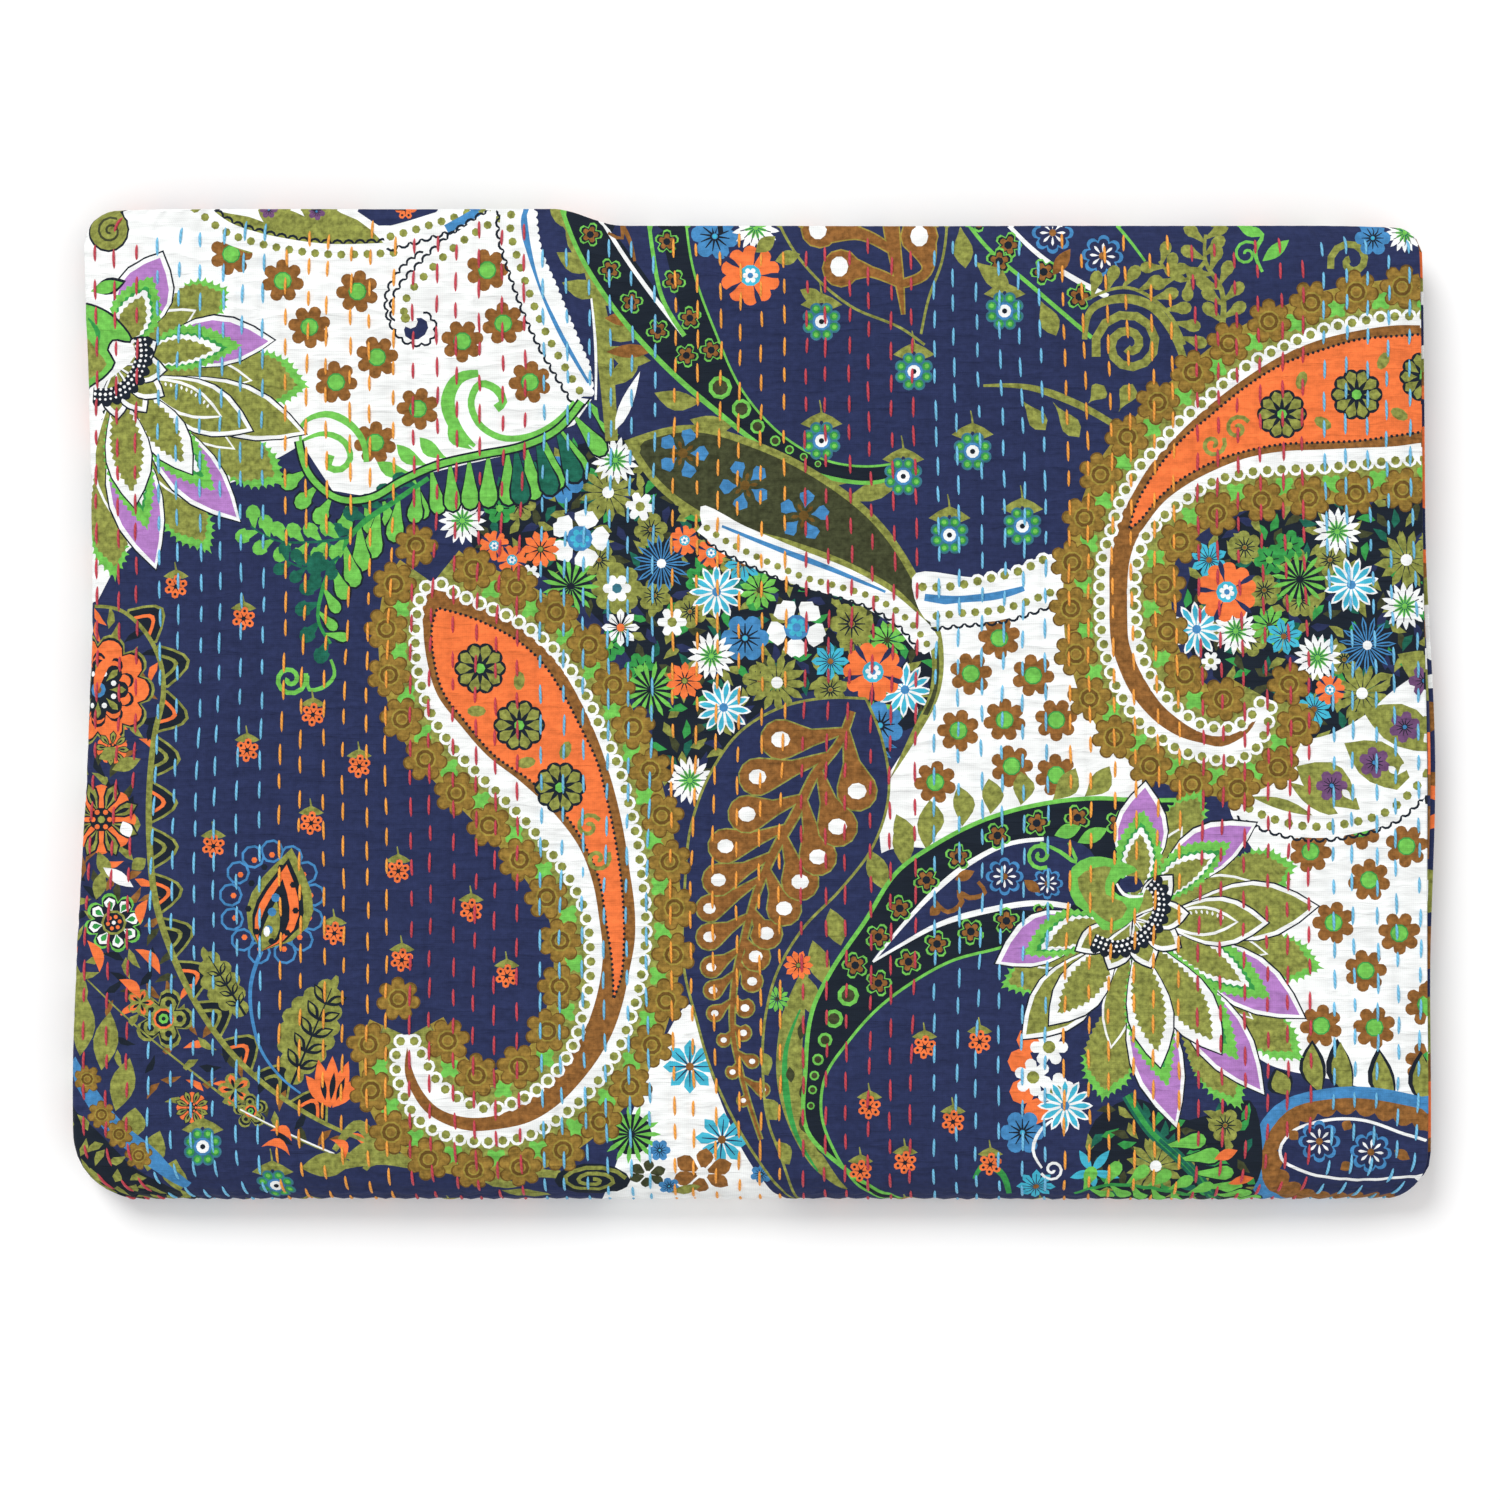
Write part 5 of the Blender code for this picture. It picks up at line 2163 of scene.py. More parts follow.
        for x, y, size, ink in ((-29, -264, 18, Ink.BROWN), (-60, -265, 11.2, Ink.SHADE)):
            for petal in range(6):
                tip = np.array((x, y)) + heading(0.4 + petal * TAU / 6) * (size, 0.8 * size)
                canvas.fill(leaf((x, y), tip, 0.55 * size, 0.66), ink)
            canvas.fill(ring((x, y), 0.2 * size), Ink.WHITE)
        scatter(canvas, Bloom.BLUE_LOBED, 6.19, ((-53, -251), (-48, -273), (4, -265)))
        canvas.fill(ring((-91, -269), 21.4, 14, 0.5), Ink.DARK)
        swirl = spiral((-91, -269), 19.1, 2.2, 10.0)
        canvas.line(Curve(np.array((-91, -269)) + (swirl.points - (-91, -269)) * (1.0, 0.48)), 2.4, Ink.OLIVE)
        self.leaves(Ink.OLIVE, 7.87, (
            (-132, -273, -154, -268), (-115, -282, -143, -277), (-47, -279, -30, -273),
        ))
        FERN.draw(canvas)

    def green_band(self) -> None:
        """Paints the navy paisley with green lines, small flowers and the white point inside."""
        canvas = self.canvas
        outer = Curve.through((
            (240, -54), (213, -54), (195, -53), (163, -56), (130, -65), (102, -79), (82, -93), (62, -123),
            (43, -151), (34, -169), (29, -206), (30, -240), (53, -263), (85, -287),
        ))
        inner = Curve.through((
            (228, -113), (178, -120), (142, -136), (110, -145), (90, -156), (70, -171), (53, -190),
            (40, -210), (38, -231), (46, -253), (65, -279), (85, -296),
        ))
        canvas.fill(np.array((
            (240, -54), (213, -55), (163, -57), (130, -66), (102, -80), (62, -124), (34, -170), (29, -206),
            (30, -240), (60, -287), (211, -287), (228, -113),
        )), Ink.NAVY)
        canvas.fill(between(outer, inner), Ink.DARK)
        self.leaves(Ink.OLIVE, 12.4, (
            (85, -87, 80, -62), (98, -78, 99, -54), (117, -69, 115, -46), (133, -62, 132, -42),
            (168, -54, 181, -36), (186, -52, 200, -35), (150, -57, 150, -38),
        ), belly=0.55, bend=-0.1)
        canvas.line(outer, 2.4, Ink.LIME)
        canvas.line(inner, 1.6, Ink.LIME)
        self.area((
            (67, -145), (102, -106), (142, -80), (172, -75), (189, -82), (195, -99), (178, -114),
            (138, -116), (102, -125),
        ), Ink.NAVY)
        self.path((
            (67, -145), (85, -123), (102, -105), (122, -89), (142, -79), (163, -76),
        ), (1.2, 3.2, 2.2), Ink.WHITE)
        self.path((
            (67, -145), (82, -136), (102, -125), (132, -116), (163, -112), (178, -114),
        ), (1.2, 3.4, 3.0), Ink.WHITE)
        scatter(canvas, Bloom.OUTLINED, 7.87, (
            (205, -67), (182, -64), (159, -67), (137, -74), (115, -86), (97, -99), (82, -115), (70, -131),
            (57, -147), (70, -157), (87, -145), (103, -135), (122, -128), (142, -122), (163, -119),
        ))
        self.rings(0.62, (
            (53, -164, 6.19), (45, -177, 5.34), (40, -189, 4.22), (36, -200, 3.37), (34, -209, 2.81),
            (33, -217, 2.59), (32, -226, 2.25),
        ))
        # Inside the point
        self.bloom(Bloom.BLUE_RIMMED, 141, -97, 10.7)
        self.bloom(Bloom.BLUE_RIMMED, 165, -101, 9)
        self.path((
            (102, -111), (109, -117), (117, -111), (115, -106), (121, -109), (130, -106), (126, -100),
        ), (2.0, 3.4, 2.0), Ink.BROWN)
        self.leaves(Ink.BROWN, 6.19, ((113, -99, 124, -94), (152, -99, 161, -106), (105, -113, 99, -119)))
        canvas.line(spiral((161, -85), 7.87, 1.5, 300.0, -1), 2.2, Ink.LIME)
        self.path(((161, -78), (172, -83), (181, -89), (177, -78)), (1.5, 2.4, 1.5), Ink.LIME)
        self.leaves(Ink.LIME, 8.44, ((169, -74, 184, -69), (182, -78, 199, -70)))

    def right_side(self) -> None:
        """Paints the blue paisley, the leaves and the small flowers at the front right."""
        canvas = self.canvas
        canvas.fill(np.array(((211, -223), (286, -234), (301, -296), (144, -296), (155, -211))), Ink.NAVY)
        self.leaves(Ink.DARK, 15.2, (
            (319, -219, 314, -189), (336, -222, 328, -188), (360, -227, 351, -193), (381, -228, 375, -195),
            (301, -220, 293, -205),
        ), bend=0.08)
        self.leaves(Ink.OLIVE, 11.2, (
            (319, -219, 314, -191), (336, -222, 330, -190), (360, -227, 352, -196), (381, -228, 376, -197),
            (301, -220, 294, -206),
        ), bend=0.08)
        self.area((
            (279, -251), (293, -226), (324, -216), (363, -218), (403, -234), (403, -296), (301, -296),
            (282, -273),
        ), Ink.BLUE)
        self.area((
            (286, -251), (300, -229), (327, -222), (363, -225), (403, -240), (403, -293), (307, -287),
            (287, -268),
        ), Ink.BROWN)
        edge = Curve.through((
            (294, -251), (305, -236), (332, -228), (360, -233), (391, -245), (391, -279), (352, -282),
            (313, -277), (296, -262),
        ), closed=True)
        canvas.fill(scalloped(edge, 11.0, -3.2).points, Ink.NAVY)
        loop = Curve.through((
            (295, -251), (301, -241), (318, -234), (341, -233), (363, -240), (386, -251), (386, -263),
            (363, -268), (335, -269), (307, -263), (296, -256),
        ), closed=True)
        canvas.fill(loop.points, Ink.WHITE)
        canvas.fill(loop.aside(-1.7).points, Ink.NAVY)
        scatter(canvas, Bloom.BLUE_RIMMED, 11.8, ((318, -246), (347, -252)))
        self.leaves(Ink.BROWN, 6.19, (
            (306, -245, 301, -240), (332, -240, 335, -234), (360, -251, 369, -256), (330, -262, 336, -258),
        ))
        # White and turquoise flowers left of it
        self.thicket((
            (192, -234), (211, -222), (245, -234), (279, -223), (286, -251), (279, -285), (195, -285),
        ), Ink.DARK, (Ink.OLIVE, Ink.FOREST, Ink.GREEN, Ink.SHADE), 10.0)
        self.canvas.dots(((155, -189), (150, -201), (151, -218), (159, -229)), 7.31, Ink.ORANGE)
        scatter(canvas, Bloom.WHITE_SMALL, 10.7, ((166, -193), (157, -210), (170, -218)))
        scatter(canvas, Bloom.TURQUOISE_STAR, 15.7, ((175, -226),))
        scatter(canvas, Bloom.BLUE_LOBED, 12.4, ((151, -241),))
        scatter(canvas, Bloom.TURQUOISE, 11.2, ((159, -273),))
        scatter(canvas, Bloom.OLIVE_DAISY, 16.9, ((226, -260),))
        self.leaves(Ink.TURQUOISE, 5.06, (
            (190, -263, 200, -251), (190, -263, 206, -267), (190, -263, 183, -251), (190, -263, 178, -267),
            (190, -263, 192, -274),
        ))
        canvas.line(spiral((168, -262), 6.75, 1.4, 200.0), 1.6, Ink.WHITE)
        self.path(((162, -261), (157, -251), (161, -240), (168, -234)), (1.2, 2.0, 1.4), Ink.WHITE)
        for ink, width in ((Ink.FOREST, 6.4), (Ink.GREEN, 3.0)):
            self.path((
                (210, -220), (223, -240), (240, -256), (258, -277), (265, -296),
            ), (width, width, 0.8 * width), ink)
        self.vine(
            ((228, -245), (245, -261), (259, -279), (273, -293)), Ink.FOREST, Ink.LIME, (2.0, 2.0), 11.0,
            (22.5, 9), (1,), 0.9, Ink.DARK,
        )
        self.vine(
            ((181, -279), (200, -272), (223, -274), (251, -282)), Ink.GREEN, Ink.LIME, (2.0, 3.0), 12.0,
            (16.9, 7.87),
        )
        self.path(((124, -268), (130, -259), (138, -263), (144, -279)), (2.0, 4.0, 3.0), Ink.GREEN)
        scatter(canvas, Bloom.OLIVE_LOBED, 9.56, ((265, -237),))
        self.leaves(Ink.ORANGE, 6.19, ((259, -256, 272, -251), (268, -271, 282, -267)))


def many(bloom: Bloom, radius: float, *places: Point) -> tuple[Placed, ...]:
    """Flowers of one kind and size."""
    return tuple(Placed(bloom, x, y, radius, 0.9 * index) for index, (x, y) in enumerate(places))


BROWN_FLOWERS: tuple[Point, ...] = (
    (-294, 253), (-265, 238), (-223, 232), (-250, 212), (-212, 195), (-235, 181), (-213, 147), (-189, 166),
    (-164, 204), (-150, 244), (-141, 214), (-126, 181), (138, 37), (122, 17), (157, 16), (141, -9),
    (115, -15), (170, -9), (145, -35), (170, -40), (102, -44), (341, -70), (367, -80), (313, -83),
    (346, -99), (326, -123), (363, -129), (344, -150), (378, -169), (319, -181), (349, -182), (378, -202),
)
HANGING_SPRIGS: tuple[Point, ...] = (
    (-325, 66), (-287, 48), (-248, -6), (-285, -26), (-222, -35), (-249, -67), (-304, -80), (-200, -94),
    (-159, -116), (-236, -129), (-198, -144), (-139, -153), (96, -193), (127, -190), (65, -227),
    (112, -235), (85, -258), (133, -259), (60, -263), (-294, -300), (-255, -294), (-215, -301),
    (-174, -295), (-133, -301), (49, -301), (85, -294), (121, -303), (162, -296), (206, -304), (251, -297),
)
HANGING_BEADED: tuple[Point, ...] = (
    (38, 215), (90, 187), (38, 148), (141, 221), (123, 142), (84, 128), (110, 95), (151, 100), (-310, -249),
    (-271, -273),
)
# The first ones fill the ground behind the others
FIELD_FLOWERS: tuple[Placed, ...] = (
    *many(
        Bloom.OLIVE_LOBED, 9.56, (-132, 112), (-87, 81), (-56, 61), (-36, 52), (57, 36), (43, 8), (-58, 98),
        (-36, 115), (3, 13), (-11, 81), (276, 88), (301, 81), (324, 81), (287, 64), (307, 58), (332, 25),
        (279, 36),
    ),
    *many(Bloom.OLIVE_WHITE, 14.6, (-77, 65)),
    *many(
        Bloom.GREEN_LOBED, 9, (-143, 110), (-64, 20), (-109, 58), (-81, 33), (-30, 70), (301, 89),
        (290, 81),
    ),
    *many(Bloom.OLIVE_DAISY, 16.9, (-82, 119), (13, 12), (367, 81), (342, 6)),
    *many(Bloom.GREEN_SPOKED, 16.3, (-103, 66), (307, 70), (-58, 8), (65, -9)),
    *many(Bloom.BLUE_SPOKED, 16.3, (-52, 79), (345, 33), (65, -20)),
    *many(Bloom.BLUE_LOBED, 13.5, (-5, 37), (-22, 263), (-109, 126), (71, -12)),
    *many(
        Bloom.WHITE_GREEN, 13.5, (-164, 103), (-24, 27), (1, 268), (328, 97), (366, 55), (317, 26),
        (271, 41), (-36, -43), (-78, 137),
    ),
    *many(Bloom.NOTCHED, 17.4, (-98, 93), (24, 43)), *many(Bloom.WHITE_SMALL, 8.44, (-46, 46), (-64, 111)),
    *many(Bloom.TURQUOISE_STAR, 15.7, (-21, 63), (-17, -2), (336, 67), (249, 42), (85, 8)),
    *many(Bloom.ORANGE_DAISY, 10.7, (-120, 87), (-39, 13)), *many(Bloom.WHITE_ORANGE, 10.7, (-75, 43)),
    *many(Bloom.GREEN_DAISY, 11.2, (3, 64), (290, 44), (75, 36)),
    *many(Bloom.TURQUOISE, 10.7, (43, 24), (-6, 79), (298, 38), (315, -3), (256, 81)),
    *many(Bloom.HEARTS, 16.9, (-2, 241), (67, 18), (266, 63)), *many(Bloom.OLIVE_LOBED, 12.4, (55, 45)),
    *many(
        Bloom.HEARTS, 8.44, (-146, 89), (-136, 81), (-39, 92), (-24, 85), (324, 8), (307, -31), (290, -20),
    ),
    *many(Bloom.WHITE_SMALL, 5.62, (257, 24), (-126, 73), (272, 2)),
)
BORDER_FLOWERS: tuple[Placed, ...] = (
    Placed(Bloom.MANDALA, -369, 8, 32.1),
    Placed(Bloom.STARRED, -367, -65, 21.4),
    Placed(Bloom.WHITE_RIMMED, -360, -123, 16.9, 0.2),
    Placed(Bloom.KNOTTED, -332, -177, 17.4),
    Placed(Bloom.STARRED, -361, -25, 9.56, 0.3),
    Placed(Bloom.TULIP, -292, -217, 9.56, 0.6),
    Placed(Bloom.KNOTTED, -283, -229, 10.1, 0.4),
    Placed(Bloom.STARRED, -316, -227, 9.56),
    Placed(Bloom.TULIP, -345, -168, 7.87),
)
LOTUS_LEFT = Lotus((-361, 190), (
    Petal(PetalKind.TOOTHED, -292, 236, 32.6, 0.05), Petal(PetalKind.TOOTHED, -245, 178, 37.1, 0.03),
    Petal(PetalKind.TOOTHED, -259, 121, 34.9, -0.02), Petal(PetalKind.TOOTHED, -303, 80, 33.7, -0.04),
    Petal(PetalKind.TOOTHED, -359, 64, 30.4, -0.06), Petal(PetalKind.TIPPED, -334, 251, 28.1, 0.0),
    Petal(PetalKind.TIPPED, -273, 204, 24.7, 0.06), Petal(PetalKind.PLAIN, -255, 153, 25.9, 0.0),
    Petal(PetalKind.TIPPED, -291, 105, 25.9, -0.03), Petal(PetalKind.TIPPED, -337, 79, 25.9, -0.03),
    Petal(PetalKind.VEINED, -285, 155, 24.7, 0.0), Petal(PetalKind.HEARTED, -318, 132, 20.2, 0.02),
    Petal(PetalKind.HEARTED, -349, 114, 21.4, 0.02),
    *(
        Petal(PetalKind.PLAIN, x, y, 11.2)
        for x, y in ((-358, 164), (-344, 167), (-335, 175), (-334, 188), (-339, 202))
    ),
),)
LOTUS_RIGHT = Lotus((213, -121), (
    Petal(PetalKind.TOOTHED, 254, -45, 28.1, 0.02), Petal(PetalKind.TOOTHED, 310, -89, 34.9, 0.03),
    Petal(PetalKind.TOOTHED, 325, -150, 32.6, 0.0), Petal(PetalKind.TOOTHED, 313, -204, 32.6, 0.0),
    Petal(PetalKind.TOOTHED, 277, -233, 32.6, 0.0), Petal(PetalKind.TOOTHED, 195, -228, 37.1, 0.0),
    Petal(PetalKind.TOOTHED, 135, -161, 25.9, 0.04), Petal(PetalKind.TIPPED, 220, -47, 25.9, 0.0),
    Petal(PetalKind.TIPPED, 280, -69, 23.6, 0.07), Petal(PetalKind.PLAIN, 314, -114, 29.2, 0.0),
    Petal(PetalKind.TIPPED, 307, -175, 27, 0.02), Petal(PetalKind.TIPPED, 285, -217, 27, 0.0),
    Petal(PetalKind.PLAIN, 153, -186, 29.2, 0.02), Petal(PetalKind.TIPPED, 237, -235, 25.9, -0.03),
    Petal(PetalKind.TIPPED, 139, -145, 24.7, -0.08), Petal(PetalKind.VEINED, 286, -123, 23.6, 0.0),
    Petal(PetalKind.HEARTED, 261, -194, 24.7, 0.0), Petal(PetalKind.HEARTED, 168, -178, 22.5, 0.02),
    Petal(PetalKind.HEARTED, 228, -201, 21.4, 0.0),
    *(
        Petal(PetalKind.PLAIN, x, y, 11.8)
        for x, y in ((184, -137), (201, -146), (222, -145), (237, -135), (241, -118), (233, -99))
    ),
),)
ORANGE_MIDDLE = BandedPaisley(
    right_chain=(
        (-182, 69), (-187, 61), (-190, 44), (-190, 28), (-187, 11), (-181, -6), (-170, -23), (-157, -37),
        (-143, -51), (-129, -65), (-115, -82), (-103, -99), (-95, -116), (-92, -136), (-92, -155),
        (-96, -175), (-103, -195), (-118, -214), (-132, -223), (-148, -228), (-165, -223), (-179, -211),
        (-187, -197), (-193, -186),
    ),
    left_chain=(
        (-179, 70), (-171, 64), (-153, 56), (-132, 46), (-112, 30), (-98, 11), (-87, -12), (-78, -31),
        (-71, -54), (-66, -76), (-63, -99), (-61, -121), (-63, -150), (-69, -175), (-78, -197), (-92, -217),
        (-109, -232), (-126, -242), (-148, -246), (-171, -243), (-188, -234), (-198, -217), (-201, -197),
        (-197, -186),
    ),
    brown=(
        (
            (-182, 65), (-186, 56), (-186, 42), (-184, 25), (-178, 5), (-165, -12), (-150, -29),
            (-132, -43), (-112, -62), (-98, -81), (-91, -99), (-87, -121), (-85, -141), (-87, -158),
            (-91, -173), (-97, -187), (-105, -200), (-116, -214), (-132, -226), (-148, -232), (-165, -232),
            (-178, -227), (-187, -217), (-192, -206), (-195, -193),
        ),
        (
            (-182, 65), (-160, 59), (-140, 49), (-123, 36), (-112, 25), (-101, 8), (-89, -17), (-81, -40),
            (-74, -68), (-70, -93), (-67, -116), (-67, -133), (-70, -150), (-74, -169), (-80, -186),
            (-88, -200), (-98, -213), (-111, -226), (-126, -235), (-143, -239), (-160, -240), (-174, -236),
            (-185, -229), (-192, -219), (-196, -209), (-195, -193),
        ),
    ),
    orange=(
        (
            (-178, 54), (-181, 44), (-180, 25), (-174, 5), (-164, -8), (-146, -29), (-126, -43),
            (-108, -60), (-96, -78), (-88, -96), (-83, -124), (-80, -144), (-79, -166),
        ),
        (
            (-178, 54), (-160, 49), (-146, 43), (-132, 35), (-118, 22), (-108, 7), (-98, -12), (-88, -33),
            (-83, -52), (-78, -76), (-74, -105), (-73, -133), (-75, -155), (-79, -166),
        ),
    ),
    rosettes=(
        Placed(Bloom.ROSETTE, -154, 20, 14.6), Placed(Bloom.ROSETTE, -132, -12, 14.6),
        Placed(Bloom.ROSETTE, -109, -47, 14.6),
    ),
)
ORANGE_RIGHT = BandedPaisley(
    right_chain=(
        (405, 220), (377, 218), (362, 218), (340, 215), (319, 210), (301, 202), (284, 194), (267, 182),
        (251, 168), (238, 157), (228, 145), (217, 133), (209, 120), (204, 107), (200, 94), (196, 81),
        (195, 69), (195, 53), (196, 38), (199, 25), (203, 12), (209, 1), (217, -10), (228, -18), (238, -25),
        (250, -29), (260, -31), (271, -31), (280, -27), (286, -19), (290, -6), (291, 2),
    ),
    left_chain=(
        (405, 138), (377, 138), (362, 137), (340, 135), (319, 133), (297, 132), (276, 130), (258, 125),
        (245, 117), (235, 110), (226, 101), (219, 92), (216, 82), (214, 69), (214, 53), (216, 38),
        (219, 25), (224, 14), (232, 3), (241, -5), (252, -12), (263, -14), (273, -12), (282, -4), (287, 4),
    ),
    brown=(
        (
            (405, 214), (377, 213), (362, 213), (340, 210), (319, 205), (297, 196), (276, 183), (254, 166),
            (237, 150), (222, 133), (213, 118), (206, 105), (202, 92), (200, 77), (200, 62), (200, 47),
            (201, 34), (205, 21), (211, 8), (219, -3), (230, -13), (241, -19), (252, -22), (263, -24),
            (271, -21), (278, -16), (284, -6),
        ),
        (
            (405, 147), (377, 147), (362, 145), (340, 144), (319, 143), (297, 142), (276, 138), (258, 131),
            (243, 123), (230, 113), (222, 103), (215, 92), (211, 79), (210, 64), (210, 49), (211, 34),
            (215, 23), (222, 10), (230, -1), (238, -8), (247, -14), (258, -18), (269, -17), (277, -13),
            (284, -6),
        ),
    ),
    orange=(
        (
            (405, 208), (377, 208), (362, 207), (340, 205), (319, 199), (297, 191), (276, 178), (254, 160),
            (243, 151), (232, 139), (222, 125), (215, 112), (211, 98),
        ),
        (
            (405, 154), (377, 153), (362, 151), (340, 148), (319, 147), (297, 146), (276, 142), (263, 138),
            (250, 132), (237, 124), (226, 114), (217, 103), (211, 98),
        ),
    ),
    rosettes=(
        Placed(Bloom.ROSETTE, 297, 163, 14.1), Placed(Bloom.ROSETTE, 339, 174, 14.6),
        Placed(Bloom.ROSETTE, 377, 184, 14.1),
    ),
)
FERN = FernPaisley(
    left=(
        (63, 3), (37, 3), (15, -2), (-7, -15), (-25, -40), (-35, -67), (-39, -105), (-39, -151),
        (-33, -175), (-24, -206), (-8, -240), (12, -271), (26, -293),
    ),
    right=(
        (63, 3), (72, -20), (76, -48), (67, -80), (49, -104), (27, -127), (13, -151), (6, -179), (5, -206),
        (8, -235), (16, -257), (26, -293),
    ),
    stem=(
        (55, -4), (49, -20), (34, -40), (24, -61), (12, -82), (2, -105), (-5, -130), (-11, -158),
        (-12, -183), (-7, -209), (4, -245),
    ),
    drops=(
        (15, -20, 8.44), (2, -41, 7.87), (-4, -62, 7.87), (-16, -80, 7.31), (-20, -99, 6.75),
        (-25, -115, 5.62), (-25, -131, 5.62), (-24, -148, 4.5), (-23, -161, 3.94), (-22, -174, 3.37),
        (-17, -189, 2.81), (-12, -207, 2.81), (-6, -223, 2.53), (58, -49, 8.44), (47, -69, 8.44),
        (36, -86, 7.87), (26, -100, 7.87), (17, -115, 7.31), (7, -129, 6.75), (1, -142, 6.19),
        (-1, -156, 4.5), (-5, -171, 3.94), (-6, -185, 3.37), (-1, -201, 2.81), (5, -217, 2.81),
    ),
)


# --------------------------------------------------------------------------------------------------
# The cloth's mesh
# --------------------------------------------------------------------------------------------------


@dataclass
class Sketch:
    """Points and edges in the flat, to be joined into triangles."""

    points: list[np.ndarray] = field(default_factory=list)
    edges: list[np.ndarray] = field(default_factory=list)
    count: int = 0

    def add(self, points: np.ndarray, edges: np.ndarray | None = None) -> None:
        """Adds points, and edges that number them from 0.

        Args:
            points: one row for each.
            edges: pairs of numbers.
        """
        self.points.append(points)
        if edges is not None:
            self.edges.append(edges + self.count)
        self.count += len(points)

    def add_ring(self, points: np.ndarray) -> None:
        """Adds a closed outline."""
        start = np.arange(len(points))
        self.add(points, np.column_stack((start, np.roll(start, -1))))

    def add_line(self, points: np.ndarray) -> None:
        """Adds an open line."""
        start = np.arange(len(points) - 1)
        self.add(points, np.column_stack((start, start + 1)))

    def triangles(self, nearness: float) -> tuple[np.ndarray, np.ndarray]:
        """Joins the points into triangles that keep every edge.

        Args:
            nearness: points closer together than this become one.

        Returns:
            The points and the corners of the triangles, which turn to the left.
        """
        edges = np.vstack(self.edges) if self.edges else np.zeros((0, 2), int)
        found = delaunay_2d_cdt(np.vstack(self.points).tolist(), edges.tolist(), [], 0, nearness, False)
        places = np.array([(place[0], place[1]) for place in found[0]])
        corners = np.array([face for face in found[2] if len(face) == 3], dtype=int)
        first, second, third = places[corners[:, 0]], places[corners[:, 1]], places[corners[:, 2]]
        one, other = second - first, third - first
        area = one[:, 0] * other[:, 1] - one[:, 1] * other[:, 0]
        corners[area < 0] = corners[area < 0][:, ::-1]
        smallest = 1e-9
        return places, corners[np.abs(area) > smallest]


def sides_of(corners: np.ndarray) -> tuple[np.ndarray, np.ndarray]:
    """The directed sides of triangles, three rows for each, and the triangle that each belongs to."""
    sides = corners[:, ((0, 1), (1, 2), (2, 0))].reshape(-1, 2)
    return sides, np.repeat(np.arange(len(corners)), 3)


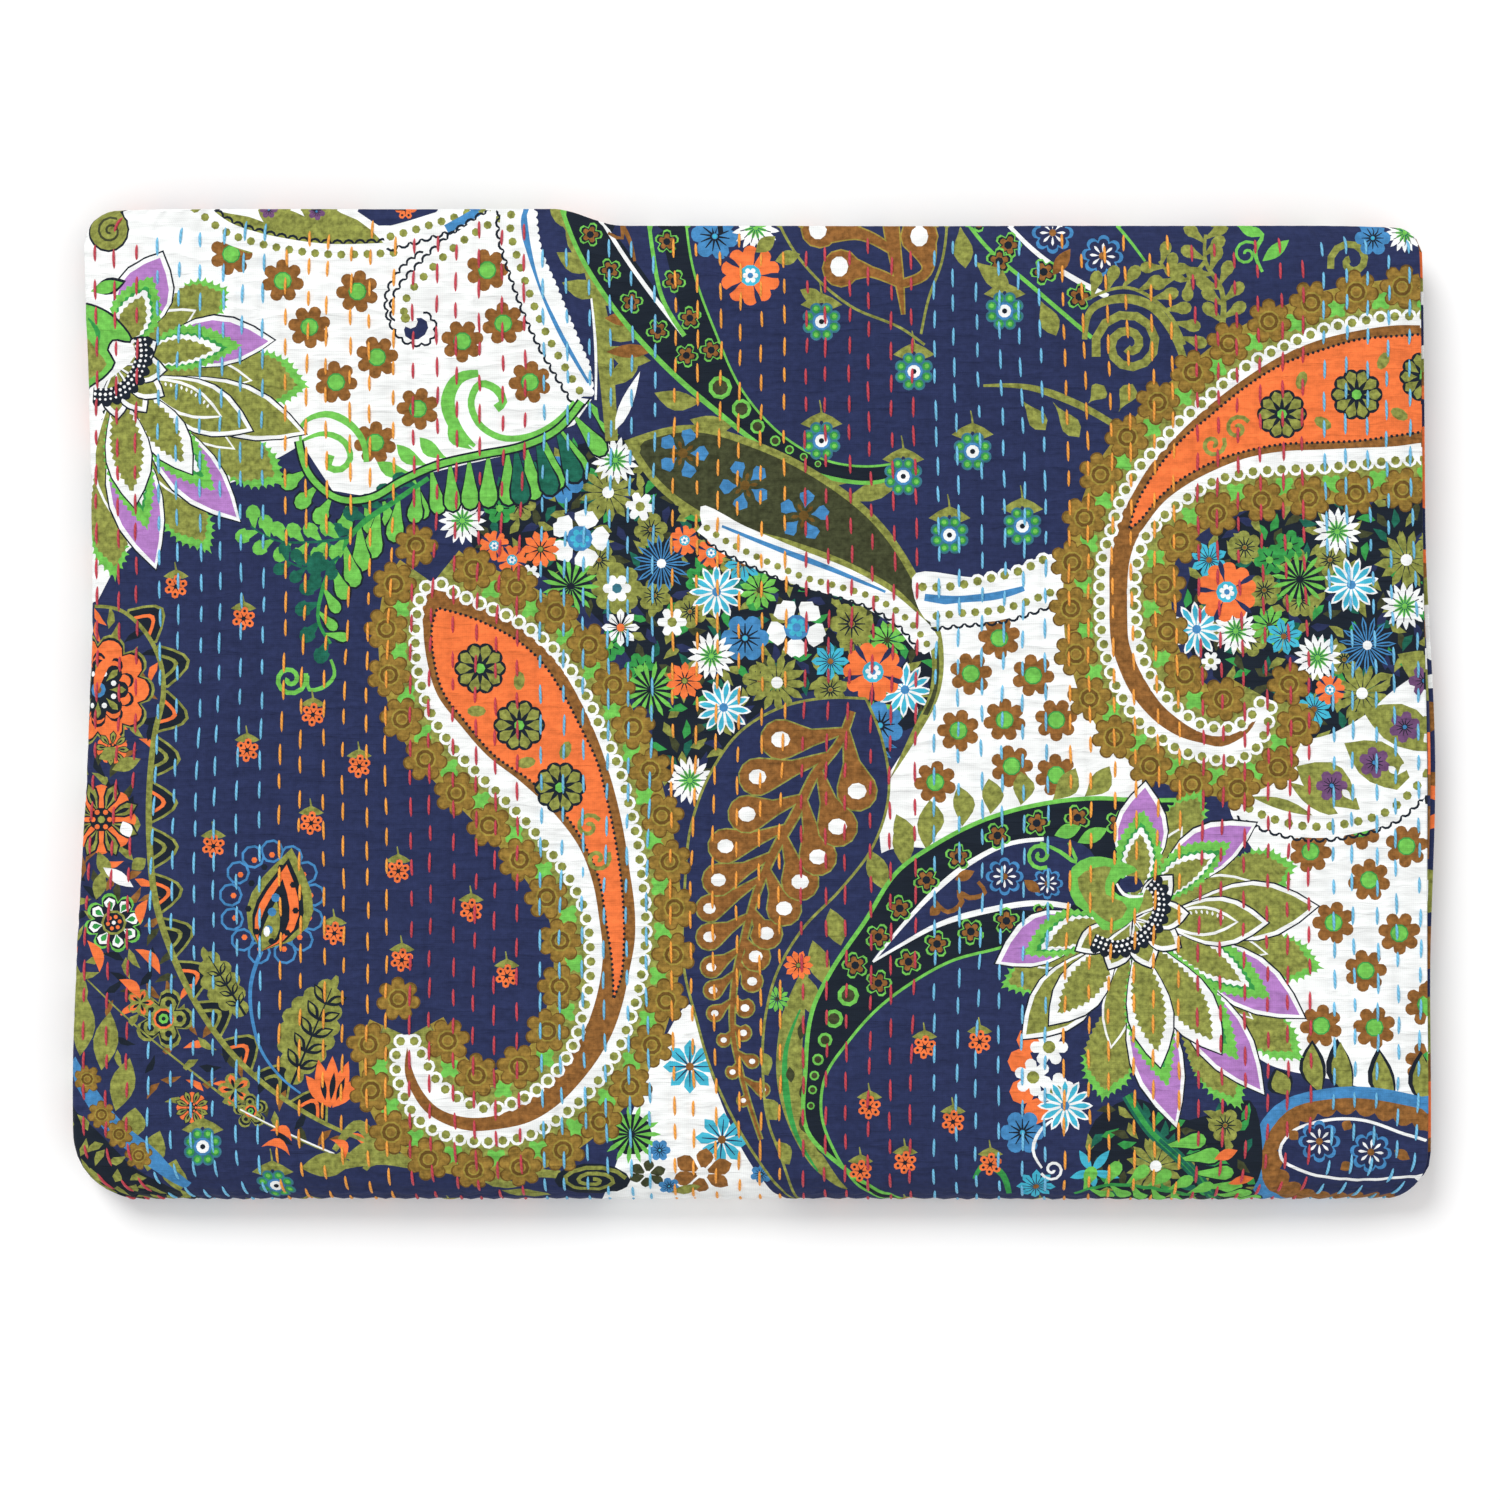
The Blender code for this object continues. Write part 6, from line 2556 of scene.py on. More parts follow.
@dataclass
class PrintLines:
    """The lines between unlike inks on a canvas."""

    canvas: Canvas
    nearness: float = 0.06
    straightness: float = 0.12  # how far a point may lie beside a line that leaves it out
    longest: float = 5.0
    rounds: int = 4
    margin: float = 0.01  # a line this far outside the canvas still counts
    shuffle: Point = (7919, 10007)  # two primes that put the points in a mixed order

    def trace(self) -> tuple[np.ndarray, np.ndarray]:
        """Finds the lines.

        Returns:
            Their points, and their edges as pairs of point numbers.
        """
        sketch = Sketch()
        sketch.add_ring(self.canvas.bounded())
        for outline, _ in self.canvas.shapes:
            sketch.add_ring(outline)
        places, corners = sketch.triangles(self.nearness)
        inks = self.canvas.inks_at(places[corners].mean(1))
        sides, owner = sides_of(corners)
        sides = np.sort(sides, axis=1)
        key = sides[:, 0] * len(places) + sides[:, 1]
        order = np.argsort(key, kind="stable")
        twins = key[order][1:] == key[order][:-1]
        first, second = order[:-1][twins], order[1:][twins]
        edges = sides[first[inks[owner[first]] != inks[owner[second]]]]
        low, high = np.array(self.canvas.low) - self.margin, np.array(self.canvas.high) + self.margin
        inside = ((places > low) & (places < high)).all(1)
        edges = edges[inside[edges].all(1)]
        for _ in range(self.rounds):
            edges = self.straightened(places, edges)
        return self.divided(places, edges)

    def straightened(self, places: np.ndarray, edges: np.ndarray) -> np.ndarray:
        """Leaves out points that lie on a nearly straight line, no two neighbours at once.

        Args:
            places: all the points.
            edges: the lines as pairs of point numbers.

        Returns:
            The edges that are left.
        """
        degree = np.bincount(edges.ravel(), minlength=len(places))
        total = np.zeros(len(places), dtype=int)
        np.add.at(total, edges[:, 0], edges[:, 1])
        np.add.at(total, edges[:, 1], edges[:, 0])
        one = np.full(len(places), -1)
        one[edges[:, 0]] = edges[:, 1]
        one[edges[:, 1]] = edges[:, 0]
        other = total - one
        chosen = np.flatnonzero(degree == 2)
        first, second = places[one[chosen]], places[other[chosen]]
        along = second - first
        length = np.maximum(np.linalg.norm(along, axis=1), 1e-9)
        off = places[chosen] - first
        beside = np.abs(along[:, 0] * off[:, 1] - along[:, 1] * off[:, 0]) / length
        chosen = chosen[(beside < self.straightness) & (length < self.longest)]
        rank = np.full(len(places), -1.0)
        rank[chosen] = (chosen * self.shuffle[0] % self.shuffle[1]) + 1.0
        chosen = chosen[(rank[chosen] > rank[one[chosen]]) & (rank[chosen] > rank[other[chosen]])]
        gone = np.zeros(len(places), bool)
        gone[chosen] = True
        joined = np.column_stack((one[chosen], other[chosen]))
        edges = np.vstack((edges[~gone[edges].any(1)], joined))
        return np.unique(np.sort(edges[edges[:, 0] != edges[:, 1]], axis=1), axis=0)

    def divided(self, places: np.ndarray, edges: np.ndarray) -> tuple[np.ndarray, np.ndarray]:
        """Cuts long edges up, so that they can follow the folds.

        Args:
            places: all the points.
            edges: the lines as pairs of point numbers.

        Returns:
            The points that the lines use, and the new edges.
        """
        length = np.linalg.norm(places[edges[:, 0]] - places[edges[:, 1]], axis=1)
        used, renumbered = np.unique(edges, return_inverse=True)
        points, lines = [places[used]], []
        total = len(used)
        for (start, end), parts in zip(renumbered.reshape(-1, 2), np.ceil(length / self.longest).astype(int)):
            chain = [start]
            if parts > 1:
                share = (np.arange(1, parts) / parts)[:, None]
                points.append(points[0][start] * (1 - share) + points[0][end] * share)
                chain.extend(range(total, total + parts - 1))
                total += parts - 1
            chain.append(end)
            lines.extend(zip(chain[:-1], chain[1:]))
        return np.vstack(points), np.array(lines)


class Stretch(NamedTuple):
    """A stretch of the cloth along v, with the spacing of its points in millimetres.

    The spacings are across the upper layer, and along v on the upper layer, at the fold and below.
    """

    start: float
    end: float
    across: float
    along: float
    at_fold: float
    below: float
    follows_rows: bool = False


class Chart(NamedTuple):
    """Where a part of the printed face lies in the square of its baked picture."""

    low: Point
    high: Point
    square_low: Point
    square_high: Point

    def place(self, places: np.ndarray) -> np.ndarray:
        """Where places of the cloth lie in the square."""
        share = (places - self.low) / (np.array(self.high) - self.low)
        return self.square_low + share * (np.array(self.square_high) - self.square_low)


@dataclass
class QuiltMesh:
    """The mesh of the folded cloth: its printed face, its hidden inner face and its rounded hems."""

    cloth: FoldedCloth
    shown: Canvas
    under: Canvas
    shift: np.ndarray
    row_steps: int = 4
    step: float = 5.0
    fold_steps: int = 7
    coarse: float = 45.0
    clear: float = 1.8  # no point of the plain grid is nearer than this to a printed line
    hem_rings: int = 3
    turn_steps: tuple[int, int, int] = (14, 6, 5)  # along the outermost turn, the back one and the inner one
    below_fold: float = 8.0  # spacing along the folded side where the packet hides it
    hidden: float = 12.0  # spacing across the layers where the packet hides them
    nearness: float = 0.05  # points closer together than this become one
    margin: float = 0.005  # round the baked picture
    split: float = 0.215  # height of the picture's lower band, for what the top doesn't show
    hem_strip: float = 0.9  # width of the cloth that each ring of a hem takes its picture from

    def stretches(self) -> list[Stretch]:
        """The cloth's flat passes and turns, from the hem at the back on.

        Returns:
            Seven stretches.
        """
        cloth, fine = self.cloth, self.cloth.pitch / self.row_steps
        ends = (cloth.back_hem, *cloth.breaks, cloth.inner_end)
        wrap, back, inner = (
            (ends[turn] - ends[turn + 1]) / steps for turn, steps in zip((1, 3, 5), self.turn_steps)
        )
        flat = (self.coarse, self.coarse, self.below_fold, self.coarse, False)
        spacings = (
            (fine, self.step, 6.0, self.coarse, True),
            (fine, wrap, wrap, wrap, True),
            (2 * fine, 3 * self.step, self.below_fold, self.coarse, True),
            (self.hidden, back, back, back, False),
            flat,
            (self.coarse, inner, inner, inner, False),
            flat,
        )
        return [Stretch(start, end, *sizes) for start, end, sizes in zip(ends, ends[1:], spacings)]

    def outline(self) -> np.ndarray:
        """The lowest and highest u and v of the cloth."""
        return np.array(((self.cloth.far_u, self.cloth.inner_end), (self.cloth.hem_u, self.cloth.back_hem)))

    def borders(self, sketch: Sketch) -> None:
        """Adds the hems, the edges of the fold at the left and the line where each stretch ends.

        Args:
            sketch: what they are added to.
        """
        cloth, stretches = self.cloth, self.stretches()
        for u, fine in (
            (cloth.hem_u, True), (cloth.fold_u, True), (cloth.under_u, False), (cloth.far_u, False),
        ):
            along = [np.array((cloth.back_hem,))]
            for stretch in stretches:
                step = min(stretch.at_fold, stretch.along) if fine else stretch.at_fold
                along.append(spread(stretch.start, stretch.end, step)[1:])
            along = np.concatenate(along)
            sketch.add_line(np.column_stack((np.full(len(along), u), along)))
        finest = [stretches[0].across]
        for before, after in zip(stretches, stretches[1:]):
            finest.append(min(before.across, after.across))
        finest.append(15.0)
        for v, step in zip((cloth.back_hem, *cloth.breaks, cloth.inner_end), finest):
            across = np.concatenate((
                spread(cloth.far_u, cloth.under_u, min(max(step, self.hidden), self.coarse)),
                spread(cloth.under_u, cloth.fold_u, (cloth.fold_u - cloth.under_u) / self.fold_steps)[1:],
                spread(cloth.fold_u, cloth.hem_u, step)[1:],
            ))
            sketch.add_line(np.column_stack((across, np.full(len(across), v))))

    def grid(self) -> np.ndarray:
        """The plain points between the borders.

        Returns:
            One u, v row for each point.
        """
        cloth, parts = self.cloth, []
        fold_step = (cloth.fold_u - cloth.under_u) / self.fold_steps
        for stretch in self.stretches():
            for low, high, across, along in (
                (cloth.far_u, cloth.under_u, self.coarse, stretch.below),
                (cloth.under_u, cloth.fold_u, fold_step, stretch.at_fold),
                (cloth.fold_u, cloth.hem_u, stretch.across, stretch.along),
            ):
                upper = high == cloth.hem_u
                rows = spread(stretch.start, stretch.end, along)[1:-1]
                columns = spread(low, high, across)[1:-1]
                if upper and stretch.follows_rows:
                    columns = cloth.half_width - np.arange(1, cloth.width / across) * across
                u, v = (axis.ravel() for axis in np.meshgrid(columns, rows))
                if upper and stretch.follows_rows:
                    u = u + cloth.stray(u + cloth.stray(u, v), v)
                    keep = (u > low + 1.0) & (u < high - 1.0)
                    u, v = u[keep], v[keep]
                parts.append(np.column_stack((u, v)))
        return np.vstack(parts)

    def printed_face(self) -> tuple[np.ndarray, np.ndarray]:
        """The points and triangles of the printed face in the flat.

        Returns:
            The points, and the corners of the triangles.
        """
        sketch = Sketch()
        below = PrintLines(self.under, nearness=0.5, straightness=1.2, longest=14.0)
        lines = [PrintLines(self.shown).trace(), below.trace()]
        grid = self.grid()
        taken = np.vstack([points for points, _ in lines])
        sketch.add(grid[~self.near(grid, taken)])
        self.borders(sketch)
        for points, edges in lines:
            sketch.add(points, edges)
        places, corners = sketch.triangles(self.nearness)
        low, high = self.outline()
        middle = places[corners].mean(1)
        corners = corners[((middle > low) & (middle < high)).all(1)]
        used, corners = np.unique(corners, return_inverse=True)
        return np.clip(places[used], low, high), corners.reshape(-1, 3)

    def near(self, places: np.ndarray, taken: np.ndarray) -> np.ndarray:
        """Whether each place is close to one that is taken.

        Args:
            places: the places.
            taken: the places that are taken.

        Returns:
            A truth value for each place.
        """
        squares_a_row = 100_000

        def key(cells: np.ndarray) -> np.ndarray:
            """One number for each square of the plane."""
            return cells[:, 0] * squares_a_row + cells[:, 1]

        squares = np.floor(taken / self.clear).astype(int)
        around = [squares + (right, up) for right in (-1, 0, 1) for up in (-1, 0, 1)]
        return np.isin(key(np.floor(places / self.clear).astype(int)), key(np.vstack(around)))

    def boundary(self, corners: np.ndarray) -> np.ndarray:
        """The points round the edge of a triangulated area, in order to the left.

        Args:
            corners: the corners of the triangles.

        Returns:
            The numbers of the points.
        """
        sides, _ = sides_of(corners)
        span = sides.max() + 1
        lone = ~np.isin(sides[:, 0] * span + sides[:, 1], sides[:, 1] * span + sides[:, 0])
        after = dict(sides[lone].tolist())
        loop = [min(after)]
        while len(loop) < len(after):
            loop.append(after[loop[-1]])
        return np.array(loop)

    def inner_face(self, rim: np.ndarray) -> tuple[np.ndarray, np.ndarray]:
        """The points and triangles of the inner face, whose first points are those of the rim.

        Args:
            rim: the points round the printed face.

        Returns:
            The points, and the corners of the triangles.
        """
        cloth, sketch, apart = self.cloth, Sketch(), 0.5
        sketch.add_ring(rim)
        for stretch in self.stretches():
            for start, end, across in (
                (cloth.far_u, cloth.under_u, self.coarse),
                (cloth.under_u, cloth.fold_u, (cloth.fold_u - cloth.under_u) / self.fold_steps),
                (cloth.fold_u, cloth.hem_u, self.coarse),
            ):
                rows = spread(stretch.start, stretch.end, stretch.below)
                u, v = (axis.ravel() for axis in np.meshgrid(spread(start, end, across), rows))
                places = np.column_stack((u, v))
                low, high = self.outline()
                inside = ((places > low + apart) & (places < high - apart)).all(1)
                sketch.add(places[inside])
        places, corners = sketch.triangles(0.001)
        order = np.full(len(places), -1)
        nearest = {tuple(np.round(place, 3)): index for index, place in enumerate(places)}
        rim_at = [nearest[tuple(np.round(place, 3))] for place in rim]
        order[rim_at] = np.arange(len(rim))
        order[order < 0] = np.arange(len(rim), len(places))
        ordered = np.empty_like(places)
        ordered[order] = places
        return ordered, order[corners]

    def charts(self) -> list[Chart]:
        """The parts of the picture: the top, the underside, the hidden passes and the lower layer.

        Returns:
            The four charts.
        """
        cloth, edge, top = self.cloth, self.margin, self.split
        front, back = cloth.breaks[1], cloth.breaks[2]
        return [
            Chart(
                (cloth.under_u, front), (cloth.hem_u, cloth.back_hem), (edge, 0.225), (1 - edge, 1 - edge),
            ),
            Chart((cloth.under_u, back), (cloth.hem_u, front), (edge, edge), (0.445, top)),
            Chart((cloth.under_u, cloth.inner_end), (cloth.hem_u, back), (0.455, edge), (0.595, top)),
            Chart(
                (cloth.far_u, cloth.inner_end), (cloth.under_u, cloth.back_hem), (0.605, edge),
                (0.795, top),
            ),
        ]

    def inner_chart(self) -> Chart:
        """The part of the picture for the inner face."""
        low, high = self.outline()
        return Chart(tuple(low), tuple(high), (0.805, self.margin), (1 - self.margin, self.split))

    def build(self, name: str) -> bpy.types.Object:
        """Makes the object, with its ink and its UV maps.

        Args:
            name: its name.

        Returns:
            The object, without a material.
        """
        cloth = self.cloth
        places, corners = self.printed_face()
        LOG.info("printed face: %d points, %d triangles", len(places), len(corners))
        loop = self.boundary(corners)
        rim = places[loop]
        inner_places, inner_corners = self.inner_face(rim)

        low, high = self.outline()
        out = (rim > high - 0.01).astype(float) - (rim < low + 0.01)
        out /= np.maximum(np.linalg.norm(out, axis=1, keepdims=True), 1e-9)
        relief = cloth.relief(places[:, 0], places[:, 1])
        points = [cloth.place(places[:, 0], places[:, 1], relief)]
        rim_relief = relief[loop]
        for number in range(1, self.hem_rings + 1):
            angle = math.pi * number / (self.hem_rings + 1)
            moved = rim + out * cloth.hem_round * math.sin(angle)
            inset = rim_relief + (cloth.sheet - rim_relief) * (0.5 - 0.5 * math.cos(angle))
            points.append(cloth.place(moved[:, 0], moved[:, 1], inset))
        points.append(cloth.place(*inner_places.T, np.full(len(inner_places), cloth.sheet)))

        count, around = len(places), len(loop)
        after = np.roll(np.arange(around), -1)
        rings = [loop] + [count + index * around + np.arange(around) for index in range(self.hem_rings + 1)]
        quads = []
        for near, far in zip(rings, rings[1:]):
            quads.append(np.column_stack((near[after], near, far, far[after])))
        quads = np.vstack(quads)
        inner_start = count + self.hem_rings * around
        vertices = (np.vstack(points) + self.shift) * MM
        faces = [*corners.tolist(), *quads.tolist(), *(inner_corners[:, ::-1] + inner_start).tolist()]

        mesh = bpy.data.meshes.new(name)
        mesh.from_pydata(vertices.tolist(), [], faces)
        quilt = bpy.data.objects.new(name, mesh)
        bpy.context.scene.collection.objects.link(quilt)

        self.paint(mesh, places, corners, loop, inner_places, inner_corners)
        for polygon in mesh.polygons:
            polygon.use_smooth = True
        normals = np.array([tuple(vertex.normal) for vertex in mesh.vertices])
        normals[:count] = cloth.normals(places[:, 0], places[:, 1])
        mesh.normals_split_custom_set_from_vertices(normals.tolist())
        return quilt

    def paint(
        self,
        mesh: bpy.types.Mesh,
        places: np.ndarray,
        corners: np.ndarray,
        loop: np.ndarray,
        inner_places: np.ndarray,
        inner_corners: np.ndarray,
    ) -> None:
        """Gives each triangle its ink, its place in the baked picture and its place on the cloth.

        Args:
            mesh: the mesh, with its faces in the order printed face, hems, inner face.
            places: the points of the printed face.
            corners: its triangles.
            loop: its rim.
            inner_places: the points of the inner face.
            inner_corners: its triangles.
        """
        middle = places[corners].mean(1)
        inks = self.inks(middle)
        charts = self.charts()
        chart_of = np.zeros(len(corners), int)
        for index, chart in enumerate(charts):
            inside = ((middle > chart.low) & (middle < chart.high)).all(1)
            chart_of[inside] = index
        spots = places[corners]
        square = np.empty_like(spots)
        for index, chart in enumerate(charts):
            square[chart_of == index] = chart.place(spots[chart_of == index])

        # The hems take the ink and the chart of the triangle beside them
        sides, owner = sides_of(corners)
        span = len(places)
        start, end = loop, np.roll(loop, -1)
        key = sides[:, 0] * span + sides[:, 1]
        order = np.argsort(key)
        beside = owner[order[np.searchsorted(key[order], start * span + end)]]
        way = places[end] - places[start]
        outward = np.column_stack((way[:, 1], -way[:, 0])) / np.linalg.norm(way, axis=1, keepdims=True)
        hem_spots, hem_square, hem_inks = [], [], []
        for number in range(self.hem_rings + 1):
            near, far = (outward * self.hem_strip * ring for ring in (number, number + 1))
            quad = np.stack(
                (places[end] + near, places[start] + near, places[start] + far, places[end] + far), axis=1
            )
            hem_spots.append(quad)
            spot = np.empty_like(quad)
            for index, chart in enumerate(charts):
                here = chart_of[beside] == index
                spot[here] = chart.place(quad[here])
            hem_square.append(spot)
            hem_inks.append(inks[beside])
        inner_spots = inner_places[inner_corners[:, ::-1]]
        all_spots = [spots.reshape(-1, 2), np.vstack(hem_spots).reshape(-1, 2), inner_spots.reshape(-1, 2)]
        all_square = [
            square.reshape(-1, 2),
            np.vstack(hem_square).reshape(-1, 2),
            self.inner_chart().place(inner_spots).reshape(-1, 2),
        ]
        ink_rows = np.concatenate((
            np.repeat(inks, 3),
            np.repeat(np.concatenate(hem_inks), 4),
            np.full(3 * len(inner_corners), INKS.index(Ink.NAVY)),
        ))
        table = np.array([(*linear(ink.value[0])[:3], ink.value[1]) for ink in INKS])
        print_colour = mesh.attributes.new("print", "FLOAT_COLOR", "CORNER")
        print_colour.data.foreach_set("color", table[ink_rows].astype(np.float32).ravel())
        for name, rows in (("OFBake", all_square), ("cloth", [MM * rows for rows in all_spots])):
            layer = mesh.uv_layers.new(name=name)
            layer.data.foreach_set("uv", np.vstack(rows).astype(np.float32).ravel())

    def inks(self, middle: np.ndarray) -> np.ndarray:
        """The ink of each triangle of the printed face, from its middle. Hidden layers get loose patches.

        Args:
            middle: the middles of the triangles.

        Returns:
            Numbers in INKS.
        """
        cloth = self.cloth
        patches = (Ink.NAVY, Ink.WHITE, Ink.OLIVE, Ink.NAVY, Ink.BROWN, Ink.ORANGE, Ink.NAVY)
        (wide, high), variety = (34.0, 26.0), 0.62
        patch = 0.5 + variety * noise(middle[:, 0] / wide, middle[:, 1] / high, 3)
        number = np.clip(patch * len(patches), 0, len(patches) - 1).astype(int)
        inks = np.array([INKS.index(ink) for ink in patches])[number]
        on_upper = middle[:, 0] > cloth.under_u
        shown = on_upper & (middle[:, 1] > cloth.breaks[1])
        under = on_upper & ~shown & (middle[:, 1] > cloth.breaks[2])
        inks[shown] = self.shown.inks_at(middle[shown])
        inks[under] = self.under.inks_at(middle[under])
        return inks


def spread(start: float, end: float, step: float) -> np.ndarray:
    """Evenly spaced places from start to end, at most a step apart."""
    return np.linspace(start, end, max(math.ceil(abs(end - start) / step - 1e-6), 1) + 1)


# --------------------------------------------------------------------------------------------------
# Finishes
# --------------------------------------------------------------------------------------------------


def add_node(
    tree: bpy.types.NodeTree, kind: str, inputs: dict[int | str, object] | None = None, **settings: object
) -> bpy.types.Node:
    """Adds a node.

    Args:
        tree: the tree it goes into.
        kind: its type.
        inputs: a value, or the socket that feeds it, for each input by its name or number.
        settings: its other settings.

    Returns:
        The node.
    """
    node = tree.nodes.new(kind)
    for name, value in settings.items():
        setattr(node, name, value)
    for key, value in (inputs or {}).items():
        if isinstance(value, bpy.types.NodeSocket):
            tree.links.new(value, node.inputs[key])
        else:
            node.inputs[key].default_value = value
    return node


def new_material(name: str) -> tuple[bpy.types.Material, bpy.types.NodeTree]:
    """An empty material and its tree.

    Args:
        name: its name.

    Returns:
        The material and the tree.
    """
    material = bpy.data.materials.new(name)
    material.use_nodes = True
    material.node_tree.nodes.clear()
    return material, material.node_tree


@dataclass(frozen=True)
class PrintedCotton:
    """Old cotton cloth, printed with water-thin dyes and washed soft.

    The dyes pool and thin out within each shape, the cloth has no gloss, and between the rows of
    stitches it is drawn into fine creases that run across them. Its colour is painted darker in the
    creases and lighter on their ridges, as painted shade and light with some rubbed wear, and painted
    darker between the woven threads than on them, as shade.
    """

    name: str = "printed_cotton_cloth"
    roughness: float = 0.9
    specular: float = 0.12
    sheen: float = 0.04
    wash: float = 3.4  # mm, size of a pool of dye
    wash_depth: float = 1.15
    thread: float = 1.1  # mm; real threads are 0.3 mm apart, too fine to show
    crease: Point = (24.0, 5.2)  # mm, length and spacing of the fine creases
    crease_height: float = 1.9  # mm
    crease_shade_and_wear: Point = (0.87, 1.06)  # painted shade in a crease and painted light on a ridge, with some rubbed wear there
    thinning: Point = (-0.36, 0.4)  # of the dye where it is thickest and where it is thinnest
    weave_shade: Point = (0.94, 1.05)  # painted shade between the threads and painted light on them
    thread_height: float = 0.035  # mm

    def make(self) -> bpy.types.Material:
        """Builds the material.

        Returns:
            The material.
        """
        material, tree = new_material(self.name)
        ink = add_node(tree, "ShaderNodeAttribute", attribute_name="print")
        cloth = add_node(tree, "ShaderNodeUVMap", uv_map="cloth")
        pools = add_node(
            tree,
            "ShaderNodeTexNoise",
            {"Vector": cloth.outputs["UV"], "Scale": 1 / (self.wash * MM), "Detail": 3.0, "Roughness": 0.6},
        )
        thinned = add_node(
            tree,
            "ShaderNodeMapRange",
            {
                0: pools.outputs["Fac"],
                1: 0.32,
                2: 0.68,
                3: self.thinning[0] * self.wash_depth,
                4: self.thinning[1] * self.wash_depth,
            },
        )
        washed = add_node(
            tree,
            "ShaderNodeMath",
            {0: thinned.outputs[0], 1: ink.outputs["Alpha"], 2: 1.0},
            operation="MULTIPLY_ADD",
        )
        woven = []
        for axis, turned in (("X", 0.0), ("Y", 0.7)):
            threads = add_node(
                tree,
                "ShaderNodeTexWave",
                {
                    "Vector": cloth.outputs["UV"],
                    "Scale": TAU / 20 / (self.thread * MM),
                    "Distortion": 1.6,
                    "Detail": 1.0,
                    "Detail Scale": 0.6,
                    "Phase Offset": turned,
                },
                bands_direction=axis,
            )
            woven.append(threads.outputs["Fac"])
        weave = add_node(tree, "ShaderNodeMath", {0: woven[0], 1: woven[1]}, operation="ADD")
        # Painted shade between the woven threads and painted light on them
        tone = add_node(tree, "ShaderNodeMapRange", {
            0: weave.outputs[0], 1: 0.0, 2: 2.0, 3: self.weave_shade[0], 4: self.weave_shade[1],
        })
        both = add_node(
            tree, "ShaderNodeMath", {0: washed.outputs[0], 1: tone.outputs[0]}, operation="MULTIPLY"
        )
        stretched = add_node(tree, "ShaderNodeMapping", {
            "Vector": cloth.outputs["UV"],
            "Scale": (1 / (self.crease[0] * MM), 1 / (self.crease[1] * MM), 1.0),
        },)
        creases = add_node(tree, "ShaderNodeTexNoise", {
            "Vector": stretched.outputs[0], "Scale": 1.0, "Detail": 2.0, "Roughness": 0.5,
            "Distortion": 0.5,
        },)
        # Painted shade in the creases and painted light on their ridges, partly rubbed wear
        crease_shaded_and_worn = add_node(tree, "ShaderNodeMapRange", {
            0: creases.outputs["Fac"], 1: 0.34, 2: 0.66, 3: self.crease_shade_and_wear[0], 4: self.crease_shade_and_wear[1],
        })
        dyed_and_shaded = add_node(
            tree, "ShaderNodeMath", {0: both.outputs[0], 1: crease_shaded_and_worn.outputs[0]}, operation="MULTIPLY",
        )
        colour = add_node(
            tree, "ShaderNodeVectorMath", {0: ink.outputs["Color"], "Scale": dyed_and_shaded.outputs[0]},
            operation="SCALE",
        )
        creased = add_node(
            tree,
            "ShaderNodeBump",
            {"Strength": 1.0, "Distance": self.crease_height * MM, "Height": creases.outputs["Fac"]},
        )
        textured = add_node(
            tree,
            "ShaderNodeBump",
            {
                "Strength": 1.0,
                "Distance": self.thread_height * MM,
                "Height": weave.outputs[0],
                "Normal": creased.outputs[0],
            },
        )
        shader = add_node(
            tree,
            "ShaderNodeBsdfPrincipled",
            {
                "Base Color": colour.outputs[0],
                "Roughness": self.roughness,
                "Specular IOR Level": self.specular,
                "Sheen Weight": self.sheen,
                "Sheen Roughness": 0.5,
                "Normal": textured.outputs[0],
            },
        )
        add_node(tree, "ShaderNodeOutputMaterial", {"Surface": shader.outputs[0]})
        return material


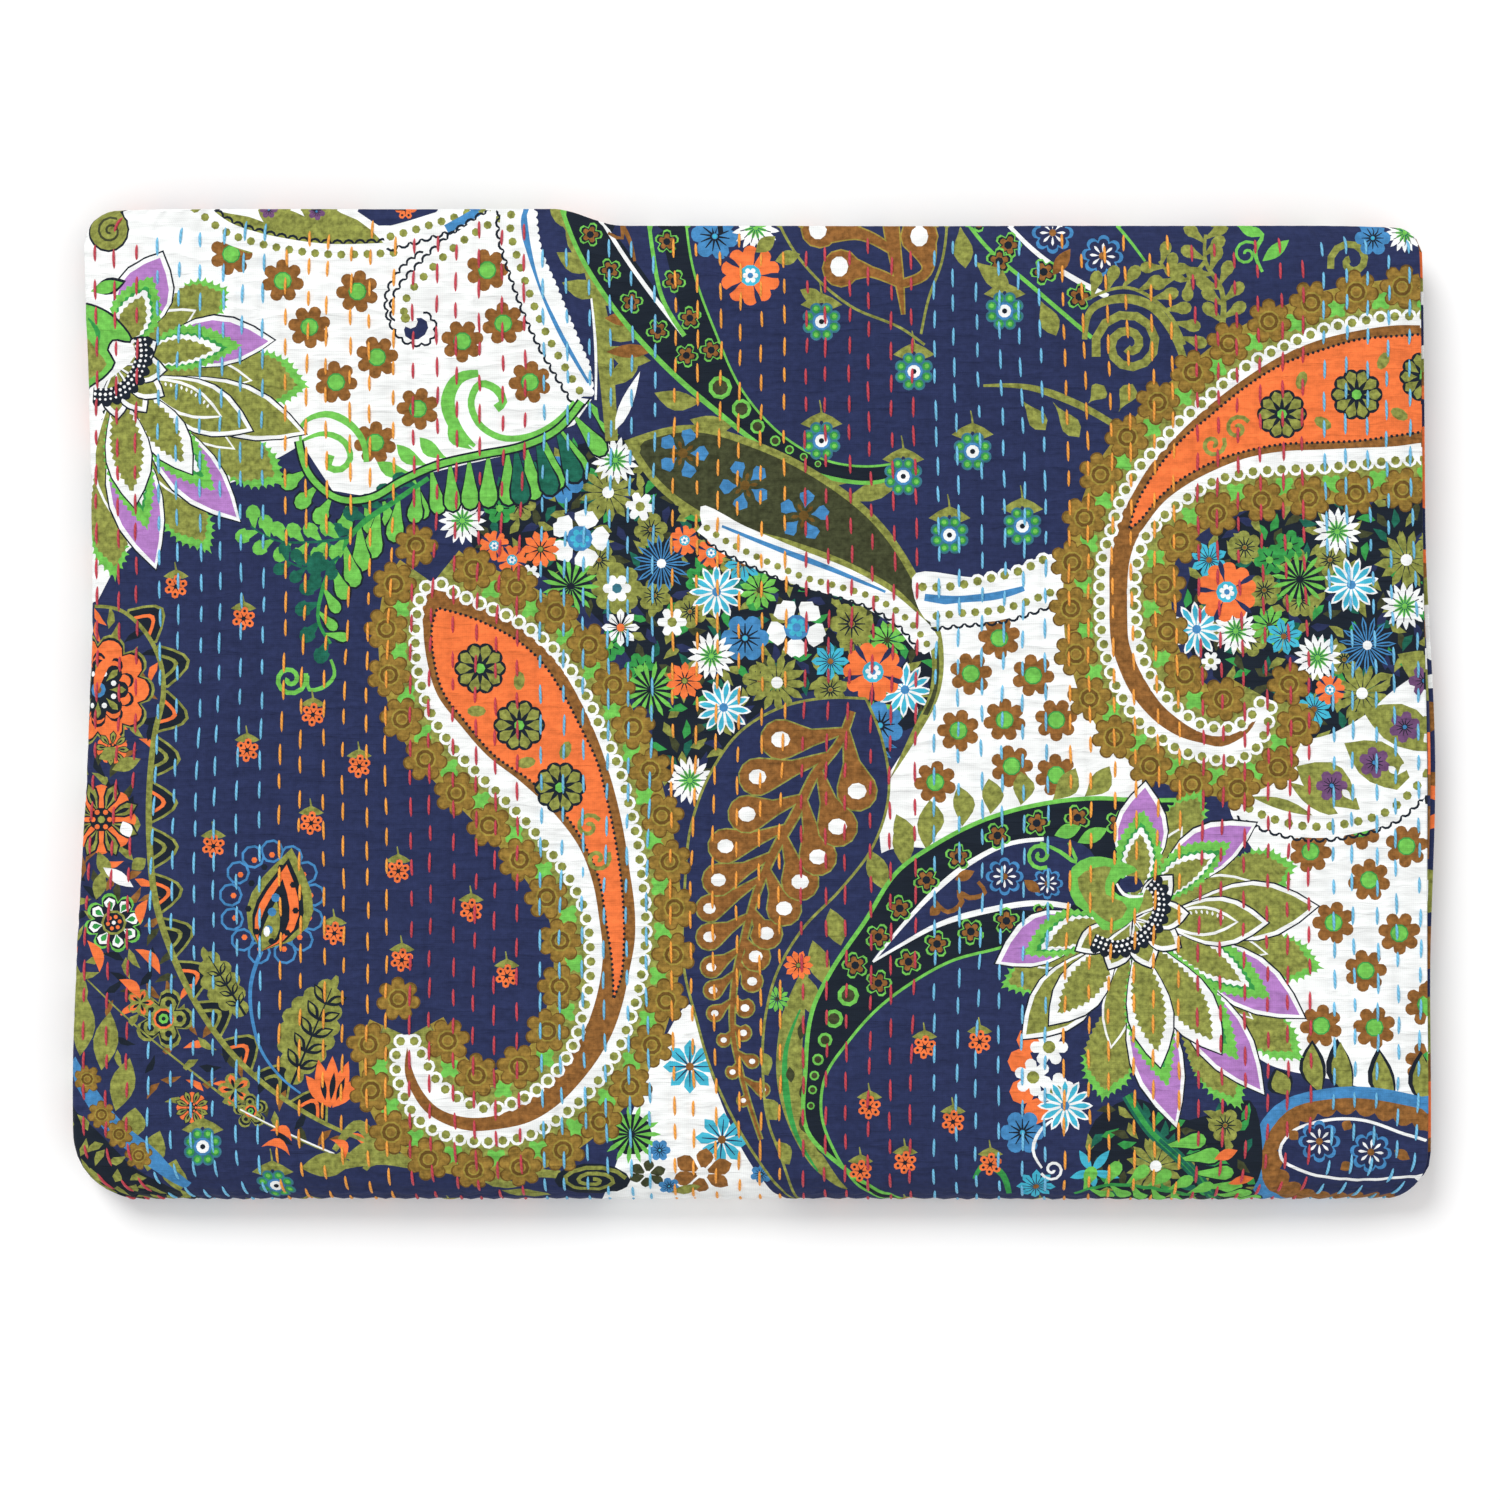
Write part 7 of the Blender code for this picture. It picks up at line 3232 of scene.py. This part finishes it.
@dataclass(frozen=True)
class CottonThread:
    """Loosely twisted embroidery cotton: soft and slightly shiny, with the twist drawn as fine bands of
    relief and of painted shade.
    """

    name: str
    hex_colour: str
    roughness: float = 0.62
    twist: float = 1.3  # mm from band to band
    twist_height: float = 0.12  # mm
    twist_shade: Point = (0.8, 1.08)  # painted shade between the bands and painted light on them
    wear: float = 30.0  # mm, size of a worn place
    wear_tone: Point = (0.88, 1.12)

    def make(self) -> bpy.types.Material:
        """Builds the material.

        Returns:
            The material.
        """
        material, tree = new_material(self.name)
        place = add_node(tree, "ShaderNodeTexCoord")
        bands = add_node(
            tree,
            "ShaderNodeTexWave",
            {"Vector": place.outputs["Object"], "Scale": TAU / 20 / (self.twist * MM), "Distortion": 1.0},
            bands_direction="DIAGONAL",
        )
        fade = add_node(
            tree,
            "ShaderNodeTexNoise",
            {"Vector": place.outputs["Object"], "Scale": 1 / (self.wear * MM), "Detail": 2.0},
        )
        # Painted shade between the twist's bands and painted light on them
        shade = add_node(
            tree,
            "ShaderNodeMapRange",
            {0: bands.outputs["Fac"], 1: 0.0, 2: 1.0, 3: self.twist_shade[0], 4: self.twist_shade[1]},
        )
        worn = add_node(
            tree,
            "ShaderNodeMapRange",
            {0: fade.outputs["Fac"], 1: 0.3, 2: 0.7, 3: self.wear_tone[0], 4: self.wear_tone[1]},
        )
        both = add_node(
            tree, "ShaderNodeMath", {0: shade.outputs[0], 1: worn.outputs[0]}, operation="MULTIPLY",
        )
        colour = add_node(
            tree,
            "ShaderNodeVectorMath",
            {0: linear(self.hex_colour)[:3], "Scale": both.outputs[0]},
            operation="SCALE",
        )
        relief = add_node(tree, "ShaderNodeBump", {
            "Strength": 1.0, "Distance": self.twist_height * MM, "Height": bands.outputs["Fac"],
        })
        shader = add_node(
            tree,
            "ShaderNodeBsdfPrincipled",
            {
                "Base Color": colour.outputs[0],
                "Roughness": self.roughness,
                "Specular IOR Level": 0.35,
                "Sheen Weight": 0.15,
                "Normal": relief.outputs[0],
            },
        )
        add_node(tree, "ShaderNodeOutputMaterial", {"Surface": shader.outputs[0]})
        return material


# --------------------------------------------------------------------------------------------------
# The running stitch
# --------------------------------------------------------------------------------------------------


class Thread(Enum):
    """The three threads, in their order from the left: name and colour."""

    RED = ("stitches_red", "C23A4A")
    BLUE = ("stitches_blue", "6FBCE2")
    ORANGE = ("stitches_orange", "F2A03A")


@dataclass
class RunningStitch:
    """Rows of running stitch through the whole packet's outer face, in bands of three colours."""

    cloth: FoldedCloth
    shift: np.ndarray
    pitch: float = 17.4
    length: float = 10.8
    points: int = 6
    radius: float = 0.85
    sides: int = 5
    arch: float = 1.0
    dip: float = 0.45
    band: int = 6  # rows of one colour side by side
    offset: int = 3
    ends: Point = (4.0, 6.0)  # how far the rows stop short of the hem and of the back turn
    slide: float = 1.5  # how unevenly the stitches start
    lengths: Point = (0.82, 1.18)  # shortest and longest, as shares of the length
    beside: float = 0.35  # how far a stitch lies beside its row
    slant: float = 0.45  # how far its ends stand apart across the row
    seed: int = 400
    taper: float = 0.55  # thickness of a stitch's ends, as a share of its middle's

    def thread_of(self, row: int) -> Thread:
        """The thread of a row, counted from the right hem."""
        return list(Thread)[((self.cloth.rows - 1 - row + self.offset) // self.band) % len(Thread)]

    def row(self, row: int, chance: np.random.Generator) -> tuple[np.ndarray, np.ndarray, np.ndarray]:
        """The stitches of one row.

        Args:
            row: its number from the right hem.
            chance: the source of its unevenness.

        Returns:
            For every point of every stitch its place, the way out of the cloth and its share of the stitch.
        """
        cloth = self.cloth
        start, end = cloth.back_hem - self.ends[0], cloth.breaks[2] + self.ends[1]
        count = int((start - end) / self.pitch)
        first = start - np.arange(count) * self.pitch - chance.uniform(0, self.pitch)
        first = first + chance.uniform(-self.slide, self.slide, count)
        lengths = self.length * chance.uniform(*self.lengths, count)
        share = np.linspace(0.0, 1.0, self.points)
        v = first[:, None] - lengths[:, None] * share
        aside = chance.uniform(-self.beside, self.beside, (count, 1))
        aside = aside + chance.uniform(-self.slant, self.slant, (count, 1)) * (share - 0.5)
        straight = cloth.half_width - (row + 0.5) * cloth.pitch
        u = np.full_like(v, straight)
        for _ in range(3):
            u = straight + cloth.stray(u, v)
        u = u + aside
        shares = np.broadcast_to(share, v.shape)
        u, v, shares = u.ravel(), v.ravel(), shares.ravel()
        places = cloth.place(u, v, cloth.relief(u, v)) + self.shift
        return places, cloth.normals(u, v), shares

    def build(self, thread: Thread, material: bpy.types.Material) -> bpy.types.Object:
        """Makes all the stitches of one thread.

        Args:
            thread: which thread.
            material: its finish.

        Returns:
            The stitches as one object.
        """
        parts = []
        for row in range(self.cloth.rows):
            if self.thread_of(row) is thread:
                parts.append(self.row(row, np.random.default_rng(self.seed + row)))
        places, outward, shares = (np.concatenate(columns) for columns in zip(*parts))
        number = np.arange(len(places))
        starts = number[number % self.points != self.points - 1]
        mesh = bpy.data.meshes.new(thread.value[0])
        mesh.from_pydata((places * MM).tolist(), np.column_stack((starts, starts + 1)).tolist(), [])
        mesh.attributes.new("outward", "FLOAT_VECTOR", "POINT").data.foreach_set(
            "vector", outward.astype(np.float32).ravel()
        )
        mesh.attributes.new("share", "FLOAT", "POINT").data.foreach_set("value", shares.astype(np.float32))
        source = bpy.data.objects.new("stitch_lines", mesh)
        bpy.context.scene.collection.objects.link(source)
        modifier = source.modifiers.new("running stitch", "NODES")
        modifier.node_group = self.tree(material)
        sizes = {
            "Thread Radius": self.radius * MM,
            "Arch": self.arch * MM,
            "Dip": self.dip * MM,
            "Sides": self.sides,
        }
        for item in modifier.node_group.interface.items_tree:
            if item.name in sizes:
                modifier[item.identifier] = sizes[item.name]
        bpy.context.view_layer.update()
        evaluated = source.evaluated_get(bpy.context.evaluated_depsgraph_get())
        stitches = bpy.data.objects.new(thread.value[0], bpy.data.meshes.new_from_object(evaluated))
        bpy.context.scene.collection.objects.link(stitches)
        bpy.data.objects.remove(source)
        for name in ("outward", "share"):
            if name in stitches.data.attributes:
                stitches.data.attributes.remove(stitches.data.attributes[name])
        LOG.info("%s: %d stitches", stitches.name, len(places) // self.points)
        return stitches

    def tree(self, material: bpy.types.Material) -> bpy.types.NodeTree:
        """The node tree that turns lines into threads: it arches them out of the cloth and sweeps them.

        Args:
            material: the finish of the thread.

        Returns:
            The tree, with the sizes as its inputs.
        """
        tree = bpy.data.node_groups.new("running_stitch", "GeometryNodeTree")
        for name, direction, kind in (
            ("Geometry", "INPUT", "NodeSocketGeometry"),
            ("Thread Radius", "INPUT", "NodeSocketFloat"),
            ("Arch", "INPUT", "NodeSocketFloat"),
            ("Dip", "INPUT", "NodeSocketFloat"),
            ("Sides", "INPUT", "NodeSocketInt"),
            ("Geometry", "OUTPUT", "NodeSocketGeometry"),
        ):
            tree.interface.new_socket(name, in_out=direction, socket_type=kind)
        given = add_node(tree, "NodeGroupInput")
        share = add_node(tree, "GeometryNodeInputNamedAttribute", {"Name": "share"}, data_type="FLOAT")
        outward = add_node(
            tree, "GeometryNodeInputNamedAttribute", {"Name": "outward"}, data_type="FLOAT_VECTOR",
        )
        turned = add_node(tree, "ShaderNodeMath", {0: share.outputs[0], 1: math.pi}, operation="MULTIPLY")
        hump = add_node(tree, "ShaderNodeMath", {0: turned.outputs[0]}, operation="SINE")
        rise = add_node(
            tree, "ShaderNodeMath", {0: hump.outputs[0], 1: given.outputs["Arch"]}, operation="MULTIPLY"
        )
        height = add_node(
            tree, "ShaderNodeMath", {0: rise.outputs[0], 1: given.outputs["Dip"]}, operation="SUBTRACT"
        )
        lift = add_node(
            tree, "ShaderNodeVectorMath", {0: outward.outputs[0], "Scale": height.outputs[0]},
            operation="SCALE",
        )
        moved = add_node(tree, "GeometryNodeSetPosition", {
            "Geometry": given.outputs["Geometry"], "Offset": lift.outputs[0],
        })
        lines = add_node(tree, "GeometryNodeMeshToCurve", {"Mesh": moved.outputs[0]})
        section = add_node(
            tree,
            "GeometryNodeCurvePrimitiveCircle",
            {"Resolution": given.outputs["Sides"], "Radius": given.outputs["Thread Radius"]},
        )
        taper = add_node(
            tree, "ShaderNodeMapRange", {0: hump.outputs[0], 1: 0.0, 2: 0.7, 3: self.taper, 4: 1.0}
        )
        swept = add_node(
            tree,
            "GeometryNodeCurveToMesh",
            {
                "Curve": lines.outputs[0],
                "Profile Curve": section.outputs[0],
                "Scale": taper.outputs[0],
                "Fill Caps": True,
            },
        )
        smooth = add_node(tree, "GeometryNodeSetShadeSmooth", {"Geometry": swept.outputs[0]})
        real = add_node(tree, "GeometryNodeRealizeInstances", {"Geometry": smooth.outputs[0]})
        dressed = add_node(
            tree, "GeometryNodeSetMaterial", {"Geometry": real.outputs[0], "Material": material}
        )
        add_node(tree, "NodeGroupOutput", {"Geometry": dressed.outputs[0]})
        return tree


# --------------------------------------------------------------------------------------------------
# The studio
# --------------------------------------------------------------------------------------------------


class Lamp(NamedTuple):
    """A distant light: its place, the angle that it fills in degrees, and its power."""

    name: str
    place: tuple[float, float, float]
    angle: float
    power: float


@dataclass
class Studio:
    """A pale floor, soft light from all round and a camera almost straight above the packet."""

    aim: tuple[float, float, float] = (-0.0023, -0.0272, 0.030)
    distance: float = 2.0
    elevation: float = 87.0
    lens: float = 85.1
    sensor: float = 36.0
    sky: float = 0.55
    lamps: tuple[Lamp, ...] = (
        Lamp("window", (-1.0, 1.6, 1.7), 30.0, 1.8),
        Lamp("fill", (1.2, -0.9, 2.6), 70.0, 0.75),
    )
    floor_colour: str = "FCFCFC"
    floor_size: float = 8.0
    middle: Point = (-2.2, -25.9)  # the drawn place in the middle of the picture
    across: float = 843.6  # millimetres that the drawn places count across the picture

    def sight(self, drawn: np.ndarray) -> tuple[np.ndarray, np.ndarray]:
        """The camera's place in millimetres, and the ways in which it sees drawn places.

        Args:
            drawn: one x, y row for each drawn place.

        Returns:
            The eye's place, and one way for each drawn place.
        """
        tilt = math.radians(self.elevation)
        eye = np.array(self.aim) + self.distance * np.array([0.0, -math.cos(tilt), math.sin(tilt)])
        up = np.array([0.0, math.sin(tilt), math.cos(tilt)])
        forward = np.array([0.0, math.cos(tilt), -math.sin(tilt)])
        right, rise = (drawn - self.middle).T[:, :, None]
        ahead = forward * self.across * self.lens / self.sensor
        return PER_METRE * eye, ahead + right * (1.0, 0.0, 0.0) + rise * up

    def build(self) -> None:
        """Makes the floor, the world, the lights and the camera."""
        self.floor()
        world = bpy.data.worlds.new("studio")
        world.use_nodes = True
        background = world.node_tree.nodes["Background"]
        background.inputs["Color"].default_value = linear("FFFFFF")
        background.inputs["Strength"].default_value = self.sky
        scene = bpy.context.scene
        scene.world = world
        scene.view_settings.view_transform = "Standard"
        for lamp in self.lamps:
            light = bpy.data.lights.new(lamp.name, "SUN")
            light.angle = math.radians(lamp.angle)
            light.energy = lamp.power
            holder = bpy.data.objects.new(lamp.name, light)
            scene.collection.objects.link(holder)
            holder.location = lamp.place
            away = Vector(self.aim) - Vector(lamp.place)
            holder.rotation_euler = away.to_track_quat("-Z", "Y").to_euler()
        self.camera()

    def floor(self) -> None:
        """Makes the matt floor under the packet."""
        half = self.floor_size / 2
        mesh = bpy.data.meshes.new("floor")
        corners = [(-half, -half, 0.0), (half, -half, 0.0), (half, half, 0.0), (-half, half, 0.0)]
        mesh.from_pydata(corners, [], [(0, 1, 2, 3)])
        floor = bpy.data.objects.new("floor", mesh)
        bpy.context.scene.collection.objects.link(floor)
        # Matt paper: even and without gloss
        material, tree = new_material("floor_paper")
        shader = add_node(
            tree,
            "ShaderNodeBsdfPrincipled",
            {"Base Color": linear(self.floor_colour), "Roughness": 0.95, "Specular IOR Level": 0.1},
        )
        add_node(tree, "ShaderNodeOutputMaterial", {"Surface": shader.outputs[0]})
        mesh.materials.append(material)

    def camera(self) -> None:
        """Sets the camera, whose frame is taken to be square."""
        camera = bpy.data.cameras.new("camera")
        camera.lens = self.lens
        camera.sensor_width = self.sensor
        holder = bpy.data.objects.new("camera", camera)
        bpy.context.scene.collection.objects.link(holder)
        tilt = math.radians(self.elevation)
        away = Vector((0.0, -math.cos(tilt), math.sin(tilt))) * self.distance
        holder.location = Vector(self.aim) + away
        holder.rotation_euler = (math.radians(90.0 - self.elevation), 0.0, 0.0)
        bpy.context.scene.camera = holder


@dataclass
class Quilt:
    """The whole piece: the cloth, its print and its stitching."""

    studio: Studio
    cloth: FoldedCloth = field(default_factory=FoldedCloth)
    cut: Point = (1.524, 2.286)  # metres, the cloth laid flat
    under_turn: Point = (-2.5, -292.5)  # the print of the underside is that of the top, turned about this

    def canvases(self) -> tuple[Canvas, Canvas]:
        """The print of the top with the front edge, and that of the underside, turned half round.

        Returns:
            The two canvases, the top's first.
        """
        cloth = self.cloth
        front, back = cloth.breaks[1], cloth.breaks[2]
        shown = Canvas((cloth.under_u, front), (cloth.hem_u, cloth.back_hem))
        under = Canvas(
            (cloth.under_u, back), (cloth.hem_u, front), turn_about=self.under_turn, smallest=13.0
        )
        KanthaPrint(shown).draw()
        shown.move(lambda drawn: cloth.seen_at(*self.studio.sight(drawn)))
        KanthaPrint(under).draw()
        return shown, under

    def build(self) -> None:
        """Makes every piece and attaches it to the root body."""
        shown, under = self.canvases()
        LOG.info("print: %d shapes on top, %d below", len(shown.shapes), len(under.shapes))
        shift = self.cloth.shift()
        quilt = QuiltMesh(self.cloth, shown, under, shift).build("quilt_cloth")
        quilt.data.materials.append(PrintedCotton().make())
        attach(quilt, "root")
        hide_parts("quilt")
        LOG.info("%s: %d faces", quilt.name, len(quilt.data.polygons))
        stitching = RunningStitch(self.cloth, shift)
        for thread in Thread:
            name, colour = thread.value
            stitches = stitching.build(thread, CottonThread(f"{name}_thread", colour).make())
            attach(stitches, "root")
            LOG.info("%s: %d faces", stitches.name, len(stitches.data.polygons))


def main() -> None:
    """Builds the quilt and the studio."""
    logging.basicConfig(level=logging.INFO, format="%(name)s: %(message)s")
    studio = Studio()
    Quilt(studio).build()
    studio.build()


if __name__ == "__main__":
    main()
